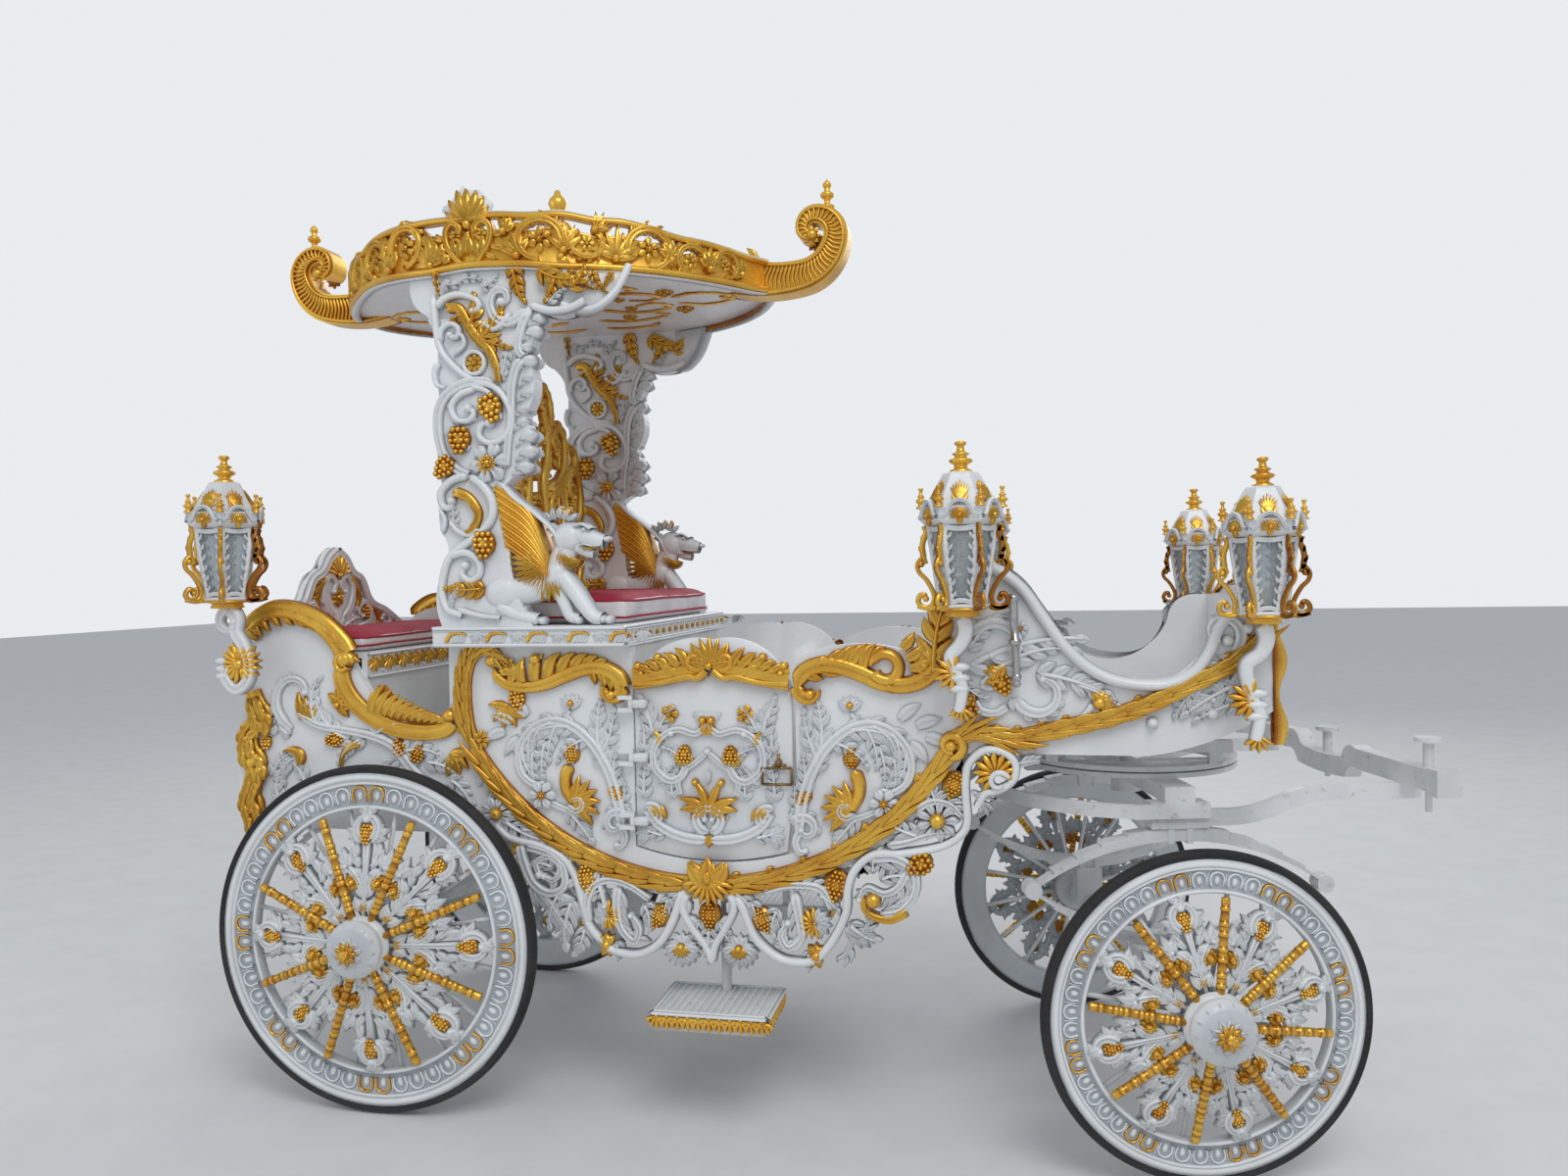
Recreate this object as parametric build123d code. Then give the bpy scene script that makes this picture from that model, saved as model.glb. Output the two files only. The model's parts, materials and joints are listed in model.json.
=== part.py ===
"""A carved ceremonial horse drawn carriage with a canopied double seat, in millimetres.

X runs forward, Y to the carriage's left and Z up from the ground. Every sub-part is written to parts/.
The front carriage stands turned to the left about its kingpin, as the real one is parked.
"""

from build123d import *
import math
import os

# Wheels
rear_wheel_r = 530
front_wheel_r = 440
rim_share = 0.19
wheelbase = 2260
track = 1249
tyre_w = 44
tyre_depth = 22
rim_w = 36
spoke_d = 14
spokes = 16
hub_r = 72
hub_out = 146
hub_in = 62
axle_d = 40
dish = 46
face_t = 14
bars = 8
bar_d = 26
run_fit = 0.08
gap = 0.3

# Body
half_w = 500
wall = 28
relief = 28
bay_x = 1005
bay_z = 1560
bay_r = 860
floor_rise = 100
mould_w = 54
pan_t = 20
rear_floor_z = 960
rear_end_x = -530
front_floor_z = 1132
toe_x = 2280
toe_rise = 96
front_end_x = 2600
wall_margin = 44
board_t = 18
ledge_z = 1411
ledge_t = 64
ledge_out = 60
seat_back_x = 200
seat_front_x = 800

# Door
door_rear_x = 805
door_front_x = 1285
door_sill_z = 812
door_dip = 38
door_top_z = 1345
door_hinge_gap = 5
door_latch_gap = 12
hinge_r = 7
hinge_proud = 6

# Canopy and posts
canopy_x = 380
canopy_half_l = 785
canopy_out = 75
ceiling_z = 2560
ceiling_t = 20
dome_rise = 150
rim_t = 30
rim_low_z = 2545
rim_h = 150
post_t = 60
post_rear_x = 214
curl_len = 638
curl_top = 314

# Lanterns
lamp_reach = 102
lamp_base_r = 60
lamp_top_r = 92
lamp_h = 235
crown_r = 112
crown_h = 42
roof_top_r = 44
roof_h = 96
finial_h = 92
front_lamp_share = 0.9

# Front carriage
steer_at_rest = 13.5
ring_r = 330
ring_w = 52
ring_t = 14
ring_z = 1030
rail_w = 44
rail_room = 20
wheel_room = 30
spring_half = 410
spring_rise = 130
leaf_t = 7
leaf_w = 50
leaves = 5
eye_z = 730
eye_r = 18
splinter_x = 650
splinter_half = 610
splinter_h = 60
splinter_t = 50
pole_end_x = 820
hoop_z = 926
hoop_t = 14
hoop_w = 40

# Rear undercarriage
rear_eye_z = 735
rear_spring_rise = 150

# Places across the carriage that follow the body's half width
inner = half_w - wall
canopy_half_w = half_w + canopy_out
lamp_out = half_w + lamp_reach
spring_y = inner - rail_w / 2 - rail_room

os.makedirs("parts", exist_ok=True)
parts = {}


def outline(start, steps):
    """A closed face in X and Z: each step is (x, z) for a straight edge or (mid x, mid z, x, z) for an arc."""
    edges = []
    here = start
    for step in steps:
        end = step[-2:]
        edges.append(Line(here, end) if len(step) == 2 else ThreePointArc(here, step[:2], end))
        here = end
    if here != start:
        edges.append(Line(here, start))
    return make_face(Wire(edges))


def slab(face, y_low, y_high):
    """Stands a face drawn in X and Z upright and gives it thickness from y_low to y_high."""
    return extrude(Plane.XZ.offset(-y_high) * face, amount=y_high - y_low)


def across(face, x_low, x_high):
    """The same for a face drawn in Y and Z."""
    return extrude(Plane.YZ.offset(x_low) * face, amount=x_high - x_low)


def block(x_low, x_high, y_low, y_high, z_low, z_high):
    size = (x_high - x_low, y_high - y_low, z_high - z_low)
    return Pos(x_low, y_low, z_low) * Box(*size, align=(Align.MIN, Align.MIN, Align.MIN))


def rod(start, end, radius):
    axis = Vector(*end) - Vector(*start)
    return extrude(Plane(origin=start, z_dir=axis) * Circle(radius), amount=axis.length)


def turned(profile):
    """A solid of revolution about Z from (radius, z) corners, or (mid r, mid z, r, z) arcs."""
    return revolve(Plane.XZ * outline(profile[0], profile[1:]), Axis.Z)


def ribbon(start, heading, moves, width, end_width=None):
    """A band that follows tangent moves: (0, length) is straight, (radius, degrees) turns, left if positive."""
    end_width = width if end_width is None else end_width
    left, right = [], []
    x, z = start
    turn = math.radians(heading)
    total = len(moves)
    for i, (radius, amount) in enumerate(moves):
        w0 = (width + (end_width - width) * i / total) / 2
        w1 = (width + (end_width - width) * (i + 1) / total) / 2
        wm = (w0 + w1) / 2
        if radius == 0:
            spots = [(x, z, turn, w0), None, (x + amount * math.cos(turn), z + amount * math.sin(turn), turn, w1)]
        else:
            side = 1 if amount > 0 else -1
            cx, cz = x - side * radius * math.sin(turn), z + side * radius * math.cos(turn)
            spots = []
            for share, w in ((0, w0), (0.5, wm), (1, w1)):
                a = turn + math.radians(amount) * share
                spots.append((cx + side * radius * math.sin(a), cz - side * radius * math.cos(a), a, w))
        row = []
        for spot in spots:
            if spot is None:
                row.append(None)
                continue
            px, pz, a, w = spot
            row.append(((px - w * math.sin(a), pz + w * math.cos(a)), (px + w * math.sin(a), pz - w * math.cos(a))))
        left.append([None if r is None else r[0] for r in row])
        right.append([None if r is None else r[1] for r in row])
        x, z, turn = spots[2][:3]
    edges = []
    for a, m, b in left:
        edges.append(Line(a, b) if m is None else ThreePointArc(a, m, b))
    edges.append(Line(left[-1][2], right[-1][2]))
    for a, m, b in reversed(right):
        edges.append(Line(b, a) if m is None else ThreePointArc(b, m, a))
    edges.append(Line(right[0][0], left[0][0]))
    return make_face(Wire(edges)), (x, z)


def on_bay(x, radius):
    """The height of the bay's arc of this radius at x."""
    return bay_z - math.sqrt(radius**2 - (x - bay_x) ** 2)


def bay_reach(z, radius):
    """Half the width of the bay's arc of this radius at height z."""
    return math.sqrt(radius**2 - (bay_z - z) ** 2)


def both_sides(name, right):
    """Writes a right hand piece and its mirror image."""
    parts[name + "_right"] = right
    parts[name + "_left"] = mirror(right, Plane.XZ)


# Side walls, from the tail board to the dash, with the door's notch
pan_r = bay_r + pan_t
low_r = bay_r + wall_margin
tail_low_z = 830
nose_low_z = 1104
node_x = 1735
wall_mid_z = 1375
notch_rear = door_rear_x - door_hinge_gap
notch_front = door_front_x + door_latch_gap
notch_low = door_sill_z - door_hinge_gap
door_mid_x = (door_rear_x + door_front_x) / 2
tail_foot_x = bay_x - bay_reach(tail_low_z, low_r)
side_face = outline(
    (rear_end_x, tail_low_z),
    [
        (rear_end_x - 22, 1030, rear_end_x, 1232),
        (rear_end_x - 6, 1400, rear_end_x + 63, 1478),
        (rear_end_x + 200, 1506, rear_end_x + 374, 1404),
        (rear_end_x + 440, 1290, rear_end_x + 499, 1208),
        (rear_end_x + 610, 1136, seat_back_x, 1160),
        (seat_back_x, ledge_z),
        (notch_rear, ledge_z),
        (notch_rear, notch_low),
        (door_mid_x, notch_low - door_dip, notch_front, notch_low),
        (notch_front, wall_mid_z),
        (1480, wall_mid_z + 40, 1690, wall_mid_z - 8),
        (1735, 1480, 1790, 1600),
        (1850, 1640, 1905, 1610),
        (1990, 1500, 2060, 1410),
        (2270, 1296, 2450, 1440),
        (2480, 1500, 2540, 1522),
        (front_end_x, 1522),
        (front_end_x, 1230),
        (2450, 1150, toe_x, nose_low_z),
        (bay_x + bay_reach(nose_low_z, low_r), nose_low_z),
        (bay_x + low_r * math.sin(0.4), bay_z - low_r * math.cos(0.4), bay_x, bay_z - low_r),
        (bay_x - low_r * math.sin(0.4), bay_z - low_r * math.cos(0.4), tail_foot_x, tail_low_z),
    ],
)
side_wall = slab(side_face, -half_w, -inner)

# Body pan: one bent sheet from the tail, down round the passenger bay and up to the driver's floor
rear_reach_out = bay_reach(rear_floor_z, pan_r)
rear_reach_in = bay_reach(rear_floor_z + pan_t, bay_r)
front_reach_out = bay_reach(front_floor_z - pan_t, pan_r)
front_reach_in = bay_reach(front_floor_z, bay_r)
dash_x = front_end_x - board_t
tail_x = rear_end_x + board_t
pan_face = outline(
    (tail_x, rear_floor_z),
    [
        (bay_x - rear_reach_out, rear_floor_z),
        (bay_x, bay_z - pan_r, bay_x + front_reach_out, front_floor_z - pan_t),
        (bay_x + front_reach_in, front_floor_z),
        (bay_x, bay_z - bay_r, bay_x - rear_reach_in, rear_floor_z + pan_t),
        (tail_x, rear_floor_z + pan_t),
    ],
)
parts["body_pan"] = slab(pan_face, -inner, inner)
nose_face = outline(
    (bay_x + front_reach_out, front_floor_z - pan_t),
    [
        (toe_x, front_floor_z - pan_t),
        (dash_x, front_floor_z - pan_t + toe_rise),
        (dash_x, front_floor_z + toe_rise),
        (toe_x, front_floor_z),
        (bay_x + front_reach_in, front_floor_z),
    ],
)
parts["nose_pan"] = slab(nose_face, -inner, inner)
bay_floor_z = bay_z - bay_r + floor_rise
board_reach = bay_reach(bay_floor_z - board_t, bay_r) - gap
bay_floor = block(bay_x - board_reach, bay_x + board_reach, -inner, inner, bay_floor_z - board_t, bay_floor_z)
bay_floor += block(seat_front_x - board_t, seat_front_x, -inner, inner, bay_floor_z, ledge_z)
parts["bay_floor"] = bay_floor

# Ledge, box panels and seat of the canopied double seat
ledge_half = half_w + ledge_out
ledge_top = ledge_z + ledge_t
ledge = block(seat_back_x - 20, notch_rear, -ledge_half, ledge_half, ledge_z, ledge_top)
ledge -= block(
    seat_back_x + 60, seat_front_x - 60, -inner + 60, inner - 60, ledge_z - 1, ledge_z + 24
)
lip = chamfer(ledge.faces().sort_by(Axis.Z)[-1].outer_wire().edges(), 8)
parts["seat_ledge"] = lip
parts["seat_rear_panel"] = block(
    seat_back_x, seat_back_x + board_t, -inner, inner, rear_floor_z + pan_t, ledge_z
)
post_out = ledge_half - 20
post_in = post_out - post_t
back_t = 26
back_x = 262
cushion_h = 92
cushion = block(
    back_x + back_t + 2, notch_rear - 12, -post_in + 3, post_in - 3, ledge_top, ledge_top + cushion_h
)
parts["seat_cushion"] = fillet(cushion.edges().filter_by(Axis.Z), 28)

# Carved backrest: stepped shoulders and a round crest, drawn in Y and Z
back_half = 400
back_low = ledge_top
backrest = outline(
    (-back_half, back_low),
    [
        (back_half, back_low),
        (back_half + 14, 1640, back_half - 10, 1800),
        (back_half - 22, 1960, 270, 2085),
        (220, 2125, 165, 2110),
        (160, 2210, 92, 2270),
        (0, 2330, -92, 2270),
        (-160, 2210, -165, 2110),
        (-220, 2125, -270, 2085),
        (-back_half + 22, 1960, -back_half + 10, 1800),
        (-back_half - 14, 1640, -back_half, back_low),
    ],
)
# Open scroll gaps: y, z, length, width, tilt
back_gaps = [
    (0, 2205, 46, 24, 90),
    (95, 2010, 70, 22, 60),
    (-95, 2010, 70, 22, 120),
    (250, 1900, 80, 24, 40),
    (-250, 1900, 80, 24, 140),
    (120, 1760, 66, 22, 120),
    (-120, 1760, 66, 22, 60),
]
for y, z, length, width, tilt in back_gaps:
    backrest -= Pos(y, z) * Rot(0, 0, tilt) * SlotOverall(length, width)
parts["backrest"] = across(backrest, back_x, back_x + back_t)

# Posts: carved boards that stand on the ledge and carry the ceiling
post_face = outline(
    (post_rear_x - 12, ledge_top),
    [
        (post_rear_x - 30, 1560, post_rear_x - 4, 1650),
        (post_rear_x + 14, 1690, post_rear_x - 6, 1760),
        (post_rear_x - 14, 1830, post_rear_x + 6, 1890),
        (post_rear_x - 16, 1990, post_rear_x + 4, 2090),
        (post_rear_x - 8, 2200, post_rear_x - 8, 2300),
        (post_rear_x - 20, 2380, 150, 2440),
        (96, 2490, 92, ceiling_z),
        (830, ceiling_z),
        (760, 2490, 690, 2455),
        (620, 2405, 545, 2418),
        (520, 2340, 492, 2290),
        (520, 2200, 486, 2110),
        (500, 2010, 484, 1940),
        (440, 1920, 402, 1880),
        (412, 1780, 430, 1700),
        (450, 1580, 500, ledge_top),
    ],
)
both_sides("post", slab(post_face, -post_out, -post_in))


def lion():
    """The seated lion in front of a post: haunch, chest, forelegs and head carved from one block."""
    y_mid = -(post_out + post_in) / 2
    foot = ledge_top
    body = outline(
        (506, foot),
        [
            (660, foot),
            (664, foot + 16, 650, foot + 26),
            (628, foot + 46, 626, foot + 80),
            (664, foot + 62, 694, foot + 26),
            (690, foot),
            (770, foot),
            (778, foot + 20, 752, foot + 28),
            (728, foot + 90, 700, foot + 138),
            (716, foot + 164, 708, foot + 190),
            (640, foot + 230, 566, foot + 190),
            (512, foot + 120, 506, foot),
        ],
    )
    made = slab(body, y_mid - 26, y_mid + 26)
    head = Pos(668, y_mid, foot + 232) * Sphere(48)
    muzzle = rod((668, y_mid, foot + 232), (742, y_mid, foot + 206), 27)
    return made + head + muzzle


both_sides("lion", lion())

# Canopy: in plan two arcs that meet at a point in front and behind
plan_r = (canopy_half_l**2 + canopy_half_w**2) / (2 * canopy_half_w)
plan_offset = plan_r - canopy_half_w


def canopy_tip(inset):
    """How far the plan's point is from the canopy's middle when it is drawn in by inset."""
    return math.sqrt((plan_r - inset) ** 2 - plan_offset**2)


def vesica(inset):
    """The canopy's plan, drawn in by inset all round."""
    reach = canopy_tip(inset)
    side = canopy_half_w - inset
    low = ThreePointArc((canopy_x - reach, 0), (canopy_x, -side), (canopy_x + reach, 0))
    high = ThreePointArc((canopy_x + reach, 0), (canopy_x, side), (canopy_x - reach, 0))
    return make_face(Wire([low, high]))


def finial(height, foot_r):
    """A turned finial standing on Z = 0."""
    r = foot_r
    return turned(
        [
            (0, 0),
            (r, 0),
            (r, height * 0.1),
            (r * 0.4, height * 0.24, r * 0.7, height * 0.36),
            (r * 0.95, height * 0.46, r * 0.45, height * 0.56),
            (r * 0.36, height * 0.68),
            (r * 0.6, height * 0.8, r * 0.2, height * 0.92),
            (0, height),
        ]
    )


ceiling_inset = rim_t + gap
tip_t = 84
tip_start_x = canopy_x + curl_len
tip_z = rim_low_z + rim_h / 2
tip_moves = [(480, 28), (140, 72), (70, 92), (44, 110), (24, 90)]
tip_face, _ = ribbon((tip_start_x, tip_z), -18, tip_moves, 122, 24)
tip = slab(tip_face, -tip_t / 2, tip_t / 2)
tip &= block(tip_start_x, tip_start_x + 400, -tip_t, tip_t, 2000, 3000)
tip_top = tip.bounding_box().max.Z
tip += Pos(tip_start_x + curl_top, 0, tip_top - 8) * finial(100, 24)
parts["canopy_tip_front"] = tip
parts["canopy_tip_rear"] = mirror(tip, Plane.YZ.offset(canopy_x))
tip_reach = tip_start_x - canopy_x - gap
tip_room = block(canopy_x + tip_reach, canopy_x + 1200, -tip_t / 2 - gap, tip_t / 2 + gap, 2000, 3000)
tip_room += mirror(tip_room, Plane.YZ.offset(canopy_x))
ceiling = Pos(0, 0, ceiling_z) * extrude(vesica(ceiling_inset), amount=ceiling_t)
dome_base = ceiling_z + ceiling_t
dome_t = 8


def lemon(inset, rise):
    """The roof's swell: the plan turned about its long axis and pressed down to this rise."""
    reach, side = canopy_tip(inset), canopy_half_w - inset
    half = make_face(Wire([ThreePointArc((-reach, 0), (0, side), (reach, 0)), Line((reach, 0), (-reach, 0))]))
    return scale(revolve(half, Axis.X), by=(1, 1, rise / side))


dome_inset = ceiling_inset + 14
dome = lemon(dome_inset, dome_rise) - lemon(dome_inset + dome_t * 2, dome_rise - dome_t)
dome &= block(-1200, 1200, -700, 700, 0, 400)
dome = Pos(canopy_x, 0, dome_base) * dome - tip_room
apex = dome_base + dome_rise
parts["canopy_roof"] = (ceiling - tip_room) + dome + Pos(canopy_x, 0, apex - dome_t + 1) * finial(245, 46)

# Rim: a carved ribbon each side with a leaf at its middle, ending against the curled tips
rim_top = rim_low_z + rim_h
leaf_face = outline(
    (canopy_x - 90, rim_top - 10),
    [
        (canopy_x + 90, rim_top - 10),
        (canopy_x + 78, rim_top + 36, canopy_x + 30, rim_top + 62),
        (canopy_x, rim_top + 116),
        (canopy_x - 30, rim_top + 62),
        (canopy_x - 78, rim_top + 36, canopy_x - 90, rim_top - 10),
    ],
)
rim = Pos(0, 0, rim_low_z) * extrude(vesica(0) - vesica(rim_t), amount=rim_h) - tip_room
rim &= block(canopy_x - 1200, canopy_x + 1200, -canopy_half_w - 100, 0, 2000, 3000)
leaf_out = canopy_half_w - 6
both_sides("canopy_rim", rim + slab(leaf_face, -leaf_out, -leaf_out + rim_t - 10))
roof_line = Pos(0, 0, ceiling_z - 150) * extrude(vesica(ceiling_inset), amount=300)
roof_line += block(-200, 1000, -canopy_half_w - 100, canopy_half_w + 100, 1000, ceiling_z - 145)
for side in ("right", "left"):
    parts["post_" + side] = parts["post_" + side] & roof_line

# Tail board, rear bench and its cushion
tail_face = outline(
    (-inner, rear_floor_z - 120),
    [
        (inner, rear_floor_z - 120),
        (inner, 1430),
        (inner - 40, 1450),
        (300, 1520, 210, 1560),
        (150, 1640, 90, 1668),
        (0, 1742, -90, 1668),
        (-150, 1640, -210, 1560),
        (-300, 1520, -inner + 40, 1450),
        (-inner, 1430),
    ],
)
parts["tail_board"] = across(tail_face, rear_end_x, tail_x)
rear_seat_z = 1390
rear_seat_x = -100
parts["rear_bench"] = block(tail_x, rear_seat_x, -inner, inner, rear_seat_z - board_t, rear_seat_z) + block(
    rear_seat_x - board_t, rear_seat_x, -inner, inner, rear_floor_z + pan_t, rear_seat_z - board_t
)
rear_pad = block(tail_x + 4, rear_seat_x - 4, -inner + 6, inner - 6, rear_seat_z, rear_seat_z + 66)
parts["rear_cushion"] = fillet(rear_pad.edges().filter_by(Axis.Z), 24)

# Passengers' facing bench, its back and the driver's bench
cabin = Pos(bay_x, 0, bay_z) * Rot(90, 0, 0) * Cylinder(bay_r - gap, 2 * inner)
cabin += block(bay_x, front_end_x, -inner, inner, front_floor_z, 2000)
facing_x = 1420
facing_z = 1100
back_board_x = 1762
facing = block(facing_x, back_board_x, -inner, inner, facing_z - board_t, facing_z)
facing += block(facing_x, facing_x + board_t, -inner, inner, 700, facing_z - board_t)
parts["facing_bench"] = facing & cabin
driver_back_face = outline(
    (-inner, front_floor_z),
    [
        (inner, front_floor_z),
        (inner, 1590),
        (inner - 60, 1610, 340, 1560),
        (0, 1530, -340, 1560),
        (-inner + 60, 1610, -inner, 1590),
    ],
)
driver_seat = across(driver_back_face, back_board_x, back_board_x + board_t)
driver_x = 2080
driver_z = 1330
driver_seat += block(back_board_x + board_t, driver_x, -inner, inner, driver_z - board_t, driver_z)
driver_seat += block(driver_x - board_t, driver_x, -inner, inner, front_floor_z, driver_z - board_t)
parts["driver_seat"] = driver_seat
driver_pad = block(back_board_x + board_t + 4, driver_x - 4, -inner + 6, inner - 6, driver_z, driver_z + 50)
parts["driver_cushion"] = fillet(driver_pad.edges().filter_by(Axis.Z), 20)
dash_low_z = front_floor_z - pan_t + toe_rise
dash_face = outline(
    (-inner, dash_low_z - 10),
    [(inner, dash_low_z - 10), (inner, 1522), (200, 1534), (0, 1560, -200, 1534), (-inner, 1522)],
)
parts["dash_board"] = across(dash_face, dash_x, front_end_x)

# Gold mouldings on the walls' outer faces
mould_face = half_w + relief
sweep_x = bay_x - 726
sweep_z = on_bay(sweep_x, bay_r)
run_x = bay_x + 740
run_z = on_bay(run_x, bay_r) + 8
bay_turn = math.degrees(math.atan2(bay_x - sweep_x, bay_z - sweep_z))
bay_half_low = mould_w / 2


def bay_band(inner_r, outer_r, start_deg, end_deg):
    """Part of a ring about the bay's centre, from start to end in degrees, 270 being straight down."""
    spots = []
    for r in (inner_r, outer_r):
        row = []
        for a in (start_deg, (start_deg + end_deg) / 2, end_deg):
            row.append((bay_x + r * math.cos(math.radians(a)), bay_z + r * math.sin(math.radians(a))))
        spots.append(row)
    (a0, a1, a2), (b0, b1, b2) = spots
    return make_face(
        Wire([ThreePointArc(a0, a1, a2), Line(a2, b2), ThreePointArc(b2, b1, b0), Line(b0, a0)])
    )


sweep = bay_band(bay_r - mould_w / 2, bay_r + mould_w / 2, 270 - bay_turn, 270 + 58.2)
volute, _ = ribbon((sweep_x + 4, sweep_z), 118, [(240, -34), (110, -66), (150, 60)], mould_w, 40)
crest_line, _ = ribbon((340, 1343), 30, [(300, -30), (0, 186), (60, -120), (30, -120)], 40, 22)
front_run, _ = ribbon(
    (run_x, run_z), 52, [(90, -72), (180, 34), (0, 190), (900, 12), (0, 120), (500, 14), (0, 110)], mould_w, 40
)
moulding = slab(sweep, -mould_face, -half_w)
for face in (volute, crest_line, front_run):
    moulding += slab(face, -mould_face, -half_w)
moulding -= block(-600, seat_front_x, -mould_face - 1, 0, ledge_z, 2000)

# Narrower gold edging along the walls' top, tail and nose edges
edge_w = 36
edging = side_face - offset(side_face, amount=-edge_w)
edge_zones = [(-560, 110, 840, 1520), (1400, 2600, 1330, 1660), (2440, 2600, 1290, 1530)]
zones = Sketch()
for x0, x1, z0, z1 in edge_zones:
    zones += Pos((x0 + x1) / 2, (z0 + z1) / 2) * Rectangle(x1 - x0, z1 - z0)
moulding += slab(edging & zones, -mould_face, -half_w)
both_sides("moulding", moulding)

# Open carved frieze under the bay, hung on the walls' lower margin
# Its points are measured from the lowest point of the bay
frieze_t = 22
hang_z = bay_z - bay_r
frieze_top = nose_low_z + 4 - hang_z
frieze_face = outline(
    (-587, 130),
    [
        (-571, 74),
        (-559, -10, -532, -88),
        (-479, -160, -405, -194),
        (-367, -216, -330, -221),
        (-265, -232, -199, -222),
        (-163, -220, -131, -208),
        (-118, -257),
        (-50, -262, 18, -246),
        (103, -238, 173, -224),
        (217, -216, 252, -198),
        (302, -216, 352, -212),
        (401, -210, 441, -192),
        (477, -166, 491, -127),
        (503, -100, 501, -68),
        (567, -62, 619, -33),
        (659, 20, 675, 93),
        (747, 126, 783, 191),
        (795, 268, 875, 268),
        (967, 272, 969, 362),
        (971, 384, 977, frieze_top),
        (695, frieze_top),
    ],
)
frieze_face = Pos(bay_x, hang_z) * frieze_face
frieze_face -= Pos(bay_x, bay_z) * Circle(bay_r + mould_w / 2)
# Open gaps between the leaves: x, z, length, width, tilt
frieze_gaps = [
    (-445, -60, 84, 30, 60),
    (-365, -140, 80, 26, 20),
    (-245, -140, 84, 28, 160),
    (-105, -110, 70, 26, 60),
    (155, -110, 70, 26, 120),
    (285, -134, 84, 28, 20),
    (395, -110, 70, 26, 130),
    (555, 30, 84, 28, 40),
    (635, 100, 74, 26, 80),
    (755, 260, 60, 22, 60),
    (875, 350, 96, 22, 20),
]
for x, z, length, width, tilt in frieze_gaps:
    frieze_face -= Pos(bay_x + x, hang_z + z) * Rot(0, 0, tilt) * SlotOverall(length, width)
# Room for the front wheels, which sweep past the frieze's plane as the carriage is steered
sweep_out = track / 2 + tyre_w / 2
sweep_r = math.sqrt(front_wheel_r**2 + sweep_out**2 - half_w**2) + wheel_room
frieze_face -= Pos(wheelbase, front_wheel_r) * Circle(sweep_r)
both_sides("frieze", slab(frieze_face, -half_w - frieze_t, -half_w) - moulding)

# Doors, hung at the rear on three hinges and closed over the bay
door_t = 22
door_in = half_w - door_t
door_shoulder_z = 1290
door_peak_z = 1428
door_mid = (door_rear_x + door_front_x) / 2
door_face = outline(
    (door_rear_x, door_sill_z),
    [
        (door_mid, door_sill_z - door_dip, door_front_x, door_sill_z),
        (door_front_x, door_shoulder_z),
        (door_front_x - 90, door_peak_z - 22, door_mid, door_peak_z),
        (door_rear_x + 90, door_peak_z - 22, door_rear_x, door_shoulder_z),
        (door_rear_x, door_sill_z),
    ],
)
hinge_x = door_rear_x - 3
hinge_y = half_w + relief + hinge_proud
hinge_zs = (890, 1080, 1240)
knuckle = 24
pin_r = 3
door = slab(door_face, -half_w, -door_in)
hinges = None
for z in hinge_zs:
    arm = block(hinge_x, hinge_x + 46, -hinge_y - 4, -half_w, z - knuckle / 2, z + knuckle / 2)
    barrel = Pos(hinge_x, -hinge_y, z) * Cylinder(hinge_r, knuckle)
    bore = Pos(hinge_x, -hinge_y, z) * Cylinder(pin_r + run_fit, knuckle + 2)
    door += arm + barrel
    door -= bore
    pin = Pos(hinge_x, -hinge_y, z) * Cylinder(pin_r, knuckle + 20)
    for side in (-1, 1):
        mid_z = z + side * (knuckle / 2 + 0.5 + 6)
        lug = Pos(hinge_x, -hinge_y, mid_z) * Cylinder(hinge_r, 12)
        pin += lug + block(hinge_x - 38, hinge_x - 1, -hinge_y - 4, -half_w, mid_z - 6, mid_z + 6)
    hinges = pin if hinges is None else hinges + pin
latch_z = 1020
door += block(door_front_x - 52, door_front_x - 8, -half_w - 9, -half_w, latch_z - 26, latch_z + 26)
door += rod((door_front_x - 30, -half_w - 9, latch_z), (door_front_x - 30, -half_w - 34, latch_z), 8)
door += block(door_front_x - 96, door_front_x - 20, -half_w - 42, -half_w - 32, latch_z - 8, latch_z + 8)
both_sides("side_wall", side_wall + hinges)
crown_band = door_face - offset(door_face, amount=-46)
crown_band &= Pos(door_mid, 1400) * Rectangle(600, 220)
door_trim = slab(crown_band, -mould_face, -half_w)
for side in (1, -1):
    low_scroll, _ = ribbon((door_mid, 838), 90 - side * 64, [(150, side * 100), (70, side * 110), (34, side * 150)], 34, 20)
    high_scroll, _ = ribbon((door_mid, 1262), 270 + side * 60, [(130, -side * 96), (66, -side * 110), (32, -side * 150)], 32, 20)
    door_trim += slab(low_scroll, -mould_face + 6, -half_w)
    door_trim += slab(high_scroll, -mould_face + 6, -half_w)
rose = Pos(door_mid, -half_w, 1050) * Rot(90, 0, 0) * Cone(62, 40, 20, align=(Align.CENTER, Align.CENTER, Align.MIN))
both_sides("door", door + door_trim + rose)


# Lanterns: six sided, on a bracket with a scroll, with six curled arms round the crown
def hexagon(z, radius):
    return Plane.XY.offset(z) * RegularPolygon(radius, 6)


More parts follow.
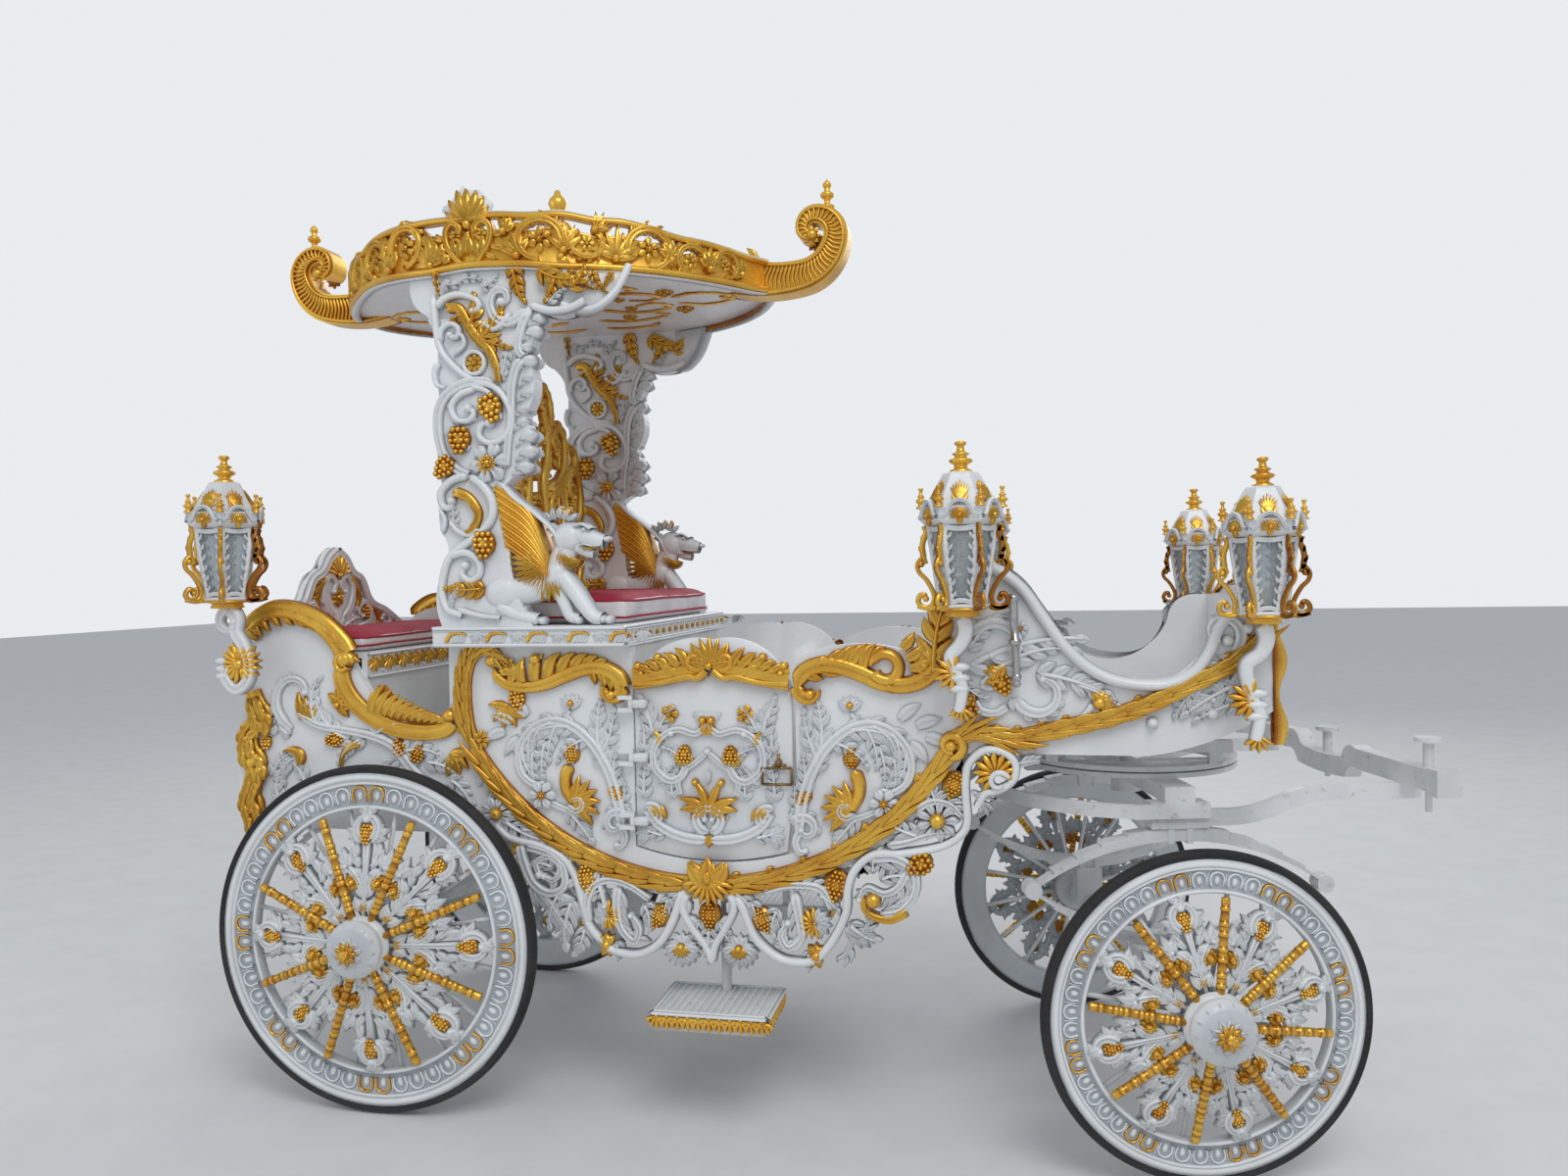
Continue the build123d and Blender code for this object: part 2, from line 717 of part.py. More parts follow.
def lantern_frame():
    """The lantern's metal on Z = 0: foot, corner bars, crown, roof, arms and finial."""
    crown_z = lamp_h
    roof_z = lamp_h + crown_h
    made = extrude(hexagon(-18, lamp_base_r - 14), amount=6) + extrude(hexagon(-12, lamp_base_r + 10), amount=24)
    made += extrude(hexagon(crown_z, crown_r) - hexagon(crown_z, lamp_top_r - 22), amount=crown_h)
    made += loft([hexagon(roof_z, crown_r - 4).face(), hexagon(roof_z + roof_h, roof_top_r).face()])
    made += Pos(0, 0, roof_z + roof_h) * finial(finial_h, roof_top_r * 0.7)
    arm_face, _ = ribbon((crown_r - 20, roof_z - 24), 50, [(24, -80), (18, 160)], 16, 9)
    arm = slab(arm_face, -5, 5) + Pos(crown_r + 26, 0, roof_z + 8) * Cylinder(6, 34)
    for i in range(6):
        a = math.radians(60 * i)
        low = (lamp_base_r * math.cos(a), lamp_base_r * math.sin(a), 11)
        high = (lamp_top_r * math.cos(a), lamp_top_r * math.sin(a), crown_z + 1)
        made += rod(low, high, 6)
        made += Rot(0, 0, 60 * i) * arm
    return made


def lantern_glass():
    shell = loft([hexagon(12 + gap, lamp_base_r - 7.5).face(), hexagon(lamp_h - gap, lamp_top_r - 7.5).face()])
    return shell - loft([hexagon(12, lamp_base_r - 11.5).face(), hexagon(lamp_h, lamp_top_r - 11.5).face()])


frame = lantern_frame()
glass = lantern_glass()
# Lanterns: x, the foot's height, wall lug's x and height
spots = {
    "mid": (1788, 1512, 1776, 1330),
    "front": (2560, 1486, 2540, 1262),
    "rear": (-500, 1558, -466, 1300),
}
glasses = []
for where, (x, foot_z, lug_x, lug_z) in spots.items():
    share = front_lamp_share if where == "front" else 1
    here = Pos(x, -lamp_out, foot_z) * scale(frame, by=share)
    post = rod((x, -lamp_out, foot_z - 15), (x, -lamp_out, foot_z - 70), 20)
    mid_z = foot_z - 60
    bracket = block(min(x, lug_x) - 18, max(x, lug_x) + 18, -lamp_out - 14, -lamp_out + 14, mid_z - 30, mid_z)
    bracket += block(lug_x - 18, lug_x + 18, -lamp_out - 14, -lamp_out + 14, lug_z - 20, mid_z)
    bracket += block(lug_x - 18, lug_x + 18, -lamp_out - 14, -half_w, lug_z - 20, lug_z + 24)
    curl_face, _ = ribbon((lug_x, lug_z - 20), 250, [(60, 100), (44, 120), (24, 130)], 36, 16)
    bracket += slab(curl_face, -lamp_out - 13, -lamp_out + 13)
    whole = here + post + bracket
    parts["lantern_" + where + "_right"] = whole
    glasses.append(Pos(x, -lamp_out, foot_z) * scale(glass, by=share))
    if where != "rear":
        parts["lantern_" + where + "_left"] = mirror(whole, Plane.XZ)
        glasses.append(mirror(glasses[-1], Plane.XZ))
panes = glasses[0]
for one in glasses[1:]:
    panes += one
parts["lantern_glass"] = panes

# Grab rods by the driver's bench, and the steps under the doors
grab_x = 1930
grab_y = -half_w - 48
grab = rod((grab_x, grab_y, 1300), (grab_x, grab_y, 1550), 9)
for z in (1320, 1490):
    grab += rod((grab_x, -half_w, z), (grab_x, grab_y, z), 7)
    grab += Pos(grab_x, grab_y, z) * Cylinder(14, 20)
both_sides("grab_rod", grab)
step_x = 1060
step_z = 370
step_t = 20
step_in = half_w - 90
step_out = half_w + 150
tread = block(step_x - 170, step_x + 170, -step_out, -step_in, step_z - step_t, step_z)
tread = fillet(tread.edges().filter_by(Axis.Z), 30)
lip_low = step_z - step_t - 34
lip_band = block(step_x - 160, step_x + 160, -step_out + 10, -step_in - 10, lip_low, step_z - step_t)
lip_band -= block(step_x - 148, step_x + 148, -step_out + 22, -step_in - 22, lip_low - 1, step_z - step_t)
hanger_y = step_in + 30
hanger = rod((step_x, -hanger_y, step_z), (step_x, -hanger_y, 690), 15)
pan_under = Pos(bay_x, 0, bay_z) * Rot(90, 0, 0) * Cylinder(pan_r + gap, 3 * inner)
foot_pad = block(step_x - 60, step_x + 60, -hanger_y - 28, -hanger_y + 28, 655, 700)
both_sides("step", tread + lip_band + (hanger + foot_pad - pan_under))

# Chassis under the body: rear rails on the springs, nose rails and the upper turntable ring
rear_rail_z = rear_floor_z
rear_rail_h = 40
spring_top_rear = rear_eye_z + rear_spring_rise + leaves * leaf_t
chassis = None
for side in (-1, 1):
    y0 = side * spring_y - rail_w / 2
    rail = block(tail_x, 330, y0, y0 + rail_w, spring_top_rear, rear_rail_z)
    chassis = rail if chassis is None else chassis + rail
for x in (-440, 0, 300):
    chassis += block(x - 22, x + 22, -spring_y, spring_y, rear_rail_z - 30, rear_rail_z)
parts["rear_chassis"] = chassis
nose_y = 233
nose_pan_z = front_floor_z - pan_t
nose = None
for side in (-1, 1):
    y0 = side * nose_y - 20
    rail = block(1900, 2540, y0, y0 + 40, nose_pan_z - 34, nose_pan_z)
    for x in (wheelbase - nose_y, wheelbase + nose_y):
        rail += block(x - 18, x + 18, side * nose_y - 18, side * nose_y + 18, ring_z + ring_t, nose_pan_z - 34)
    nose = rail if nose is None else nose + rail
nose += block(wheelbase - 24, wheelbase + 24, -nose_y, nose_y, nose_pan_z - 34, nose_pan_z)
ring = Cylinder(ring_r, ring_t, align=(Align.CENTER, Align.CENTER, Align.MIN))
ring -= Cylinder(ring_r - ring_w, ring_t * 3)
kingpin_r = 17
kingpin_low = 930
nose += Pos(wheelbase, 0, ring_z) * ring
nose += rod((wheelbase, 0, kingpin_low), (wheelbase, 0, nose_pan_z - 30), kingpin_r)
parts["turntable_upper"] = nose


# Full elliptic leaf springs in pairs, with eyes and clips
def elliptic(half, eye, rise):
    """One spring in X and Z about X = 0: two packs of stepped leaves that meet in eyes."""
    arc_r = (half**2 + rise**2) / (2 * rise)
    made = None
    for up in (1, -1):
        centre = eye + up * (rise - arc_r)

        def at(r, share):
            a = share * math.asin(half / arc_r)
            return r * math.sin(a), centre + up * r * math.cos(a)

        ends = [1 - 0.17 * i for i in range(leaves)]
        edges = [ThreePointArc(at(arc_r, -1), at(arc_r, 0), at(arc_r, 1))]
        for i in range(leaves):
            r0, r1 = arc_r + i * leaf_t, arc_r + (i + 1) * leaf_t
            for side in (-1, 1):
                edges.append(Line(at(r0, side * ends[i]), at(r1, side * ends[i])))
                if i + 1 < leaves:
                    mid = side * (ends[i] + ends[i + 1]) / 2
                    edges.append(ThreePointArc(at(r1, side * ends[i]), at(r1, mid), at(r1, side * ends[i + 1])))
        edges.append(ThreePointArc(at(r1, -ends[-1]), at(r1, 0), at(r1, ends[-1])))
        pack = make_face(Wire(edges))
        made = pack if made is None else made + pack
    for side in (-1, 1):
        made += Pos(side * half, eye) * Circle(eye_r + 6)
    return slab(made, -leaf_w / 2, leaf_w / 2)


def clipped_spring(half, eye, rise):
    """The right hand spring with its clips, about X = 0."""
    made = Pos(0, -spring_y, 0) * elliptic(half, eye, rise)
    for up in (1, -1):
        z = eye + up * (rise + leaves * leaf_t / 2)
        band = leaves * leaf_t / 2 + 3
        for x in (-26, 26):
            made += block(x - 8, x + 8, -spring_y - 31, -spring_y + 31, z - band - 3, z + band - 4)
    return made


rear_axle_top = rear_wheel_r + axle_d / 2
rear_spring = clipped_spring(spring_half, rear_eye_z, rear_spring_rise)
both_sides("rear_spring", rear_spring)


# Axles: a square bed between the springs and round stubs that the hubs run on
wheel_mid = track / 2
stub_r = axle_d / 2
stub_end = wheel_mid + tyre_w / 2 + 96
collar_y = wheel_mid - tyre_w / 2 - hub_in - gap


def axle(height, bed_top):
    """The axle bed with its spring seats, two collars and the two stubs."""
    bed = block(-axle_d / 2, axle_d / 2, -collar_y + 20, collar_y - 20, height - axle_d / 2, height + axle_d / 2)
    for side in (-1, 1):
        seat_y = side * spring_y
        if bed_top > height + axle_d / 2:
            bed += block(-44, 44, seat_y - 30, seat_y + 30, height, bed_top)
        bed += rod((0, side * (collar_y - 22), height), (0, side * collar_y, height), 34)
        bed += rod((0, side * (collar_y - 1), height), (0, side * stub_end, height), stub_r)
    return bed


parts["rear_axle"] = axle(rear_wheel_r, rear_axle_top) - rear_spring - mirror(rear_spring, Plane.XZ)


def turn_front(shape):
    """Moves a piece drawn about the kingpin at X = 0 to its place, turned as the carriage is parked."""
    return Pos(wheelbase, 0, 0) * Rot(0, 0, steer_at_rest) * shape


# Front carriage about the kingpin
front_low = eye_z - spring_rise - leaves * leaf_t
front_high = eye_z + spring_rise + leaves * leaf_t
front_spring = clipped_spring(spring_half, eye_z, spring_rise)
other_spring = mirror(front_spring, Plane.XZ)
parts["front_spring_right"] = turn_front(front_spring)
parts["front_spring_left"] = turn_front(other_spring)
parts["front_axle"] = turn_front(axle(front_wheel_r, front_low) - front_spring - other_spring)
ring_gap = 5
low_ring_z = ring_z - ring_gap - ring_t
head_z = low_ring_z - 44
frame_parts = Pos(0, 0, low_ring_z) * ring
bolster = block(-42, 42, -spring_y - 30, spring_y + 30, head_z, low_ring_z)
for side in (-1, 1):
    bolster += block(-80, 80, side * spring_y - 30, side * spring_y + 30, front_high, head_z)
bolster += block(-ring_r + 10, ring_r - 10, -20, 20, low_ring_z - 24, low_ring_z)
pin_hole = Pos(0, 0, low_ring_z - 40) * Cylinder(kingpin_r + run_fit, 400)
boss = Pos(0, 0, head_z - 20) * Cylinder(46, 60)
turntable = frame_parts + bolster + boss - pin_hole - front_spring - other_spring
hoop_r = 340
hoop_y = spring_y + 30 + hoop_t
straight_x = -120
hoop = Plane.XY.offset(hoop_z) * make_face(
    Wire(
        [
            Line((80, -hoop_y), (straight_x, -hoop_y)),
            ThreePointArc((straight_x, -hoop_y), (straight_x - hoop_r, 0), (straight_x, hoop_y)),
            Line((straight_x, hoop_y), (80, hoop_y)),
            Line((80, hoop_y), (80, hoop_y - hoop_t)),
            Line((80, hoop_y - hoop_t), (straight_x, hoop_y - hoop_t)),
            ThreePointArc(
                (straight_x, hoop_y - hoop_t), (straight_x - hoop_r + hoop_t, 0), (straight_x, -hoop_y + hoop_t)
            ),
            Line((straight_x, -hoop_y + hoop_t), (80, -hoop_y + hoop_t)),
            Line((80, -hoop_y + hoop_t), (80, -hoop_y)),
        ]
    )
)
hoop = extrude(hoop, amount=hoop_w)
futchell_h = 45
bar_start_z = hoop_z - 6
splinter_low = 1006
bend_r = (splinter_low - futchell_h / 2 - bar_start_z) / (2 * (1 - math.cos(math.radians(24))))
futchells = None
for side in (-1, 1):
    rise_face, _ = ribbon((80, bar_start_z), 0, [(0, 60), (bend_r, 24), (bend_r, -24), (0, 250)], futchell_h)
    bar = slab(rise_face, side * spring_y - 12, side * spring_y + 12)
    futchells = bar if futchells is None else futchells + bar
parts["front_frame"] = turn_front(turntable + hoop + futchells)
bend = [
    (-220, splinter_low),
    (-176, splinter_low - 4, -150, splinter_low - 36),
    (0, splinter_low - 44, 150, splinter_low - 36),
    (176, splinter_low - 4, 220, splinter_low),
    (splinter_half, splinter_low),
    (splinter_half, splinter_low + splinter_h),
    (214, splinter_low + splinter_h),
    (150, splinter_low + splinter_h - 6, 130, splinter_low + splinter_h - 36),
    (0, splinter_low + splinter_h - 44, -130, splinter_low + splinter_h - 36),
    (-150, splinter_low + splinter_h - 6, -214, splinter_low + splinter_h),
    (-splinter_half, splinter_low + splinter_h),
]
splinter = across(outline((-splinter_half, splinter_low), bend), splinter_x - splinter_t / 2, splinter_x + splinter_t / 2)
for side in (-1, 1):
    splinter += block(
        splinter_x - 34,
        splinter_x + 34,
        side * splinter_half - 24,
        side * splinter_half + 24,
        splinter_low - 6,
        splinter_low + splinter_h + 6,
    )
# Roller bolts: across, foot height
bolts = [(-splinter_half + 70, splinter_h), (0, splinter_h - 44), (splinter_half - 70, splinter_h)]
for y, foot in bolts:
    z = splinter_low + foot
    splinter += rod((splinter_x, y, z - 10), (splinter_x, y, z + 76), 14)
    splinter += rod((splinter_x, y, z + 70), (splinter_x, y, z + 82), 35)
    splinter += rod((splinter_x, y, splinter_low - 60), (splinter_x, y, splinter_low + 10), 9)
parts["splinter_bar"] = turn_front(splinter)


# Wheels, drawn with the outer side up
def wheel_parts(radius, phase):
    """The tyre, the working wheel and the carved face of one wheel about Z, outer side up."""
    tyre_in = radius - tyre_depth
    rim_in = radius * (1 - rim_share) - tyre_depth
    tyre = turned(
        [
            (tyre_in + gap, -tyre_w / 2 + 5),
            (tyre_in + gap, tyre_w / 2 - 5),
            (radius - 8, tyre_w / 2),
            (radius, 0, radius - 8, -tyre_w / 2),
        ]
    )
    rim = turned(
        [
            (rim_in, -rim_w / 2),
            (rim_in, rim_w / 2 - 6),
            (rim_in + 12, rim_w / 2),
            (rim_in + 24, rim_w / 2 - 5),
            (tyre_in - 24, rim_w / 2 - 5),
            (tyre_in - 12, rim_w / 2),
            (tyre_in, rim_w / 2 - 4),
            (tyre_in, -rim_w / 2),
        ]
    )
    base = -tyre_w / 2 - hub_in
    top = tyre_w / 2 + hub_out
    bore = stub_r + run_fit
    hub = turned(
        [
            (bore, base),
            (hub_r - 8, base),
            (hub_r, base + 14),
            (hub_r, top - 70),
            (hub_r + 6, top - 56, hub_r - 16, top - 42),
            (40, top - 30),
            (42, top - 10),
            (30, top),
            (0, top),
            (0, top - 44),
            (bore, top - 44),
        ]
    )
    frame = rim + hub
    rear_z = -10
    for i in range(spokes):
        a = 2 * math.pi * (i + 0.5) / spokes
        c, s = math.cos(a), math.sin(a)
        frame += rod((50 * c, 50 * s, rear_z), ((rim_in + 20) * c, (rim_in + 20) * s, rear_z), spoke_d / 2)
    hub_seat = hub_r - 4
    out_r = rim_in + 4
    low_z, high_z = 2, 2 + dish
    face = turned(
        [
            (hub_seat, high_z),
            (out_r, low_z),
            (out_r, low_z + face_t),
            (hub_seat, high_z + face_t),
        ]
    )
    for i in range(2 * bars):
        at = phase + 180 / bars * (i + 0.5)
        spot = (out_r * 0.8 * math.cos(math.radians(at)), out_r * 0.8 * math.sin(math.radians(at)))
        hole = Pos(*spot) * Rot(0, 0, at) * Trapezoid(out_r * 0.1, out_r * 0.3, 84, rotation=90)
        face -= extrude(hole, amount=200, both=True)
    for i in range(bars):
        bar = rod((hub_seat + 6, 0, high_z + face_t + 3), (out_r - 8, 0, low_z + face_t + 3), bar_d / 2)
        face += Rot(0, 0, phase + 360 * i / bars) * bar
    return tyre, frame + face


# The wheels: where, its axle's place, radius, the bars' first angle
wheel_table = [
    ("rear_right", 1, False, rear_wheel_r, 22.5),
    ("rear_left", -1, False, rear_wheel_r, 22.5),
    ("front_right", 1, True, front_wheel_r, -8),
    ("front_left", -1, True, front_wheel_r, -8),
]
made_wheels = {}
for name, side, steered, radius, phase in wheel_table:
    if radius not in made_wheels:
        made_wheels[radius] = wheel_parts(radius, phase)
    for kind, shape in zip(("tyre", "wheel"), made_wheels[radius]):
        placed = Pos(0, -wheel_mid, radius) * Rot(90, 0, 0) * shape
        if side < 0:
            placed = mirror(placed, Plane.XZ)
        if steered:
            placed = turn_front(placed)
        parts[f"{kind}_{name}"] = placed

# The row's origin is on the ground under the middle of the whole length
low_x = min(shape.bounding_box().min.X for shape in parts.values())
high_x = max(shape.bounding_box().max.X for shape in parts.values())
middle_x = (low_x + high_x) / 2
for name, shape in parts.items():
    export_step(Pos(-middle_x, 0, 0) * shape, f"parts/{name}.step")
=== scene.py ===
import bpy
import bmesh
import json
import math
import numpy as np
from mathutils import Matrix, Vector


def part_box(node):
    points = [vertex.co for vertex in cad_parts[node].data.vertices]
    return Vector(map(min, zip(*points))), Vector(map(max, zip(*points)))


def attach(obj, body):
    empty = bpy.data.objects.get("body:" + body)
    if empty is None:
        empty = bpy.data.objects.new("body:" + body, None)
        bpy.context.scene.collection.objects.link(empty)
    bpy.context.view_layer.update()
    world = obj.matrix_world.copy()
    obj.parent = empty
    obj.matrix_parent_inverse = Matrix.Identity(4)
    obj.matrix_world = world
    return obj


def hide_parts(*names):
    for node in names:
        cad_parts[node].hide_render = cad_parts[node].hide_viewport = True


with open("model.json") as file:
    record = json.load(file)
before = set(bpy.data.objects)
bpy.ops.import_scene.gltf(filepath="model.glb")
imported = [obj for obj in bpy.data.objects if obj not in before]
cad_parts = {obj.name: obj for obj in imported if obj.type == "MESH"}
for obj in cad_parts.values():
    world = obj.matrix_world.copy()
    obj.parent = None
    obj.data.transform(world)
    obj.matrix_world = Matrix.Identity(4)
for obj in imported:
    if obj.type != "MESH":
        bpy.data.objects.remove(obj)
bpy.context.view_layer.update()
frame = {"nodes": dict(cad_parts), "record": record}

mm = 0.001
rearAxleX = sum(corner.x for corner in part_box("tyre_rear_right")) / 2  # the drawings' zero
kingpinX = rearAxleX + 2.260
wallY = 0.500       # outer face of the side walls
steerAtRest = math.radians(13.5)
wheelMiddleY = 0.6245
lanternY = 0.602
bothSides = (("Right", -1), ("Left", 1))
edgeShade = 0.3      # how dark the painted shade is on the edges of open work, where they turn back


# carving tools: shapes drawn on a panel as (u, v) with height h, in millimetres
class Carving:
    # depth is how far an open-work piece reaches back below its face; 0 sits on a panel
    # stroke and fuller widen its lines and its leaves; lift raises it, easing off towards 60 mm
    def __init__(self, depth=0, stroke=1.0, fuller=1.0, lift=0):
        self.depth, self.stroke, self.fuller, self.lift = depth, stroke, fuller, lift
        self.parts = {}

    # rise is how far each point stands out, 0 to 1; the carved finishes paint shade where it is low
    def add(self, finish, points, quads, rise):
        store = self.parts.setdefault(finish, {"points": [], "quads": [], "rise": [], "count": 0})
        points = np.array(points, float).reshape(-1, 3)
        if self.lift:
            high = points[:, 2] > 0
            points[high, 2] = 60 * np.tanh(self.lift * points[high, 2] / 60)
        store["points"].append(points)
        store["quads"].append(np.asarray(quads, int).reshape(-1, 4) + store["count"])
        store["rise"].append(np.asarray(rise, float).ravel())
        store["count"] += len(store["points"][-1])


def gridQuads(rows, columns, wrap=False):
    across = columns if wrap else columns - 1
    i, j = np.meshgrid(np.arange(rows - 1), np.arange(across), indexing="ij")
    nxt = (j + 1) % columns
    quads = np.stack([i * columns + j, i * columns + nxt, (i + 1) * columns + nxt, (i + 1) * columns + j], -1)
    return quads.reshape(-1, 4)


# cross-sections: offsets from the middle line, and heights, as shares of half width and height
sections = {"round": ([1, 0.8, 0.4, 0, -0.4, -0.8, -1], [0, 0.6, 0.92, 1, 0.92, 0.6, 0]),
            "stem": ([1, 0.7, 0, -0.7, -1], [0, 0.78, 1, 0.78, 0]),
            "leaf": ([1, 0.55, 0, -0.55, -1], [0.05, 0.9, 0.42, 0.9, 0.05]),
            "fluted": ([1, 0.8, 0.42, 0, -0.42, -0.8, -1], [0, 0.78, 1, 0.5, 1, 0.78, 0]),
            "reeded": ([1, 0.94, 0.78, 0.52, 0.22, 0, -0.22, -0.52, -0.78, -0.94, -1],
                       [0, 0.6, 0.78, 0.5, 0.98, 0.8, 0.98, 0.5, 0.78, 0.6, 0]),
            "board": ([1, 0.97, 0.86, 0.8, -0.8, -0.86, -0.97, -1], [0, 0.9, 1, 0.72, 0.72, 1, 0.9, 0]), }


def unit(angle):
    return np.array([math.cos(math.radians(angle)), math.sin(math.radians(angle))])


def curlPath(start, heading, radius, turn, tighten=0.3, steps=20):
    # a spiral whose radius shrinks to tighten times its first value; returns points and headings
    path, headings = [np.array(start, float)], [heading]
    share = math.radians(turn) / steps
    for k in range(steps):
        r = radius * tighten ** ((k + 0.5) / steps)
        middle = math.radians(headings[-1]) + share / 2
        path.append(path[-1] + abs(share) * r * np.array([math.cos(middle), math.sin(middle)]))
        headings.append(headings[-1] + math.degrees(share))
    return np.array(path), np.array(headings)


def stemPath(start, heading, moves, spacing=8.0):
    # tangent moves: (0, length) runs straight, (radius, degrees) turns, left if positive
    path, here, at = [np.array(start, float)], np.array(start, float), heading
    for radius, amount in moves:
        length = amount if radius == 0 else abs(math.radians(amount)) * radius
        steps = max(2, int(length / spacing))
        for k in range(steps):
            turn = 0 if radius == 0 else amount / steps
            here = here + unit(at + turn / 2) * length / steps
            at += turn
            path.append(here)
    return np.array(path)


def smoothPath(points, steps=6):
    p = np.array(points, float)
    p = np.vstack([2 * p[0] - p[1], p, 2 * p[-1] - p[-2]])
    out = []
    for k in range(1, len(p) - 2):
        for t in np.arange(steps) / steps:
            out.append(0.5 * (2 * p[k] + (p[k + 1] - p[k - 1]) * t
                              + (2 * p[k - 1] - 5 * p[k] + 4 * p[k + 1] - p[k + 2]) * t ** 2
                              + (3 * p[k] - p[k - 1] - 3 * p[k + 1] + p[k + 2]) * t ** 3))
    return np.array(out + [p[-2]])


def ridge(carving, path, halfWidth, height, finish, section="stem", base=0.0):
    path = np.asarray(path, float)
    n = len(path)
    along = np.gradient(path, axis=0)
    along /= np.maximum(np.linalg.norm(along, axis=1, keepdims=True), 1e-9)
    side = np.stack([-along[:, 1], along[:, 0]], 1)
    offsets, heights = (np.array(row, float) for row in sections[section])
    halfWidth = np.broadcast_to(halfWidth, (n,)) * carving.stroke
    height = np.broadcast_to(height, (n,))
    levels = base + height[:, None] * heights
    # the square root lightens the painted shade on the sides of the leaves
    rise = np.broadcast_to(np.sqrt(heights), levels.shape)
    wrap = carving.depth > 0
    if wrap:      # both edges reach down to the back, which closes the piece
        levels[:, [0, -1]] = -float(carving.depth)
        rise = np.array(rise)
        rise[:, [0, -1]] = edgeShade
    spots = path[:, None, :] + side[:, None, :] * (halfWidth[:, None] * offsets)[:, :, None]
    points = np.concatenate([spots, levels[:, :, None]], 2)
    k = len(offsets)
    carving.add(finish, points, gridQuads(n, k, wrap)[:, ::-1], rise)
    if wrap:
        for row, turn in ((0, 1), (n - 1, -1)):
            ends = [[row * k + j, row * k + j + 1, row * k + k - 2 - j, row * k + k - 1 - j][::turn] for j in range(k // 2)]
            store = carving.parts[finish]
            store["quads"].append(np.array(ends) + store["count"] - n * k)


def taper(n, first, last, power=1.0, soften=0.12):
    t = np.linspace(0, 1, n)
    width = first + (last - first) * t ** power
    return width * np.clip(t / max(soften, 1e-6) + 0.35, 0, 1)


def lobe(carving, start, heading, length, bend, halfWidth, height, finish, base=0.0, steps=0, section="leaf", blunt=False):
    steps = steps or 3 + (length > 64) + (length > 130)
    first = np.array(start, float)
    middle = first + unit(heading) * length * 0.55
    last = middle + unit(heading + bend) * length * 0.5
    t = np.linspace(0, 1, steps + 1)[:, None]
    path = (1 - t) ** 2 * first + 2 * t * (1 - t) * middle + t ** 2 * last
    t = t[:, 0]
    swell = np.sin(np.pi * (0.16 + 0.84 * t) ** 0.9) ** 0.7 * (1 - t ** 6) + 0.04
    if blunt:
        swell = np.sin(np.pi * (0.10 + 0.80 * t) ** 1.4) * np.sqrt(1 - 0.9 * t ** 8)
    lift = np.sin(np.pi * (0.22 + 0.70 * t)) ** 0.5
    ridge(carving, path, halfWidth * swell * carving.fuller / carving.stroke, height * lift, finish, section, base)


def dome(carving, centre, radius, height, finish, base=0.0, sides=9, rings=3, squash=1.0, angle=0.0):
    turns = np.linspace(0, 2 * np.pi, sides, endpoint=False)
    rows, levels, rise = [], [], []
    steps = [(1.0, 0.0)] + [(math.cos(a), math.sin(a)) for a in np.linspace(0.35, 1.35, rings)] + [(0.02, 1.0)]
    if carving.depth > 0 and base < 5:
        steps = [(0.02, None), (1.0, None)] + steps
    turnRow = unit(angle)
    for share, up in steps:
        x, y = radius * share * np.cos(turns), radius * squash * share * np.sin(turns)
        rows.append(np.stack([centre[0] + x * turnRow[0] - y * turnRow[1], centre[1] + x * turnRow[1] + y * turnRow[0]], 1))
        levels.append(np.full(sides, -float(carving.depth) if up is None else base + height * up))
        # the dome's foot gets more painted shade than its top
        rise.append(np.full(sides, edgeShade if up is None else 0.15 + 0.85 * up))
    points = np.concatenate([np.array(rows), np.array(levels)[:, :, None]], 2)
    carving.add(finish, points, gridQuads(len(steps), sides, True), np.array(rise))


def plate(carving, corners, low, high, finish, rim=1.5, rise=0.55):
    # a thin closed board with a softened edge; rise sets one even depth of painted shade on it
    p = np.array(corners, float)
    area = np.sum(p[:, 0] * np.roll(p[:, 1], -1) - np.roll(p[:, 0], -1) * p[:, 1])
    if area < 0:
        p = p[::-1]
    centre = p.mean(0)
    along = np.roll(p, -1, 0) - np.roll(p, 1, 0)
    inward = np.array([-along[:, 1], along[:, 0]]).T
    inward /= np.maximum(np.linalg.norm(inward, axis=1, keepdims=True), 1e-9)
    hub = np.repeat([centre], len(p), 0)
    rows = [(hub, low), (p, low), (p, high - rim), (p + inward * rim, high), (hub, high)]
    levels = np.array([[z] * len(p) for row, z in rows])
    points = np.concatenate([np.array([row for row, z in rows]), levels[:, :, None]], 2)
    carving.add(finish, points, gridQuads(len(rows), len(p), True), np.full(points.shape[:2], rise))


def ball(carving, centre, radius, finish, base=0.0, sides=10):
    dome(carving, centre, radius, radius * 1.15, finish, base, sides, 4)


def grapes(carving, centre, size, finish, angle=-90, rows=(3, 4, 5, 4, 3, 2, 1), base=0.0):
    step = size / (len(rows) - 0.4)
    down, side = unit(angle), unit(angle + 90)
    dome(carving, np.array(centre) - down * step * 0.3, size * 0.42, step * 1.0, finish, base, 10, 2, 1.15, angle + 90)
    for i, count in enumerate(rows):
        along = (i - (len(rows) - 1) / 2) * step * 0.92
        for j in range(count):
            offset = (j - (count - 1) / 2) * step * 0.98
            spot = np.array(centre) + down * along + side * offset
            lift = step * (0.95 - 0.5 * (abs(offset) / size * 2) ** 2)
            dome(carving, spot, step * 0.58, step * 0.62, finish, base + lift * 0.75, 6, 2)


def rosette(carving, centre, radius, petals, finish, heart="gold", base=0.0, angle=0.0):
    for i in range(petals):
        a = angle + 360 * i / petals
        lobe(carving, np.array(centre) + unit(a) * radius * 0.18, a, radius * 0.86, 0, radius * 2.4 / petals / carving.fuller,
             radius * 0.30, finish, base, 0, "leaf", True)
    dome(carving, centre, radius * 0.34, radius * 0.46, heart, base, 9, 2)
    for i in range(6):
        dome(carving, np.array(centre) + unit(60 * i) * radius * 0.2, radius * 0.11, radius * 0.12, heart,
             base + radius * 0.36, 5, 1)


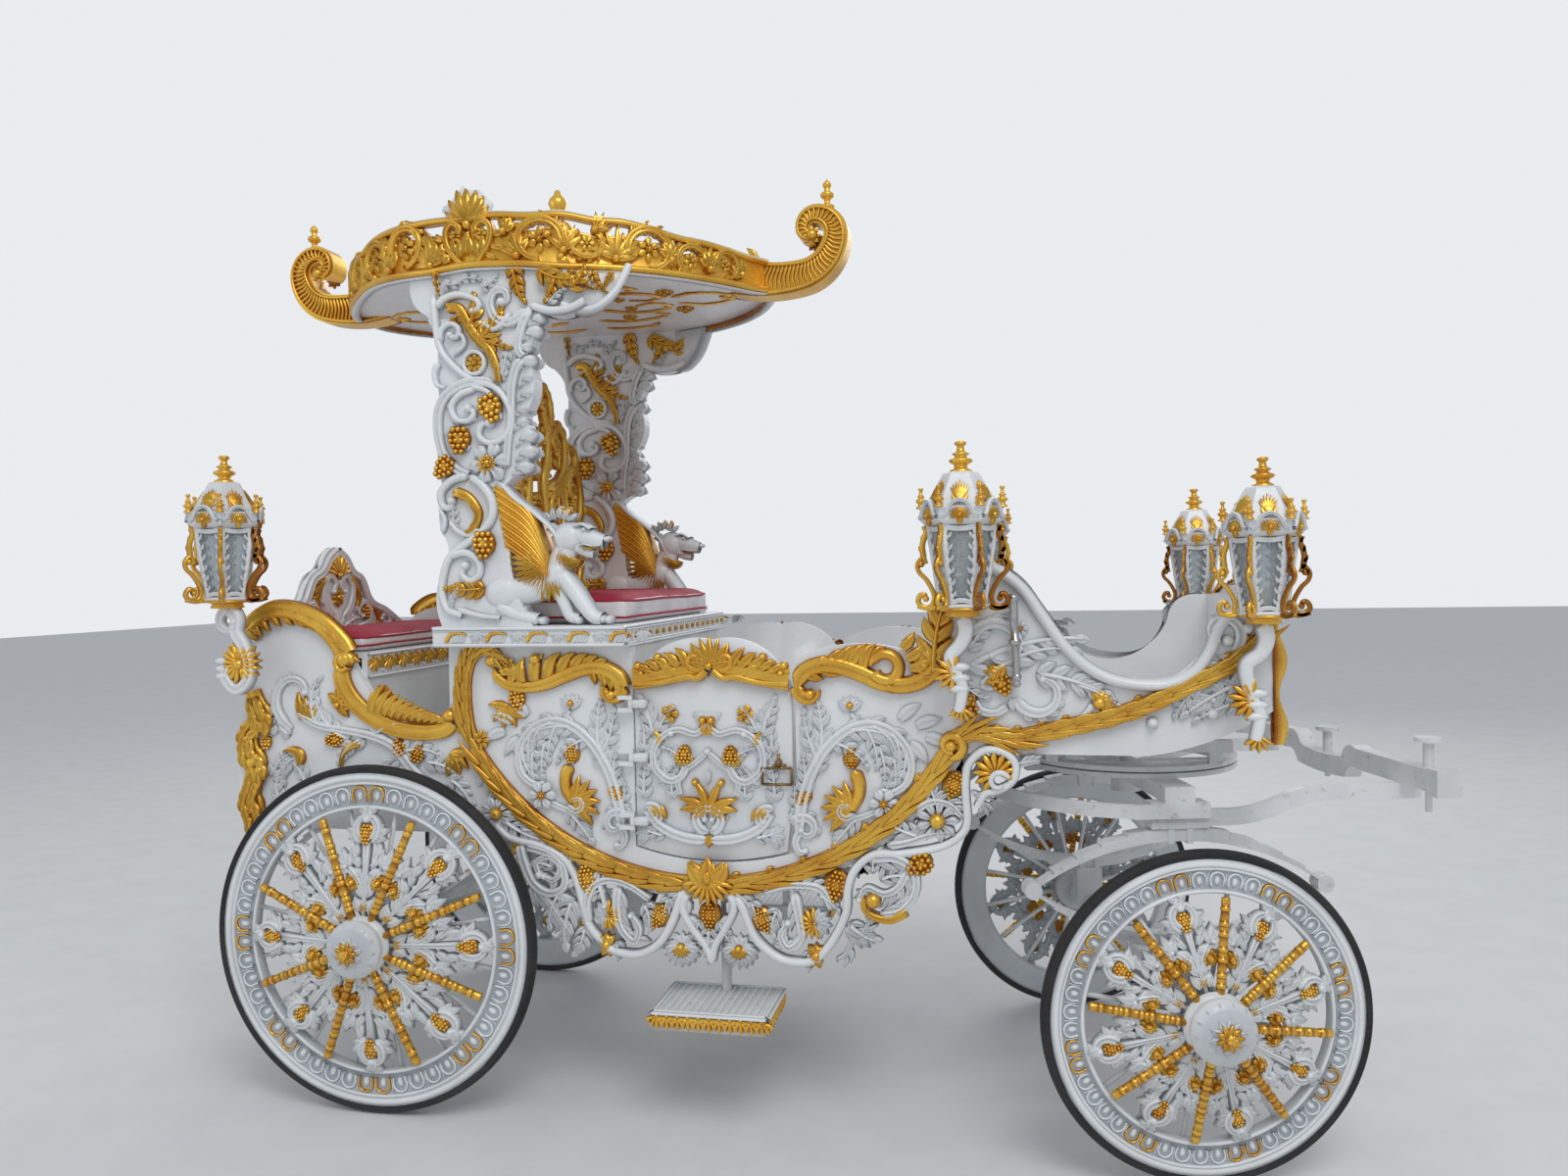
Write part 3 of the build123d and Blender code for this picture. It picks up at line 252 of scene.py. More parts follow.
def shell(carving, centre, heading, radius, spread, ribs, finish, height=10.0, base=0.0):
    for i in range(ribs):
        a = heading + spread * (i / (ribs - 1) - 0.5)
        reach = radius * (1 - 0.12 * abs(i / (ribs - 1) - 0.5))
        wide = radius * math.radians(spread / ribs) * 0.46 / carving.fuller
        lobe(carving, np.array(centre) + unit(a) * radius * 0.1, a, reach, 0, wide, height, finish, base, 0, "stem", True)
    ball(carving, centre, radius * 0.16, finish, base + height * 0.3)


def acanthus(carving, start, heading, length, turn, width, pairs, height, finish, base=0.0, oneSide=0):
    # one carved leaf: a bent midrib with lobes to both sides that lean to its tip
    tighten = 0.6
    radius = length / max(abs(math.radians(turn)), 0.05) / (1 + (tighten - 1) * 0.5)
    path, headings = curlPath(start, heading, radius, turn or 3, tighten, 12)
    n = len(path) - 1
    for i in range(pairs):
        t = (i + 0.2) / (pairs + 0.15)
        k = min(n, int(t * n))
        for side in (1, -1):
            if oneSide and side != oneSide:
                continue
            reach = width * (1.0 - 0.45 * t) * (0.75 + 0.5 * math.sin(math.pi * min(1, t + 0.25)))
            wide = min(reach * 0.25, 0.42 * length / pairs / carving.fuller)
            lobe(carving, path[k], headings[k] + side * (58 - 22 * t), reach, -side * 34, wide, height * (1 - 0.3 * t),
                 finish, base)
    lobe(carving, path[n - 1], headings[n], width * 0.62, turn * 0.25, width * 0.17, height * 0.85, finish, base)
    ridge(carving, path, taper(n + 1, width * 0.12, width * 0.035), taper(n + 1, height * 1.18, height * 0.8), finish,
          "round", base)


def scroll(carving, start, heading, radius, turn, halfWidth, height, finish, lobes, tighten):
    # a C-scroll: a ridge that winds in to an eye, with leaf lobes along its outer edge
    steps = 26
    path, headings = curlPath(start, heading, radius, turn, tighten, steps)
    side = -1 if turn > 0 else 1
    for i in range(lobes):
        t = (i + 0.3) / lobes * 0.62
        k = int(t * steps)
        reach = halfWidth * (2.6 - 1.3 * t)
        root = path[k] + unit(headings[k] + side * 90) * halfWidth * 0.55
        lobe(carving, root, headings[k] + side * 38, reach, -side * 46, reach * 0.27, height * 0.72, finish)
    n = len(path)
    ridge(carving, path, taper(n, halfWidth, halfWidth * 0.42, 0.9), taper(n, height, height * 0.85), finish, "fluted")
    dome(carving, path[-1], halfWidth * 0.8, height * 1.25, finish, 0, 12, 4)


def fan(carving, start, headings, length, bend, halfWidth, height, finish, base=0.0):
    # leaves that spread from one point
    for heading in headings:
        lobe(carving, start, heading, length, bend, halfWidth, height, finish, base)


def mirrored(x, z, heading, way, middle=0):
    # a drawn place and heading, or their mirror image about the middle for way -1
    return (middle + way * x, z), heading if way > 0 else 180 - heading


def leafRows(carving, rows, height, finish, base=0.0, way=1, middle=0):
    # rows of x, z, heading, length, turn, width, pairs
    for x, z, heading, length, turn, width, pairs in rows:
        start, toward = mirrored(x, z, heading, way, middle)
        acanthus(carving, start, toward, length, way * turn, width, pairs, height, finish, base)


def joinCarving(carving, part, change):
    # add a part's shapes with its points moved into the coordinates of the whole
    for finish, store in part.parts.items():
        carving.add(finish, change(np.vstack(store["points"])), np.vstack(store["quads"]), np.concatenate(store["rise"]))


def spin(carving, profile, finish, sides, rise=0.85, x=0.0, y=0.0):
    # rows of (radius, height) turned about an upright axis of the panel; rise, one value or one per row, sets their
    # painted shade
    turns = np.linspace(0, 2 * np.pi, sides, endpoint=False)
    r, h = np.array(profile, float).T
    levels = np.broadcast_to(h[:, None], (len(r), sides))
    points = np.stack([r[:, None] * np.cos(turns) + x, r[:, None] * np.sin(turns) + y, levels], 2)
    rises = np.broadcast_to(np.array(rise, float), (len(profile),))
    carving.add(finish, points, gridQuads(len(profile), sides, True), np.repeat(rises[:, None], sides, 1))


def rodBetween(carving, start, end, radius, finish, sides, shares=((0, 1), (1, 1)), rise=0.8):
    # a turned bar between two points, from rows of (share along, share of radius); rise, one value or one per row, sets
    # its painted shade
    a, b = np.array(start, float), np.array(end, float)
    axis = (b - a) / np.linalg.norm(b - a)
    helper = np.array([0, 0, 1.0]) if abs(axis[2]) < 0.9 else np.array([1.0, 0, 0])
    left = np.cross(axis, helper)
    left /= np.linalg.norm(left)
    up = np.cross(axis, left)
    rows = [(t * np.linalg.norm(b - a), s * radius) for t, s in shares]
    rows = [(rows[0][0], 0.01)] + rows + [(rows[-1][0], 0.01)]
    rises = rise if np.isscalar(rise) else [rise[0]] + list(rise) + [rise[-1]]
    rises = np.broadcast_to(np.array(rises, float), (len(rows),))
    turns = np.linspace(0, 2 * np.pi, sides, endpoint=False)
    along, r = (column[:, None] for column in np.array(rows, float).T)
    p, q = r * np.cos(turns), r * np.sin(turns)
    points = a + np.repeat(along, sides, 1)[..., None] * axis + p[..., None] * left + q[..., None] * up
    carving.add(finish, points, gridQuads(len(rows), sides, True), np.repeat(rises[:, None], sides, 1))


# finishes
def nodesOf(material):
    material.use_nodes = True
    tree = material.node_tree
    shader = tree.nodes["Principled BSDF"]

    def new(kind, **values):
        node = tree.nodes.new(kind)
        for key, value in values.items():
            if key in node.inputs:
                node.inputs[key].default_value = value
            else:
                setattr(node, key, value)
        return node
    return tree, shader, new, tree.links.new


def ramp(new, stops):
    node = new("ShaderNodeValToRGB")
    while len(node.color_ramp.elements) < len(stops):
        node.color_ramp.elements.new(0.5)
    for element, (place, colour) in zip(node.color_ramp.elements, stops):
        element.position = place
        element.color = (*colour, 1) if len(colour) == 3 else (colour[0], colour[0], colour[0], 1)
    return node


def paintFinish(name, look, carved):
    # carved pieces carry how far each point stands out of the panel, from which the finish paints shade into their
    # recesses
    material = bpy.data.materials.new(name)
    tree, shader, new, link = nodesOf(material)
    place = new("ShaderNodeTexCoord")
    broad = new("ShaderNodeTexNoise", Scale=look["broadScale"], Detail=4.0)
    fine = new("ShaderNodeTexNoise", Scale=look["fineScale"], Detail=6.0)
    for noise in (broad, fine):
        link(place.outputs["Object"], noise.inputs["Vector"])
    mottled = ramp(new, [(0.34, look["dull"]), (0.62, look["colour"])])
    link(broad.outputs["Fac"], mottled.inputs["Fac"])
    colour = mottled.outputs["Color"]
    if carved:
        # painted shade: where a point stands out little, the colour darkens towards the recess colour, varied a little
        # by the broad noise
        depth = new("ShaderNodeAttribute", attribute_name="rise")
        shade = new("ShaderNodeMath", operation="MULTIPLY_ADD")
        shade.inputs[1].default_value = 0.30
        link(broad.outputs["Fac"], shade.inputs[0])
        link(depth.outputs["Fac"], shade.inputs[2])
        recessShade = ramp(new, [(look["shadeFrom"], look["recessShade"]), (look["shadeTo"], (1, 1, 1))])
        link(shade.outputs[0], recessShade.inputs["Fac"])
        mixed = new("ShaderNodeMix", data_type="RGBA", blend_type="MULTIPLY")
        mixed.inputs["Factor"].default_value = 1.0
        link(colour, mixed.inputs["A"])
        link(recessShade.outputs["Color"], mixed.inputs["B"])
        colour = mixed.outputs["Result"]
    speck = ramp(new, [(0.60, (1, 1, 1)), (0.78, look["speck"])])
    link(fine.outputs["Fac"], speck.inputs["Fac"])
    marked = new("ShaderNodeMix", data_type="RGBA", blend_type="MULTIPLY")
    marked.inputs["Factor"].default_value = 1.0
    link(colour, marked.inputs["A"])
    link(speck.outputs["Color"], marked.inputs["B"])
    link(marked.outputs["Result"], shader.inputs["Base Color"])
    sheen = ramp(new, [(0.3, (look["roughness"][0],)), (0.7, (look["roughness"][1],))])
    link(fine.outputs["Fac"], sheen.inputs["Fac"])
    link(sheen.outputs["Color"], shader.inputs["Roughness"])
    bump = new("ShaderNodeBump", Strength=look["bump"], Distance=0.0012)
    link(fine.outputs["Fac"], bump.inputs["Height"])
    link(bump.outputs["Normal"], shader.inputs["Normal"])
    shader.inputs["Metallic"].default_value = look["metallic"]
    shader.inputs["Coat Weight"].default_value = look["coat"]
    shader.inputs["Coat Roughness"].default_value = 0.18
    return material


# the recess colour and its range from and to set the painted shade in carved recesses
enamelLook = {
    "colour": (0.84, 0.865, 0.875), "dull": (0.77, 0.79, 0.80), "broadScale": 5.0, "fineScale": 70.0,
    "recessShade": (0.34, 0.38, 0.42), "shadeFrom": 0.16, "shadeTo": 1.0, "speck": (0.93, 0.92, 0.90),
    "roughness": (0.26, 0.42), "bump": 0.10, "metallic": 0.0, "coat": 0.25,
}
goldLook = {
    "colour": (0.92, 0.56, 0.08), "dull": (0.80, 0.41, 0.045), "broadScale": 9.0, "fineScale": 110.0,
    "recessShade": (0.36, 0.15, 0.03), "shadeFrom": 0.30, "shadeTo": 1.0, "speck": (0.93, 0.88, 0.78),
    "roughness": (0.24, 0.38), "bump": 0.10, "metallic": 0.70, "coat": 0.2,
}
whiteCarved = paintFinish("glossWhiteCarved", enamelLook, True)
whitePlain = paintFinish("glossWhite", enamelLook, False)
goldCarved = paintFinish("goldPaintCarved", goldLook, True)
goldPlain = paintFinish("goldPaint", goldLook, False)
finishes = {"white": whiteCarved, "gold": goldCarved}


def newFinish(name, **look):
    base = dict(enamelLook)
    base.update(look)
    return paintFinish(name, base, False)


rubberFinish = newFinish("tyreRubber", colour=(0.016, 0.016, 0.018), dull=(0.03, 0.029, 0.028), speck=(0.6, 0.58, 0.55),
                         roughness=(0.6, 0.85), bump=0.4, coat=0.0, fineScale=160.0)
chromeFinish = newFinish("brightChrome", colour=(0.60, 0.61, 0.62), dull=(0.45, 0.46, 0.47), roughness=(0.12, 0.28),
                         metallic=1.0, bump=0.05, coat=0.0)
brassFinish = newFinish("agedBrass", colour=(0.42, 0.27, 0.11), dull=(0.26, 0.16, 0.07), roughness=(0.3, 0.5), metallic=0.9,
                        bump=0.2, coat=0.0)
ironFinish = newFinish("paintedIron", colour=(0.80, 0.82, 0.83), dull=(0.64, 0.65, 0.65), speck=(0.66, 0.58, 0.50),
                       roughness=(0.34, 0.6), bump=0.3, fineScale=46.0)
glassFinish = newFinish("lanternGlass", colour=(0.80, 0.85, 0.87), dull=(0.72, 0.77, 0.79), roughness=(0.14, 0.3), bump=0.05)
paneShader = glassFinish.node_tree.nodes["Principled BSDF"]
paneShader.inputs["Transmission Weight"].default_value = 0.75
paneShader.inputs["IOR"].default_value = 1.08
boardFinish = newFinish("paintedBoard", colour=(0.74, 0.75, 0.74), dull=(0.62, 0.62, 0.60), roughness=(0.4, 0.6), bump=0.3,
                        fineScale=24.0)
finishes.update(rubber=rubberFinish, chrome=chromeFinish, brass=brassFinish, iron=ironFinish)


# from carving to pieces
def makePiece(name, store, material, place, flip, body, replaced=()):
    points = place(np.vstack(store["points"]) * mm)
    quads = np.vstack(store["quads"])
    if flip:
        quads = quads[:, ::-1]
    mesh = bpy.data.meshes.new(name)
    mesh.vertices.add(len(points))
    mesh.vertices.foreach_set("co", points.ravel())
    mesh.loops.add(quads.size)
    mesh.loops.foreach_set("vertex_index", quads.ravel())
    mesh.polygons.add(len(quads))
    mesh.polygons.foreach_set("loop_start", np.arange(0, quads.size, 4))
    mesh.polygons.foreach_set("loop_total", np.full(len(quads), 4))
    mesh.polygons.foreach_set("use_smooth", np.ones(len(quads), bool))
    mesh.update(calc_edges=True)
    # rise goes with the mesh so that the carved finishes can paint shade from it
    layer = mesh.attributes.new("rise", "FLOAT", "POINT")
    layer.data.foreach_set("value", np.concatenate(store["rise"]))
    mesh.validate()
    mesh.materials.append(material)
    piece = bpy.data.objects.new(name, mesh)
    bpy.context.scene.collection.objects.link(piece)
    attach(piece, body)
    if replaced:
        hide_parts(*replaced)


triangleCount = {}


def carve(name, carving, place, body, flip=False, replaced=()):
    # one piece for each finish; making the first of them hides the replaced nodes
    for finish, store in carving.parts.items():
        title = name + finish[0].upper() + finish[1:]
        makePiece(title, store, finishes[finish], place, flip, body, replaced)
        triangleCount[title] = 2 * sum(len(q) for q in store["quads"])
        replaced = ()


def onWall(base, side):
    # right wall for side -1, left wall for side 1; u runs forward from the rear axle and v is height
    def place(p):
        return np.stack([rearAxleX + p[:, 0], side * (base + p[:, 2]), p[:, 1]], 1)
    return place


def carveSides(name, carving, base, body="body", replaced=()):
    for word, side in bothSides:
        rides = body if isinstance(body, str) else body[word]
        gone = [node + "_" + word.lower() for node in replaced]
        carve(name + word, carving, onWall(base, side), rides, side == 1, gone)


# wheels
wheelSizes = {
    "tyreDepth": 22, "tyreWidth": 44, "bandShare": 0.205, "hubOut": 146, "hubIn": 62,
    "dish": 46, "eggs": 48, "bars": 8, "barRadius": 12.5, "spokes": 16,
}


def wheelCarving(radius, phase):
    c = Carving(10)
    k = radius / 530
    sizes = wheelSizes
    tyreIn = radius - sizes["tyreDepth"]
    bandIn = radius * (1 - sizes["bandShare"]) - sizes["tyreDepth"]
    bandOut = bandIn + (tyreIn - bandIn) * 0.66
    face = [(bandIn, -18), (bandIn - 1, 14), (bandIn + 3, 19), (bandIn + 8, 18), (bandIn + 11, 12), (bandOut - 4, 12),
            (bandOut, 13), (bandOut + 2, 19), (bandOut + 7, 20), (bandOut + 9, 17), (tyreIn - 22, 16), (tyreIn - 20, 21),
            (tyreIn - 12, 22), (tyreIn - 8, 19), (tyreIn - 1, 17), (tyreIn - 1, -18), (tyreIn - 12, -20),
            (bandIn + 10, -20), (bandIn, -18)]
    # the rise of each row paints shade into the grooves and under the lips of the band
    spin(c, face, "white", 96, [0.3, 0.5, 0.9, 0.9, 0.22, 0.32, 0.25, 0.8, 0.9, 0.45, 0.7, 0.9, 0.95, 0.7, 0.4, 0.4, 0.6,
                                0.6, 0.3])
    # egg and dart: arches that open to the hub, two gold after every four white
    band = Carving(0)
    mid = (bandIn + 11 + bandOut) / 2
    reach = (bandOut - bandIn - 15) / 2
    each = 360 / sizes["eggs"]
    for i in range(sizes["eggs"]):
        at = phase + each * (i + 0.5)
        finish = "gold" if i % 6 in (2, 3) else "white"
        out, side = unit(at), unit(at + 90)
        wide = mid * math.radians(each) * 0.40
        turns = np.radians(np.linspace(-90, 90, 8))
        arch = [out * (mid + reach * 0.9 - wide + wide * math.cos(a)) + side * wide * math.sin(a) for a in turns]
        legs = [out * (mid - reach * 0.72) + side * s * wide * 0.82 for s in (-1, 1)]
        path = np.array([legs[0]] + arch + [legs[1]])
        ridge(band, path, taper(len(path), 3.4 * k, 3.4 * k, 1, 0.02), 7.5, finish)
        dome(band, out * (mid - reach * 0.12), wide * 0.46, 6.5, "white", 0, 8, 2, 1.55, at + 90)
        ridge(band, [out * (mid - reach * 0.6) + side * wide * 1.24,
                     out * (mid + reach * 0.75) + side * wide * 1.24 * 1.08], 1.6, 5, "white")
    joinCarving(c, band, lambda p: p + (0, 0, 12))
    return c, bandIn


def sprayOf(c, at, bandIn, k):
    # one spray from the hub to the band: leaves, two cups, a grape cluster under a horned hood
    out, side = unit(at), unit(at + 90)

    def spot(r, s):
        return out * r + side * s
    hub = 78
    for s in (1, -1):
        lobe(c, spot(hub + 34, 0), at + s * 62, 34 * k, -s * 20, 8 * k, 9, "white", 0)
        lobe(c, spot(hub + 62 * k, s * 3), at + s * 52, 46 * k, -s * 26, 10 * k, 10, "white", 0)
        lobe(c, spot(hub + 96 * k, s * 3), at + s * 34, 62 * k, -s * 18, 10 * k, 10, "white", 0)
        path, heads = curlPath(spot(hub + 60 * k, s * 4), at + s * 12, 150 * k, s * 48, 0.8, 8)
        ridge(c, path, taper(9, 5 * k, 11 * k), taper(9, 8, 15), "white", "fluted")
        end, head = path[-1], heads[-1]
        for turn, length in ((-58, 44), (-26, 60), (8, 58), (42, 44), (70, 30)):
            lobe(c, end - unit(head) * 8, head + s * turn, length * k, -s * 24, 13 * k, 15, "white", 4)
        dome(c, end, 12 * k, 16, "white", 4, 8, 2)
        for r, across, turn, length in ((hub + 150 * k, 20, 44, 60), (hub + 176 * k, 34, 12, 56),
                (hub + 128 * k, 14, 80, 48), (hub + 20, 14, 34, 44)):
            lobe(c, spot(r, s * across * k), at + s * turn, length * k, -s * 22, 11 * k, 13, "white", 0)
        # scalloped gold cups beside the stem
        cup = spot(hub + 104 * k, s * 44 * k)
        for i in range(8):
            a = at + 45 * i
            lobe(c, cup + unit(a) * 6 * k, a, 22 * k, 0, 6.8 * k, 15, "gold", 0, 3, "leaf", True)
        dome(c, cup, 13 * k, 22, "gold", 0, 9, 2)
        ring, _ = curlPath(cup + unit(at) * 10 * k, at + 90, 10 * k, 300, 0.5, 9)
        ridge(c, ring, 2.4 * k, 5, "gold", "stem", 17)
    ridge(c, [spot(hub - 2, 0), spot(hub + 60 * k, 0), spot(hub + 150 * k, 0), spot(bandIn - 96 * k, 0)],
          np.array([5, 6, 8, 12]) * k, np.array([9, 12, 14, 16]), "white", "fluted")
    rosette(c, spot(hub + 30, 0), 15 * k, 6, "gold", "gold", 6)
    head = bandIn - 74 * k
    grapes(c, spot(head, 0), 62 * k, "gold", at + 180, (2, 3, 4, 4, 3, 2), 8)
    for s in (1, -1):
        horn, _ = curlPath(spot(bandIn - 96 * k, s * 10 * k), at + s * 64, 46 * k, -s * 178, 0.62, 11)
        ridge(c, horn, taper(12, 15 * k, 7 * k), taper(12, 20, 15), "white", "fluted", 2)
        dome(c, horn[-1], 9 * k, 18, "white", 4, 8, 2)
        for turn, length in ((84, 42), (52, 58), (24, 50), (112, 26)):
            lobe(c, spot(bandIn - 88 * k, s * 20 * k), at + s * turn, length * k, s * 22, 12 * k, 15, "white", 2)
        lobe(c, spot(bandIn - 14 * k, s * 8 * k), at + s * 30, 30 * k, s * 60, 9 * k, 14, "white", 4)
    lobe(c, spot(bandIn - 40 * k, 0), at, 46 * k, 0, 17 * k, 20, "white", 4)
    dome(c, spot(bandIn - 30 * k, 0), 15 * k, 20, "white", 4, 12, 3)


def dressWheel(title, node, radius, phase, side, steered, body):
    sizes = wheelSizes
    k = radius / 530
    c, bandIn = wheelCarving(radius, phase)
    sprays = Carving(9, 1.15, 1.4)
    for i in range(sizes["bars"]):
        sprayOf(sprays, phase + 360 * (i + 0.5) / sizes["bars"], bandIn, k)
    slope = sizes["dish"] / (bandIn - 68)

    def dished(p):
        p[:, 2] += 8 + np.clip(bandIn - np.hypot(p[:, 0], p[:, 1]), 0, None) * slope
        return p
    joinCarving(c, sprays, dished)
    # banded gold bars, square cut at their outer ends
    bar = [(0, 0.9), (0.02, 1.0)]
    # rise of each row of the bars: painted shade in the grooves between the bands, little on the bands
    barGrooveShade = [0.4, 0.9]
    for i in range(1, 8):
        t = i / 8 + (0.012 if i % 2 else -0.012)
        bar += [(t - 0.022, 0.96), (t - 0.016, 1.16), (t + 0.016, 1.16), (t + 0.022, 0.96), (t + 0.06, 1.05)]
        barGrooveShade += [0.3, 0.95, 0.95, 0.3, 0.8]
    bar += [(0.985, 1.02), (1.0, 0.95)]
    barGrooveShade += [0.8, 0.5]
    inner, outer = 66, bandIn - 6
    for i in range(sizes["bars"]):
        out = unit(phase + 360 * i / sizes["bars"])
        start = (*(out * inner), 8 + (bandIn - inner) * slope + 12)
        end = (*(out * outer), 26)
        rodBetween(c, start, end, sizes["barRadius"] * (0.6 + 0.4 * k), "gold", 8, bar, barGrooveShade)
    for i in range(sizes["spokes"]):
        out = unit(360 * (i + 0.5) / sizes["spokes"])
        rodBetween(c, (*(out * 60), -10), (*(out * (bandIn + 6)), -10), 7, "white", 7)
    # hub: a turned barrel, a scalloped cap and a gold flower
    top = sizes["tyreWidth"] / 2 + sizes["hubOut"]
    base = -sizes["tyreWidth"] / 2 - sizes["hubIn"]
    # the rise of each row paints shade into the hub's hollows and under its collars
    spin(c, [(22, base), (64, base), (72, base + 12), (72, -24), (64, -16), (64, 40), (84, 54), (88, 66), (80, 78),
             (70, 84), (70, top - 82), (80, top - 74), (86, top - 60), (82, top - 44), (66, top - 30), (0.5, top - 26)],
         "white", 48, [0.3, 0.6, 0.8, 0.7, 0.3, 0.4, 0.6, 0.9, 0.8, 0.35, 0.5, 0.8, 0.95, 0.7, 0.5, 0.5])
    cap = Carving(0)
    for count, first, start, length, wide, high, finish, under in (
            (14, 0, 34, 46, 11.5, 12, "white", 42), (10, 12, 14, 34, 10, 13, "white", 30), (9, 0, 8, 28, 8.5, 12, "gold", 20)):
        for i in range(count):
            a = 360 * i / count + first
            lobe(cap, unit(a) * start, a, length, 0, wide, high, finish, top - under, 5)
    dome(cap, (0, 0), 17, 18, "gold", top - 18, 14, 4)
    for i in range(5):
        dome(cap, unit(72 * i) * 9, 6, 7, "gold", top - 7, 8, 3)
    joinCarving(c, cap, lambda p: p)

    turn = steerAtRest if steered else 0.0
    centreX = kingpinX if steered else rearAxleX

    def place(p):
        x = p[:, 0]
        y = side * (wheelMiddleY + p[:, 2])
        z = radius * mm + p[:, 1]
        return np.stack([centreX + x * math.cos(turn) - y * math.sin(turn), x * math.sin(turn) + y * math.cos(turn), z], 1)
    carve(title, c, place, body, side == 1, [node])


for end, radius, phase, steered in (("rear", 530, 22.5, False), ("front", 440, -8, True)):
    for word, side in (("right", -1), ("left", 1)):
        dressWheel("wheel" + end.title() + word.title(), "wheel_%s_%s" % (end, word), radius, phase, side, steered,
                   "%s_%s_wheel" % (end, word))
print("wheels carved", sum(triangleCount.values()))


# gold mouldings of the side walls
mouldLook = {"halfWidth": 27, "height": 27, "leafEvery": 54, "leafLength": 100, "leafWidth": 6.5}


def leafyBand(c, path, halfWidth, height, finish, way=1, spacing=None, section="reeded"):
    # a swelling band with overlapping leaves that all lie one way
    n = len(path)
    ridge(c, path, np.broadcast_to(halfWidth, (n,)) / c.stroke, height * 0.74, finish, section)
    steps = np.linalg.norm(np.diff(path, axis=0), axis=1)
    at = np.concatenate([[0], np.cumsum(steps)])
    spacing = spacing or mouldLook["leafEvery"]
    width = halfWidth if np.ndim(halfWidth) else np.full(n, halfWidth)
    for j, s in enumerate(np.arange(spacing * 0.5, at[-1] - spacing * 0.8, spacing)):
        k = int(np.searchsorted(at, s))
        k = min(max(k, 1), n - 2)
        along = path[k + 1] - path[k - 1] if way > 0 else path[k - 1] - path[k + 1]
        heading = math.degrees(math.atan2(along[1], along[0]))
        w = width[k]
        for side in (1, -1):
            spot = path[k] + unit(heading + 90) * side * w * (0.25 + 0.14 * (j % 2))
            lobe(c, spot, heading + side * 15, mouldLook["leafLength"] * w / 27, side * -18, mouldLook["leafWidth"] * w / 27,
                 height * 0.42, finish, height * 0.62)
        if j % 2:
            lobe(c, path[k] + unit(heading + 90) * w * 0.9, heading + 34, w * 1.0, -30, w * 0.22, height * 0.7, finish, 0)


bayMiddle, bayRadius = np.array([1005.0, 1560.0]), 860.0
gildings = Carving(0, 1.25, 1.35, 1.2)
for first, last in ((269.0, 212.6), (271.0, 328.0)):
    turns = np.linspace(first, last, 64)
    path = bayMiddle + bayRadius * np.stack([np.cos(np.radians(turns)), np.sin(np.radians(turns))], 1)
    leafyBand(gildings, path, mouldLook["halfWidth"], mouldLook["height"], "gold")

# the scroll where the sweep turns up at the back, with its leaf, ball and grapes
climb = smoothPath([(284, 1098), (262, 1160), (253, 1240), (256, 1310), (272, 1365), (305, 1397), (342, 1400), (366, 1378),
                    (362, 1350)])
leafyBand(gildings, climb, taper(len(climb), 26, 17), 27, "gold", 1, 30)
ball(gildings, (350, 1366), 21, "gold", 6)
rosette(gildings, (306, 1122), 30, 8, "gold", "gold", 8)
swirl = smoothPath([(352, 1345), (372, 1312), (410, 1290), (470, 1286), (530, 1298), (590, 1322), (650, 1342), (712, 1344),
                    (758, 1318), (772, 1286)])
ridge(gildings, swirl, taper(len(swirl), 12, 22), taper(len(swirl), 20, 27), "gold", "fluted")
hook, _ = curlPath((772, 1290), -92, 40, -210, 0.45, 14)
ridge(gildings, hook, taper(15, 20, 11), 25, "gold", "fluted")
ball(gildings, (734, 1262), 19, "gold", 8)
for x, z, heading, length, bend, wide in (
        (450, 1300, 118, 90, -70, 15), (490, 1306, 104, 100, -70, 16), (530, 1312, 92, 104, -66, 16),
        (572, 1326, 82, 92, -62, 15), (612, 1338, 72, 78, -58, 14), (648, 1348, 60, 62, -50, 12),
        (684, 1352, 46, 46, -44, 10), (410, 1300, 60, 70, 60, 13), (380, 1330, 20, 60, -60, 11),
        (396, 1340, -30, 50, 70, 10), (430, 1300, -40, 40, 50, 9), (700, 1338, -60, 60, -30, 12),
        (730, 1330, -70, 54, -30, 11), (668, 1340, -50, 50, -40, 10)):
    lobe(gildings, (x, z), heading, length, bend, wide, 24, "gold", 4)
ball(gildings, (494, 1372), 19, "gold", 10)
rosette(gildings, (400, 1352), 26, 7, "gold", "gold", 8)
grapes(gildings, (430, 1244), 62, "gold", -80, (3, 4, 4, 3, 2))
fan(gildings, (396, 1222), (-150, -115, -75, -40, 160), 64, 24, 12, 15, "gold")

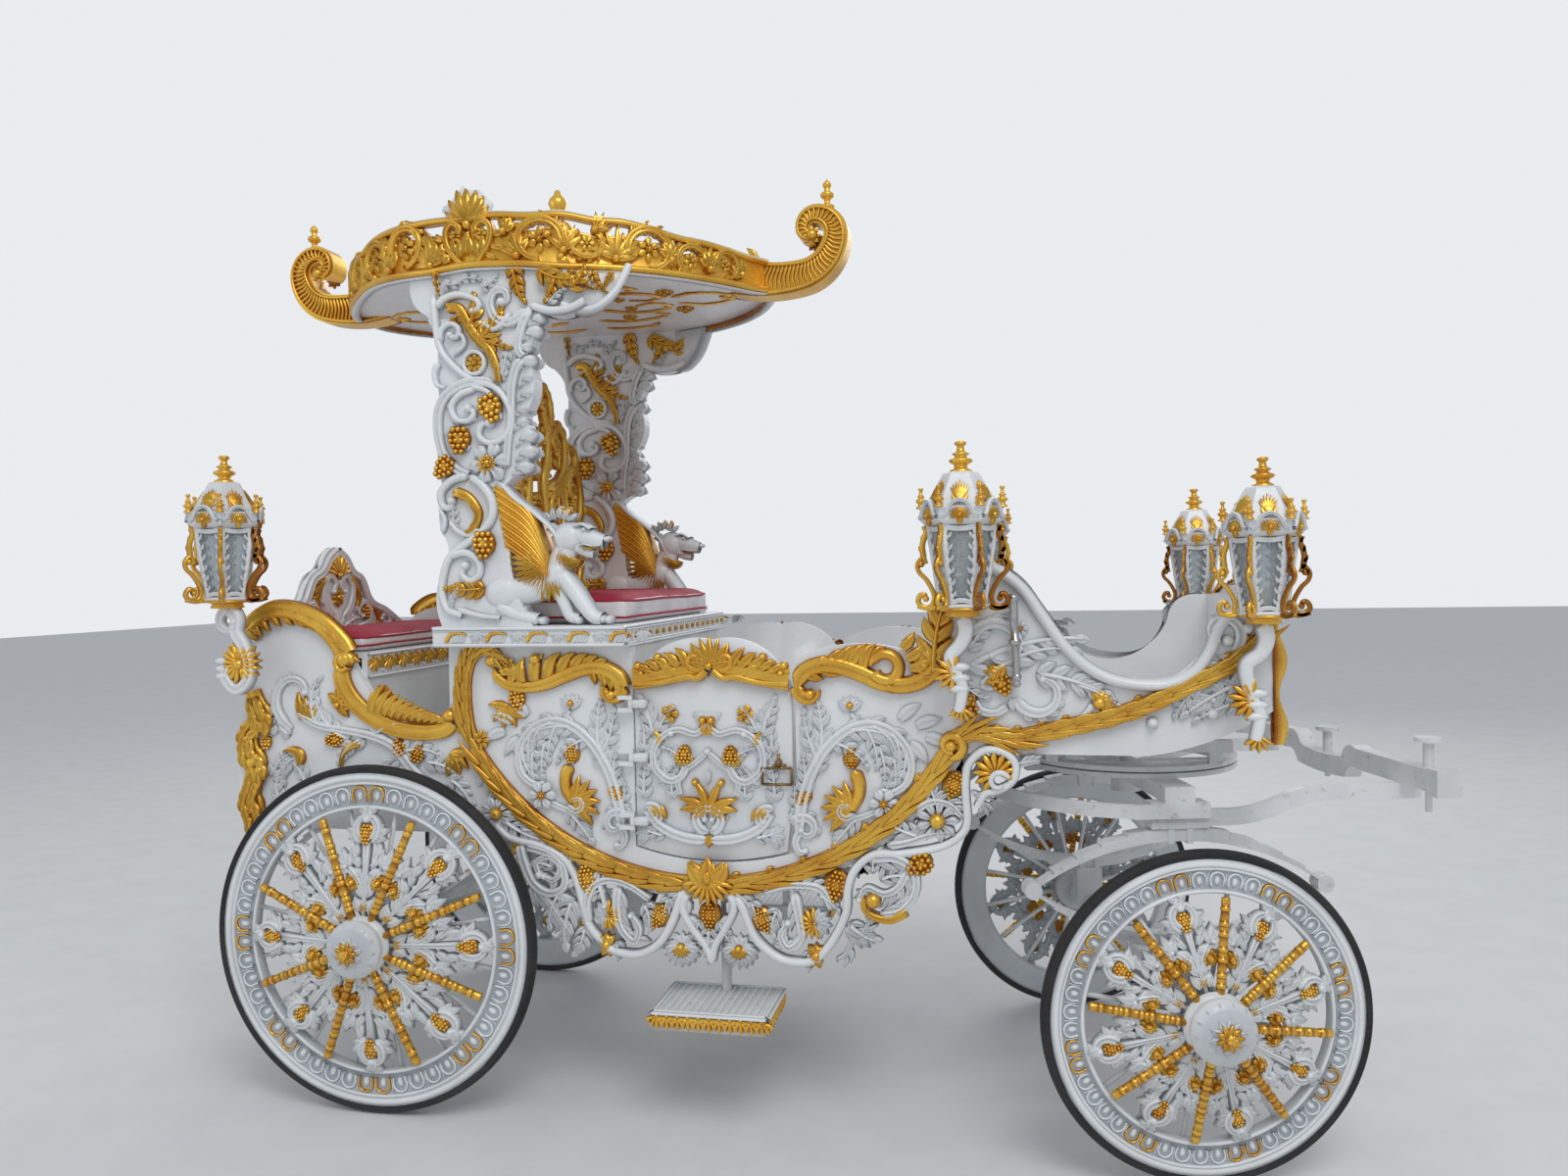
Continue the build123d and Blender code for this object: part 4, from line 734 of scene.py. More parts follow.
# the same in front of the door, opening forward round a ring
swirl = smoothPath([(1304, 1290), (1322, 1330), (1368, 1352), (1430, 1350), (1490, 1330), (1550, 1304), (1612, 1296),
                    (1668, 1312), (1716, 1350)])
ridge(gildings, swirl, taper(len(swirl), 22, 20), 25, "gold", "fluted")
hook, _ = curlPath((1305, 1296), -98, 40, 200, 0.45, 14)
ridge(gildings, hook, taper(15, 20, 11), 25, "gold", "fluted")
ball(gildings, (1342, 1268), 19, "gold", 8)
ring, _ = curlPath((1520, 1352), 80, 42, -330, 0.86, 26)
ridge(gildings, ring, taper(27, 13, 17), 24, "gold", "stem")
for x, z, heading, length, bend, wide in (
        (1400, 1354, 66, 66, -44, 12), (1430, 1352, 74, 80, -50, 14), (1464, 1346, 82, 92, -56, 15),
        (1498, 1344, 92, 92, -64, 15), (1530, 1370, 80, 60, -70, 12), (1362, 1350, 56, 50, -40, 10),
        (1330, 1334, -40, 60, 40, 12), (1372, 1346, -30, 70, 30, 12), (1560, 1300, -60, 46, 60, 9),
        (1612, 1400, 40, 60, 30, 13), (1626, 1372, 20, 70, 50, 14), (1634, 1345, 0, 78, 60, 14),
        (1640, 1318, -20, 66, 70, 13)):
    lobe(gildings, (x, z), heading, length, bend, wide, 24, "gold", 4)

# the standing leaf behind the front bracket
acanthus(gildings, (1700, 1318), 92, 280, -30, 72, 6, 22, "gold", 4)
lobe(gildings, (1690, 1330), 120, 90, -50, 18, 22, "gold", 2)

# the run along the nose
run = stemPath((1745, 1130), 52, [(90, -72), (180, 34), (0, 190), (900, 12), (0, 120), (500, 14), (0, 104)])
leafyBand(gildings, run, np.linspace(27, 20, len(run)), 26, "gold", 1, 34)
knot, _ = curlPath((1742, 1090), 0, 38, 380, 0.5, 22)
ridge(gildings, knot, taper(23, 14, 8), 30, "gold", "stem")
ball(gildings, (1744, 1126), 18, "gold", 16)

# lotus where the two sweeps meet
for heading, length, bend, wide in ((22, 96, 56, 19), (158, 96, -56, 19), (48, 84, 14, 15), (132, 84, -14, 15),
        (70, 66, 8, 12), (110, 66, -8, 12), (90, 80, 0, 19)):
    lobe(gildings, (1030, 708), heading, length, bend, wide, 26, "gold", 20, 8)
shell(gildings, (1030, 726), -90, 72, 150, 9, "gold", 22, 20)
dome(gildings, (1030, 730), 15, 22, "gold", 30, 12, 4, 1.5)

# rear quarter: arched leaf moulding, hollow moulding with its crest, and the wavy tail edge
arch = smoothPath([(-500, 1470), (-472, 1500), (-404, 1532), (-316, 1522), (-230, 1482), (-170, 1425), (-150, 1388)])
ridge(gildings, arch, taper(len(arch), 20, 34), 24, "gold", "fluted")
for i in range(11):
    k = int((i + 1) / 12.5 * (len(arch) - 1))
    lobe(gildings, arch[k] + np.array([0, -6]), -72 + 2 * i, 52 + 3 * i, 34, 11, 20, "gold", 5)
ball(gildings, (-150, 1372), 30, "gold", 2, 14)
hook, _ = curlPath((-118, 1360), 100, 36, 330, 0.5, 20)
ridge(gildings, hook, taper(21, 12, 7), 30, "gold", "stem")
hollow = smoothPath([(-168, 1360), (-164, 1300), (-130, 1242), (-70, 1192), (10, 1156), (100, 1142), (180, 1150), (214, 1176)])
leafyBand(gildings, hollow, taper(len(hollow), 30, 24), 25, "gold", 1, 900, "reeded")
plate(gildings, [(-66, 1200), (-48, 1240), (-42, 1290), (-14, 1290), (20, 1252), (46, 1222), (80, 1220), (112, 1196),
                 (138, 1208), (178, 1176), (150, 1150), (60, 1156)], 0, 9, "gold", 3, 0.3)
for i in range(11):
    t = i / 10
    lobe(gildings, (-66 + 232 * t, 1206 - 50 * t + 22 * t * t), 84 - 50 * t, 104 - 66 * t, -50, 13 - 4 * t, 20, "gold", 6)
ball(gildings, (206, 1196), 24, "gold", 4, 14)
edge = smoothPath([(-500, 1270), (-484, 1215), (-470, 1180), (-506, 1142), (-516, 1080), (-492, 1032), (-500, 980),
                   (-515, 930), (-505, 880), (-500, 842)])
swell = 26 + 16 * np.sin(np.linspace(0, 9.4, len(edge))) ** 2
leafyBand(gildings, edge + (12, 0), swell, 25, "gold", 1, 900)
for k in range(2, len(edge) - 3, 3):
    along = edge[k + 1] - edge[k - 1]
    heading = math.degrees(math.atan2(along[1], along[0]))
    for side in (1, -1):
        lobe(gildings, edge[k] + (12, 0) + unit(heading + side * 90) * swell[k] * 0.4, heading + side * 16, 66, -side * 40,
             13, 20, "gold", 14, 6, "leaf", True)
grapes(gildings, (-444, 1103), 44, "gold", -90, (2, 3, 3, 2))
for x, z, r in ((-488, 1040, 20), (-462, 1016, 17), (-500, 1008, 15), (-474, 1058, 14)):
    ball(gildings, (x, z), r, "gold", 12)
carveSides("gilding", gildings, wallY, "body", ["moulding"])
print("gildings carved")

# white relief of the walls; leaf rows: x, z, heading, length, turn, width, pairs
relief = Carving(0, 1.35, 1.35, 1.5)
frontMirror = 2 * 1031     # the bay's ornament repeats in front of the door


def bayOrnament(c, s, middle):
    def at(x, z):
        return middle + s * x, z

    def dirn(a):
        return a if s > 0 else 180 - a
    stem = smoothPath([at(*p) for p in ((762, 840), (756, 905), (742, 975), (716, 1045), (672, 1115), (612, 1166),
                                        (548, 1184), (488, 1166), (444, 1118), (430, 1064), (444, 1016), (484, 988),
                                        (518, 992))])
    ridge(c, stem, taper(len(stem), 15, 8), taper(len(stem), 15, 12), "white", "fluted")
    leafRows(c, (
            (610, 1166, 172, 150, 40, 50, 5), (548, 1184, 200, 120, 60, 46, 4), (488, 1166, 232, 110, 60, 44, 4),
            (446, 1110, 262, 110, 60, 40, 4), (560, 1176, 236, 120, 40, 38, 4), (716, 1050, 120, 130, -40, 46, 5),
            (742, 985, 98, 110, -20, 38, 4), (700, 1080, 62, 150, 26, 40, 4), (690, 1100, 96, 170, -24, 44, 5),
            (520, 1120, 250, 110, 30, 34, 4), (480, 1090, 258, 100, 30, 30, 3), (650, 1130, 196, 120, 44, 36, 4),
            (756, 925, 60, 70, 40, 30, 3)), 12, "white", 0, s, middle)
    for x, z, heading in ((372, 1180, 150), (346, 1150, 190), (392, 1130, 215), (420, 1200, 130)):
        lobe(c, at(x + 40, z), dirn(heading), 74, s * 30, 15, 12, "white")
    # bud, gold cone on its stem, flowers and falling leaf
    bud = at(604, 1226)
    fan(c, bud, (dirn(a) for a in (60, 90, 120, 35, 145)), 40, 0, 11, 12, "white")
    ball(c, (bud[0], bud[1] + 12), 12, "gold", 4)
    ridge(c, smoothPath([at(600, 1215), at(590, 1190), at(610, 1150)]), 4, 8, "white")
    grapes(c, at(603, 1086), 64, "gold", 90, (2, 3, 4, 4, 4, 3, 2))
    stalk = smoothPath([at(596, 1050), at(582, 1015), at(584, 975), at(604, 940)])
    ridge(c, stalk, taper(len(stalk), 16, 13), 17, "gold", "round")
    fan(c, at(608, 934), (dirn(a) for a in (84, 60, 36, 12, -14, -40)), 84, s * -14, 13, 17, "gold", 3)
    loop, _ = curlPath(at(596, 930), dirn(-70), 26, s * 300, 0.5, 20)
    ridge(c, loop, taper(21, 9, 5), 17, "white", "fluted", 2)
    ridge(c, smoothPath([at(500, 950), at(560, 922), at(620, 905), at(680, 912)]), 8, 10, "white", "fluted")
    rosette(c, at(509, 958), 42, 6, "white", "gold", 9)
    grapes(c, at(744, 968), 52, "gold", dirn(-40), (2, 3, 4, 3, 2))
    acanthus(c, at(588, 915), dirn(-46), 120, s * -12, 44, 5, 12, "white")
    scroll(c, at(782, 890), dirn(120), 46, s * 330, 13, 15, "white", 3, 0.3)
    ridge(c, smoothPath([at(758, 868), at(770, 840), at(762, 812), at(744, 806)]), taper(19, 10, 6), 12, "white", "fluted")
    ball(c, at(742, 812), 11, "white")


bayOrnament(relief, 1, 0)
bayOrnament(relief, -1, frontMirror)
for points in relief.parts["white"]["points"]:
    under = np.hypot(*(points[:, :2] - bayMiddle).T) > bayRadius - 20
    points[under, 2] = np.minimum(points[under, 2], 2)

# rear quarter
leafRows(relief, (
        (-150, 1120, 160, 170, -60, 46, 5), (-60, 1130, 40, 120, -40, 40, 4), (-260, 1170, 118, 150, -70, 44, 4),
        (-100, 1120, 200, 140, 60, 40, 4), (40, 1080, 20, 130, -50, 44, 4), (120, 1050, 0, 110, -40, 40, 4),
        (200, 1000, -30, 110, -40, 36, 4), (-330, 1060, 200, 110, 80, 38, 4), (-420, 1000, 70, 120, -60, 36, 4),
        (-400, 920, 110, 110, -60, 34, 4), (-300, 960, 100, 110, 50, 34, 4), (230, 960, 300, 120, 30, 34, 4),
        (-420, 1130, 110, 90, -60, 30, 3), (-360, 1130, 150, 70, -50, 26, 3), (-30, 1040, -20, 110, 40, 36, 4),
        (300, 1010, -50, 110, 20, 30, 4)), 11, "white")
scroll(relief, (-350, 1150), 150, 120, -250, 14, 14, "white", 5, 0.25)
path = smoothPath([(-330, 1200), (-250, 1160), (-160, 1146), (-70, 1130), (10, 1098), (60, 1040), (110, 990), (180, 960)])
ridge(relief, path, taper(len(path), 8, 15), 13, "white", "fluted")
fan(relief, (-182, 1226), (90, 55, 20, -15, -55, 125), 50, 16, 12, 15, "gold")
ball(relief, (-182, 1226), 14, "gold", 4)
for k in range(4):
    lobe(relief, (-312 + 12 * k, 1178), 104 - 9 * k, 86 - 12 * k, -10, 10, 14, "gold")
grapes(relief, (-196, 1116), 66, "gold", 188, (2, 3, 4, 4, 3, 2))
grapes(relief, (28, 1094), 54, "gold", -70, (2, 3, 4, 4, 3))
grapes(relief, (92, 1076), 54, "gold", -110, (2, 3, 4, 4, 3))
for start, heading, radius, turn, tighten, first in (((-172, 1030), 100, 70, -120, 0.6, 4),
        ((-380, 1075), 30, 50, -150, 0.5, 8)):
    hook, _ = curlPath(start, heading, radius, turn, tighten, 14)
    ridge(relief, hook, taper(15, first, 18) * np.sin(np.linspace(0.3, 2.9, 15)), 15, "gold", "leaf")
fan(relief, (206, 1076), (-60, -30, 10, -95), 70, -20, 13, 15, "gold")

# nose panel: long leaves from both ends of the dip, a deep scroll and its flower
for x, z, heading, length, turn, width, pairs in (
        (1800, 1352, 30, 330, -36, 70, 7), (1830, 1300, 48, 300, -62, 60, 6), (1990, 1330, -8, 200, -20, 52, 5),
        (2090, 1300, -14, 130, -30, 42, 4), (2520, 1350, 196, 190, 24, 62, 6), (2500, 1300, 206, 150, 14, 52, 5),
        (2540, 1260, 190, 150, 26, 44, 5), (2400, 1290, 226, 90, 20, 36, 4), (1800, 1400, 64, 150, -50, 40, 4),
        (1770, 1330, -70, 110, 60, 36, 4)):
    oneSide = -1 if 0 < heading < 90 and length > 190 else 0
    acanthus(relief, (x, z), heading, length, turn, width, pairs, 13, "white", 0, oneSide)
scroll(relief, (1800, 1430), 60, 90, -300, 15, 15, "white", 4, 0.35)
scroll(relief, (1925, 1262), -68, 72, 250, 15, 15, "white", 5, 0.5)
ridge(relief, smoothPath([(1812, 1250), (1830, 1225), (1868, 1218), (1900, 1236)]), 10, 12, "white", "fluted")
scroll(relief, (2500, 1390), 40, 60, 300, 14, 15, "white", 4, 0.4)
scroll(relief, (2400, 1262), 100, 48, -280, 11, 13, "white", 4, 0.4)
for x, z in ((2445, 1222), (2290, 1196), (2536, 1452), (2486, 1420)):
    ball(relief, (x, z), 17, "white")
fan(relief, (2153, 1250), range(-50, 131, 30), 36, 0, 9, 16, "gold", 4)
ball(relief, (2150, 1250), 20, "gold", 6)
ridge(relief, smoothPath([(2030, 1196), (2080, 1190), (2120, 1212), (2142, 1236)]), taper(19, 8, 18), 12, "white", "fluted")
grapes(relief, (1889, 1300), 66, "gold", -60, (3, 4, 4, 3, 2))
fan(relief, (1880, 1322), (150, 120, 200, 60), 44, 20, 12, 16, "gold", 4)
grapes(relief, (1793, 1246), 72, "gold", -90, (1, 2, 3, 4, 3))
for x, z in ((1806, 1429), (1941, 1456)):
    rosette(relief, (x, z), 22, 6, "white", "gold", 4)

# white bead along the dip of the nose
dip = smoothPath([(1762, 1560), (1800, 1600), (1850, 1626), (1900, 1606), (1952, 1560), (2000, 1490), (2050, 1418),
                  (2110, 1356), (2180, 1316), (2260, 1300), (2340, 1304), (2400, 1336), (2440, 1392), (2462, 1452),
                  (2500, 1500), (2560, 1512)])
ridge(relief, dip, 13, 20, "white", "round")
carveSides("wallRelief", relief, wallY)
print("walls carved")

# doors: a carved leaf under a gold crown, on three hinges
doorLook = {"rear": 805, "front": 1285, "sill": 812, "dip": 38, "shoulder": 1290, "peak": 1428, "thick": 22,
            "hinges": (890, 1080, 1240), "hingeX": 802, "hingeY": 34}


def arcThrough(a, b, c, steps=10):
    (ax, ay), (bx, by), (cx, cy) = a, b, c
    d = 2 * (ax * (by - cy) + bx * (cy - ay) + cx * (ay - by))
    ux = ((ax * ax + ay * ay) * (by - cy) + (bx * bx + by * by) * (cy - ay) + (cx * cx + cy * cy) * (ay - by)) / d
    uy = ((ax * ax + ay * ay) * (cx - bx) + (bx * bx + by * by) * (ax - cx) + (cx * cx + cy * cy) * (bx - ax)) / d
    r = math.hypot(ax - ux, ay - uy)
    t = np.unwrap([math.atan2(y - uy, x - ux) for x, y in (a, b, c)])
    turns = np.linspace(t[0], t[2], steps, endpoint=False)
    return [(ux + r * math.cos(q), uy + r * math.sin(q)) for q in turns]


def oblong(left, low, right, high):
    return [(left, low), (right, low), (right, high), (left, high)]


d = doorLook
midX = (d["rear"] + d["front"]) / 2
leaf = Carving(0, 1.5, 1.3, 1.5)
corners = (arcThrough((d["rear"], d["sill"]), (midX, d["sill"] - d["dip"]), (d["front"], d["sill"]), 24)
           + [(d["front"], 960), (d["front"], 1130)]
           + arcThrough((d["front"], d["shoulder"]), (d["front"] - 90, d["peak"] - 22), (midX, d["peak"]), 16)
           + arcThrough((midX, d["peak"]), (d["rear"] + 90, d["peak"] - 22), (d["rear"], d["shoulder"]), 16)
           + [(d["rear"], d["shoulder"]), (d["rear"], 1130), (d["rear"], 960)])
plate(leaf, corners, -d["thick"], 0, "white", 1.5, 0.9)
# gold crown: two leafy arms that rise to a fan
for s in (1, -1):
    def x(v):
        return midX + s * v
    arm = smoothPath([(x(14), 1352), (x(70), 1340), (x(130), 1330), (x(190), 1318), (x(238), 1312)])
    ridge(leaf, arm, 22, 22, "gold", "reeded")
    ridge(leaf, smoothPath([(x(236), 1300), (x(150), 1304), (x(80), 1322), (x(40), 1318), (x(12), 1340)]), 9, 24, "gold",
          "round")
    for v, z, heading, length, bend, wide in (
            (40, 1360, 84, 60, -20, 12), (66, 1352, 68, 66, -30, 13), (96, 1350, 58, 62, -34, 13), (126, 1346, 50, 60, -36, 12),
            (156, 1342, 46, 52, -38, 11), (184, 1336, 40, 46, -40, 10), (90, 1330, 10, 70, 30, 12), (140, 1322, 4, 66, 26, 11)):
        lobe(leaf, (x(v), z), heading if s > 0 else 180 - heading, length, s * bend, wide, 18, "gold", 8)
    for v, z, r in ((222, 1352, 15), (160, 1378, 14), (212, 1330, 13), (120, 1362, 9)):
        ball(leaf, (x(v), z), r, "gold", 8)
    eye, _ = curlPath((x(20), 1352), -50 if s > 0 else 230, 30, s * 330, 0.4, 20)
    ridge(leaf, eye, taper(21, 10, 6), 25, "gold", "stem")
    ball(leaf, (x(40), 1348), 9, "gold", 12)
for i in range(9):
    lobe(leaf, (midX, 1352), 10 + 20 * i, 66 + 18 * math.sin(math.radians(10 + 20 * i)), 0, 9.5, 20, "gold", 10)
ball(leaf, (midX, 1352), 13, "gold", 20)
# white scrollwork, the same on both sides of the middle
for s in (1, -1):
    def x(v):
        return midX - 14 + s * v

    def turned(a):
        return a if s > 0 else 180 - a
    rosette(leaf, (x(116), 1208), 27, 5, "gold", "gold", 2)
    leafRows(leaf, (
            (168, 1150, 80, 110, -20, 42, 4), (180, 1190, 60, 70, 20, 32, 3), (150, 1160, 110, 80, 30, 30, 3),
            (196, 1100, 96, 90, -20, 28, 3), (60, 1050, 60, 100, -50, 34, 4), (176, 1040, 92, 130, 20, 36, 4),
            (200, 960, 88, 110, 14, 34, 4), (110, 960, 80, 80, 40, 30, 3), (140, 846, 8, 80, 20, 32, 4),
            (150, 1000, 120, 70, 20, 26, 3)), 11, "white", 0, s, midX - 14)
    arm = smoothPath([(x(2), 1182), (x(34), 1150), (x(90), 1162), (x(140), 1140), (x(168), 1092), (x(158), 1040),
                      (x(118), 1010), (x(82), 1022), (x(66), 1052)])
    ridge(leaf, arm, taper(len(arm), 7, 9), 13, "white", "fluted")
    cross = smoothPath([(x(-2), 1098), (x(40), 1062), (x(78), 1036), (x(92), 1000), (x(86), 970)])
    ridge(leaf, cross, taper(len(cross), 7, 6), 12, "white", "fluted")
    fan(leaf, (x(70), 1080), (turned(a) for a in range(-150, 19, 28)), 36, 0, 10, 14, "gold")
    grapes(leaf, (x(70), 1090), 52, "gold", -90, (2, 3, 4, 4, 3), 6)
    horn, _ = curlPath((x(150), 1120), turned(110), 34, -s * 90, 0.6, 8)
    ridge(leaf, horn, taper(9, 10, 3), 13, "gold", "stem")
    low = smoothPath([(x(6), 836), (x(60), 838), (x(112), 852), (x(160), 880), (x(190), 920)])
    ridge(leaf, low, taper(len(low), 12, 10), 13, "white", "fluted")
    scroll(leaf, (x(2), 858), turned(10), 48, s * 300, 12, 15, "white", 3, 0.35)
    fan(leaf, (x(190), 850), (turned(a) for a in range(-60, 61, 30)), 40, 0, 9, 12, "white")
    bowl, _ = curlPath((x(196), 930), turned(150), 34, s * 200, 0.6, 14)
    ridge(leaf, bowl, taper(15, 10, 8), 13, "white", "fluted")
    fan(leaf, (x(150), 930), (turned(a) for a in range(-120, -15, 26)), 40, 0, 9, 14, "gold", 2)
    for heading, length, wide in ((78, 96, 11), (34, 92, 12), (12, 84, 13), (-14, 60, 10)):
        lobe(leaf, (x(3), 924), turned(heading), length, s * -26, wide, 15, "gold", 3)
    ball(leaf, (x(40), 1006), 12, "gold", 3)
    ball(leaf, (x(112), 1150), 12, "white", 2)
heart = midX - 14
plate(leaf, [(heart - 44, 1214), (heart + 44, 1214), (heart + 40, 1204), (heart, 1140), (heart - 40, 1204)], 0, 6, "white",
      1.5, 0.8)
lobe(leaf, (heart, 1148), 90, 52, 0, 20, 12, "gold", 4)
for s in (1, -1):
    ball(leaf, (heart + s * 13, 1190), 14, "gold", 4)
lobe(leaf, (heart, 850), -90, 36, 0, 12, 14, "gold", 2)
lobe(leaf, (heart, 1040), -90, 40, 0, 8, 12, "white", 2)
dome(leaf, (heart, 1098), 12, 14, "white", 2)
# hinges and latch, at their true heights
leaf.lift = 0
for z in d["hinges"]:
    plate(leaf, oblong(d["hingeX"] + 4, z - 12, d["hingeX"] + 48, z + 12), 0, d["hingeY"] + 2, "white", 2, 0.8)
    rodBetween(leaf, (d["hingeX"], z - 12, d["hingeY"]), (d["hingeX"], z + 12, d["hingeY"]), 7, "white", 14,
               ((0, 0.9), (0.06, 1), (0.94, 1), (1, 0.9)))
latchZ, latchX = 1030, d["front"] - 30
for a, b in (((-58, -24), (30, -24)), ((30, -24), (30, 24)), ((30, 24), (-58, 24)), ((-58, 24), (-58, -24))):
    rodBetween(leaf, (latchX + a[0], latchZ + a[1], 14), (latchX + b[0], latchZ + b[1], 14), 4.2, "brass", 10)
rodBetween(leaf, (latchX - 8, latchZ + 40, 0), (latchX - 8, latchZ + 40, 30), 9, "brass", 12)
rodBetween(leaf, (latchX - 8, latchZ + 26, 16), (latchX - 8, latchZ + 66, 16), 5, "brass", 10)
plate(leaf, oblong(latchX - 26, latchZ + 20, latchX + 12, latchZ + 34), 0, 12, "brass", 2, 0.8)
carveSides("doorLeaf", leaf, wallY, {"Right": "door_leaf_right", "Left": "door_leaf_left"}, ["door"])
print("doors carved")

# open carved band under the bay
friezeLook = {"depth": 9, "face": 0.509, "stem": 17, "leaf": 14}


def leafStem(c, points, first, last, height, leaves=0, side=1, reach=40, finish="white", section="stem", lean=42, eye=0):
    # a smooth stem through the points, with leaves down one side and perhaps an eye at its end
    path = smoothPath(points, 4)
    n = len(path)
    lowest, highest = 0.04, 0.82      # the share of the stem that bears leaves
    room = np.linalg.norm(np.diff(path, axis=0), axis=1).sum() * (highest - lowest) / max(leaves, 1) / c.fuller
    for i in range(leaves):
        t = lowest + (highest - lowest) * (i + 0.5) / leaves
        k = int(t * (n - 1))
        along = path[min(k + 1, n - 1)] - path[max(k - 1, 0)]
        heading = math.degrees(math.atan2(along[1], along[0]))
        grow = reach * (1 - 0.35 * t)
        lobe(c, path[k], heading + side * lean, grow, -side * 40, min(grow * 0.22, 0.42 * room), height * 0.82, finish)
    ridge(c, path, taper(n, first, last, 1.0, 0.05), taper(n, height, height * 0.85, 1.0, 0.05), finish, section)
    if eye:
        dome(c, path[-1], eye, height * 1.25, finish, 0, 12, 4)


def stemRows(c, rows, height, finish, way):
    # rows of points, first and last half width, leaves, their side and reach, eye
    for points, first, last, leaves, side, reach, eye in rows:
        drawn = [(way * u, v) for u, v in points]
        leafStem(c, drawn, first, last, height, leaves, way * side, reach, finish, "fluted", 42, eye)


band = Carving(friezeLook["depth"], 1.15, 1.55, 1.5)
# points, first and last half width, leaves, their side and reach, eye
for points, first, last, leaves, side, reach, eye, section in (
        ([(349, 877), (403, 826), (499, 805), (570, 773), (611, 715), (633, 637), (654, 566), (703, 513)], 10, 12, 0, 1, 0,
         0, "stem"),
        ([(434, 809), (444, 759), (475, 690), (528, 660), (576, 684), (572, 744), (525, 772), (487, 750), (497, 716)], 15,
         8, 9, -1, 62, 15, "fluted"),
        ([(452, 800), (500, 790), (548, 770), (566, 728), (540, 700), (512, 712)], 12, 7, 6, 1, 44, 12, "fluted"),
        ([(654, 570), (648, 637), (674, 690), (728, 708), (790, 691), (846, 655)], 13, 9, 7, 1, 46, 0, "fluted"),
        ([(749, 691), (743, 631), (756, 563), (797, 526), (813, 566), (788, 604)], 14, 7, 8, 1, 54, 11, "fluted"),
        ([(695, 520), (734, 495), (806, 487), (869, 519), (909, 578), (934, 638), (953, 689)], 12, 14, 0, 1, 0, 0, "stem"),
        ([(968, 686), (950, 631), (979, 574), (1016, 527), (1036, 479)], 12, 11, 3, 1, 40, 0, "stem"),
        ([(1092, 690), (1106, 638), (1078, 578), (1048, 528), (1036, 479)], 12, 11, 3, -1, 40, 0, "stem"),
        ([(1103, 700), (1134, 639), (1170, 554), (1238, 500), (1306, 490), (1356, 508), (1403, 566), (1439, 643),
          (1444, 710), (1468, 769), (1521, 811), (1596, 817), (1689, 833), (1753, 861), (1786, 908), (1783, 1010),
          (1793, 1075), (1839, 1116), (1893, 1111), (1922, 1077), (1914, 1031), (1873, 1003), (1837, 993), (1815, 955)], 13,
         11, 0, 1, 0, 0, "stem"),
        ([(1502, 801), (1586, 804), (1637, 764), (1636, 699), (1593, 652), (1540, 640)], 14, 9, 9, -1, 66, 0, "fluted"),
        ([(1620, 770), (1590, 720), (1548, 700), (1500, 716), (1478, 680)], 12, 7, 7, 1, 52, 11, "fluted"),
        ([(1192, 690), (1251, 711), (1309, 716), (1367, 706), (1400, 651)], 9, 12, 7, 1, 44, 0, "fluted"),
        ([(1288, 693), (1300, 627), (1307, 561), (1267, 530), (1245, 566), (1268, 604)], 14, 7, 8, -1, 54, 11, "fluted"),
        ([(470, 690), (520, 640), (560, 580), (600, 530)], 11, 6, 7, -1, 46, 0, "leaf"),
        ([(1430, 600), (1450, 560), (1436, 520), (1410, 502)], 10, 6, 4, 1, 40, 0, "leaf"),
        ([(1440, 600), (1480, 580), (1500, 610), (1496, 650)], 10, 6, 4, -1, 44, 0, "leaf"),
        ([(690, 700), (700, 655), (706, 628)], 7, 5, 0, 1, 0, 8, "stem"),
        ([(1560, 838), (1620, 850), (1680, 872), (1740, 880)], 12, 6, 8, 1, 58, 0, "fluted"),
        ([(1640, 940), (1690, 968), (1740, 960), (1776, 925)], 11, 6, 6, 1, 44, 0, "fluted"),
        ([(1800, 1000), (1830, 970), (1822, 940)], 10, 5, 4, 1, 40, 0, "leaf"),
        ([(1930, 1075), (1962, 1084), (1990, 1086)], 11, 5, 3, 1, 30, 0, "leaf")):
    leafStem(band, points, first, last, friezeLook["stem"], leaves, side, reach * 1.4, "white", section, 46, eye)

# start x, z, heading, length, turn, width, pairs
for x, z, heading, length, turn, width, pairs in (
        (384, 880, -38, 130, 30, 40, 5), (600, 640, 246, 130, 30, 46, 5), (560, 660, 232, 100, 40, 34, 4),
        (640, 560, 262, 80, -30, 34, 4), (984, 700, 196, 96, 50, 34, 4), (1080, 700, -16, 96, -50, 34, 4),
        (1030, 575, 262, 80, 8, 34, 4), (1000, 596, 250, 60, -20, 24, 3), (1062, 596, 290, 60, 20, 24, 3),
        (830, 640, 300, 70, -40, 30, 4), (1236, 640, 240, 70, 40, 30, 4), (700, 680, 200, 64, 40, 28, 3),
        (1360, 690, -20, 64, -40, 28, 3), (905, 660, 250, 60, 10, 24, 3), (1160, 660, 290, 60, -10, 24, 3),
        (1450, 610, -50, 80, 40, 34, 4), (1540, 740, 30, 90, -60, 34, 4), (1520, 760, 100, 60, -50, 26, 3),
        (540, 740, 150, 70, 60, 28, 4), (1650, 870, 170, 90, -30, 34, 4), (1700, 960, 100, 70, 30, 28, 3),
        (440, 850, 10, 60, -30, 26, 3), (1330, 520, 250, 44, 30, 20, 3), (740, 520, 290, 44, -30, 20, 3)):
    acanthus(band, (x, z), heading, length * 1.1, turn, width * 1.3, pairs, friezeLook["leaf"], "white")

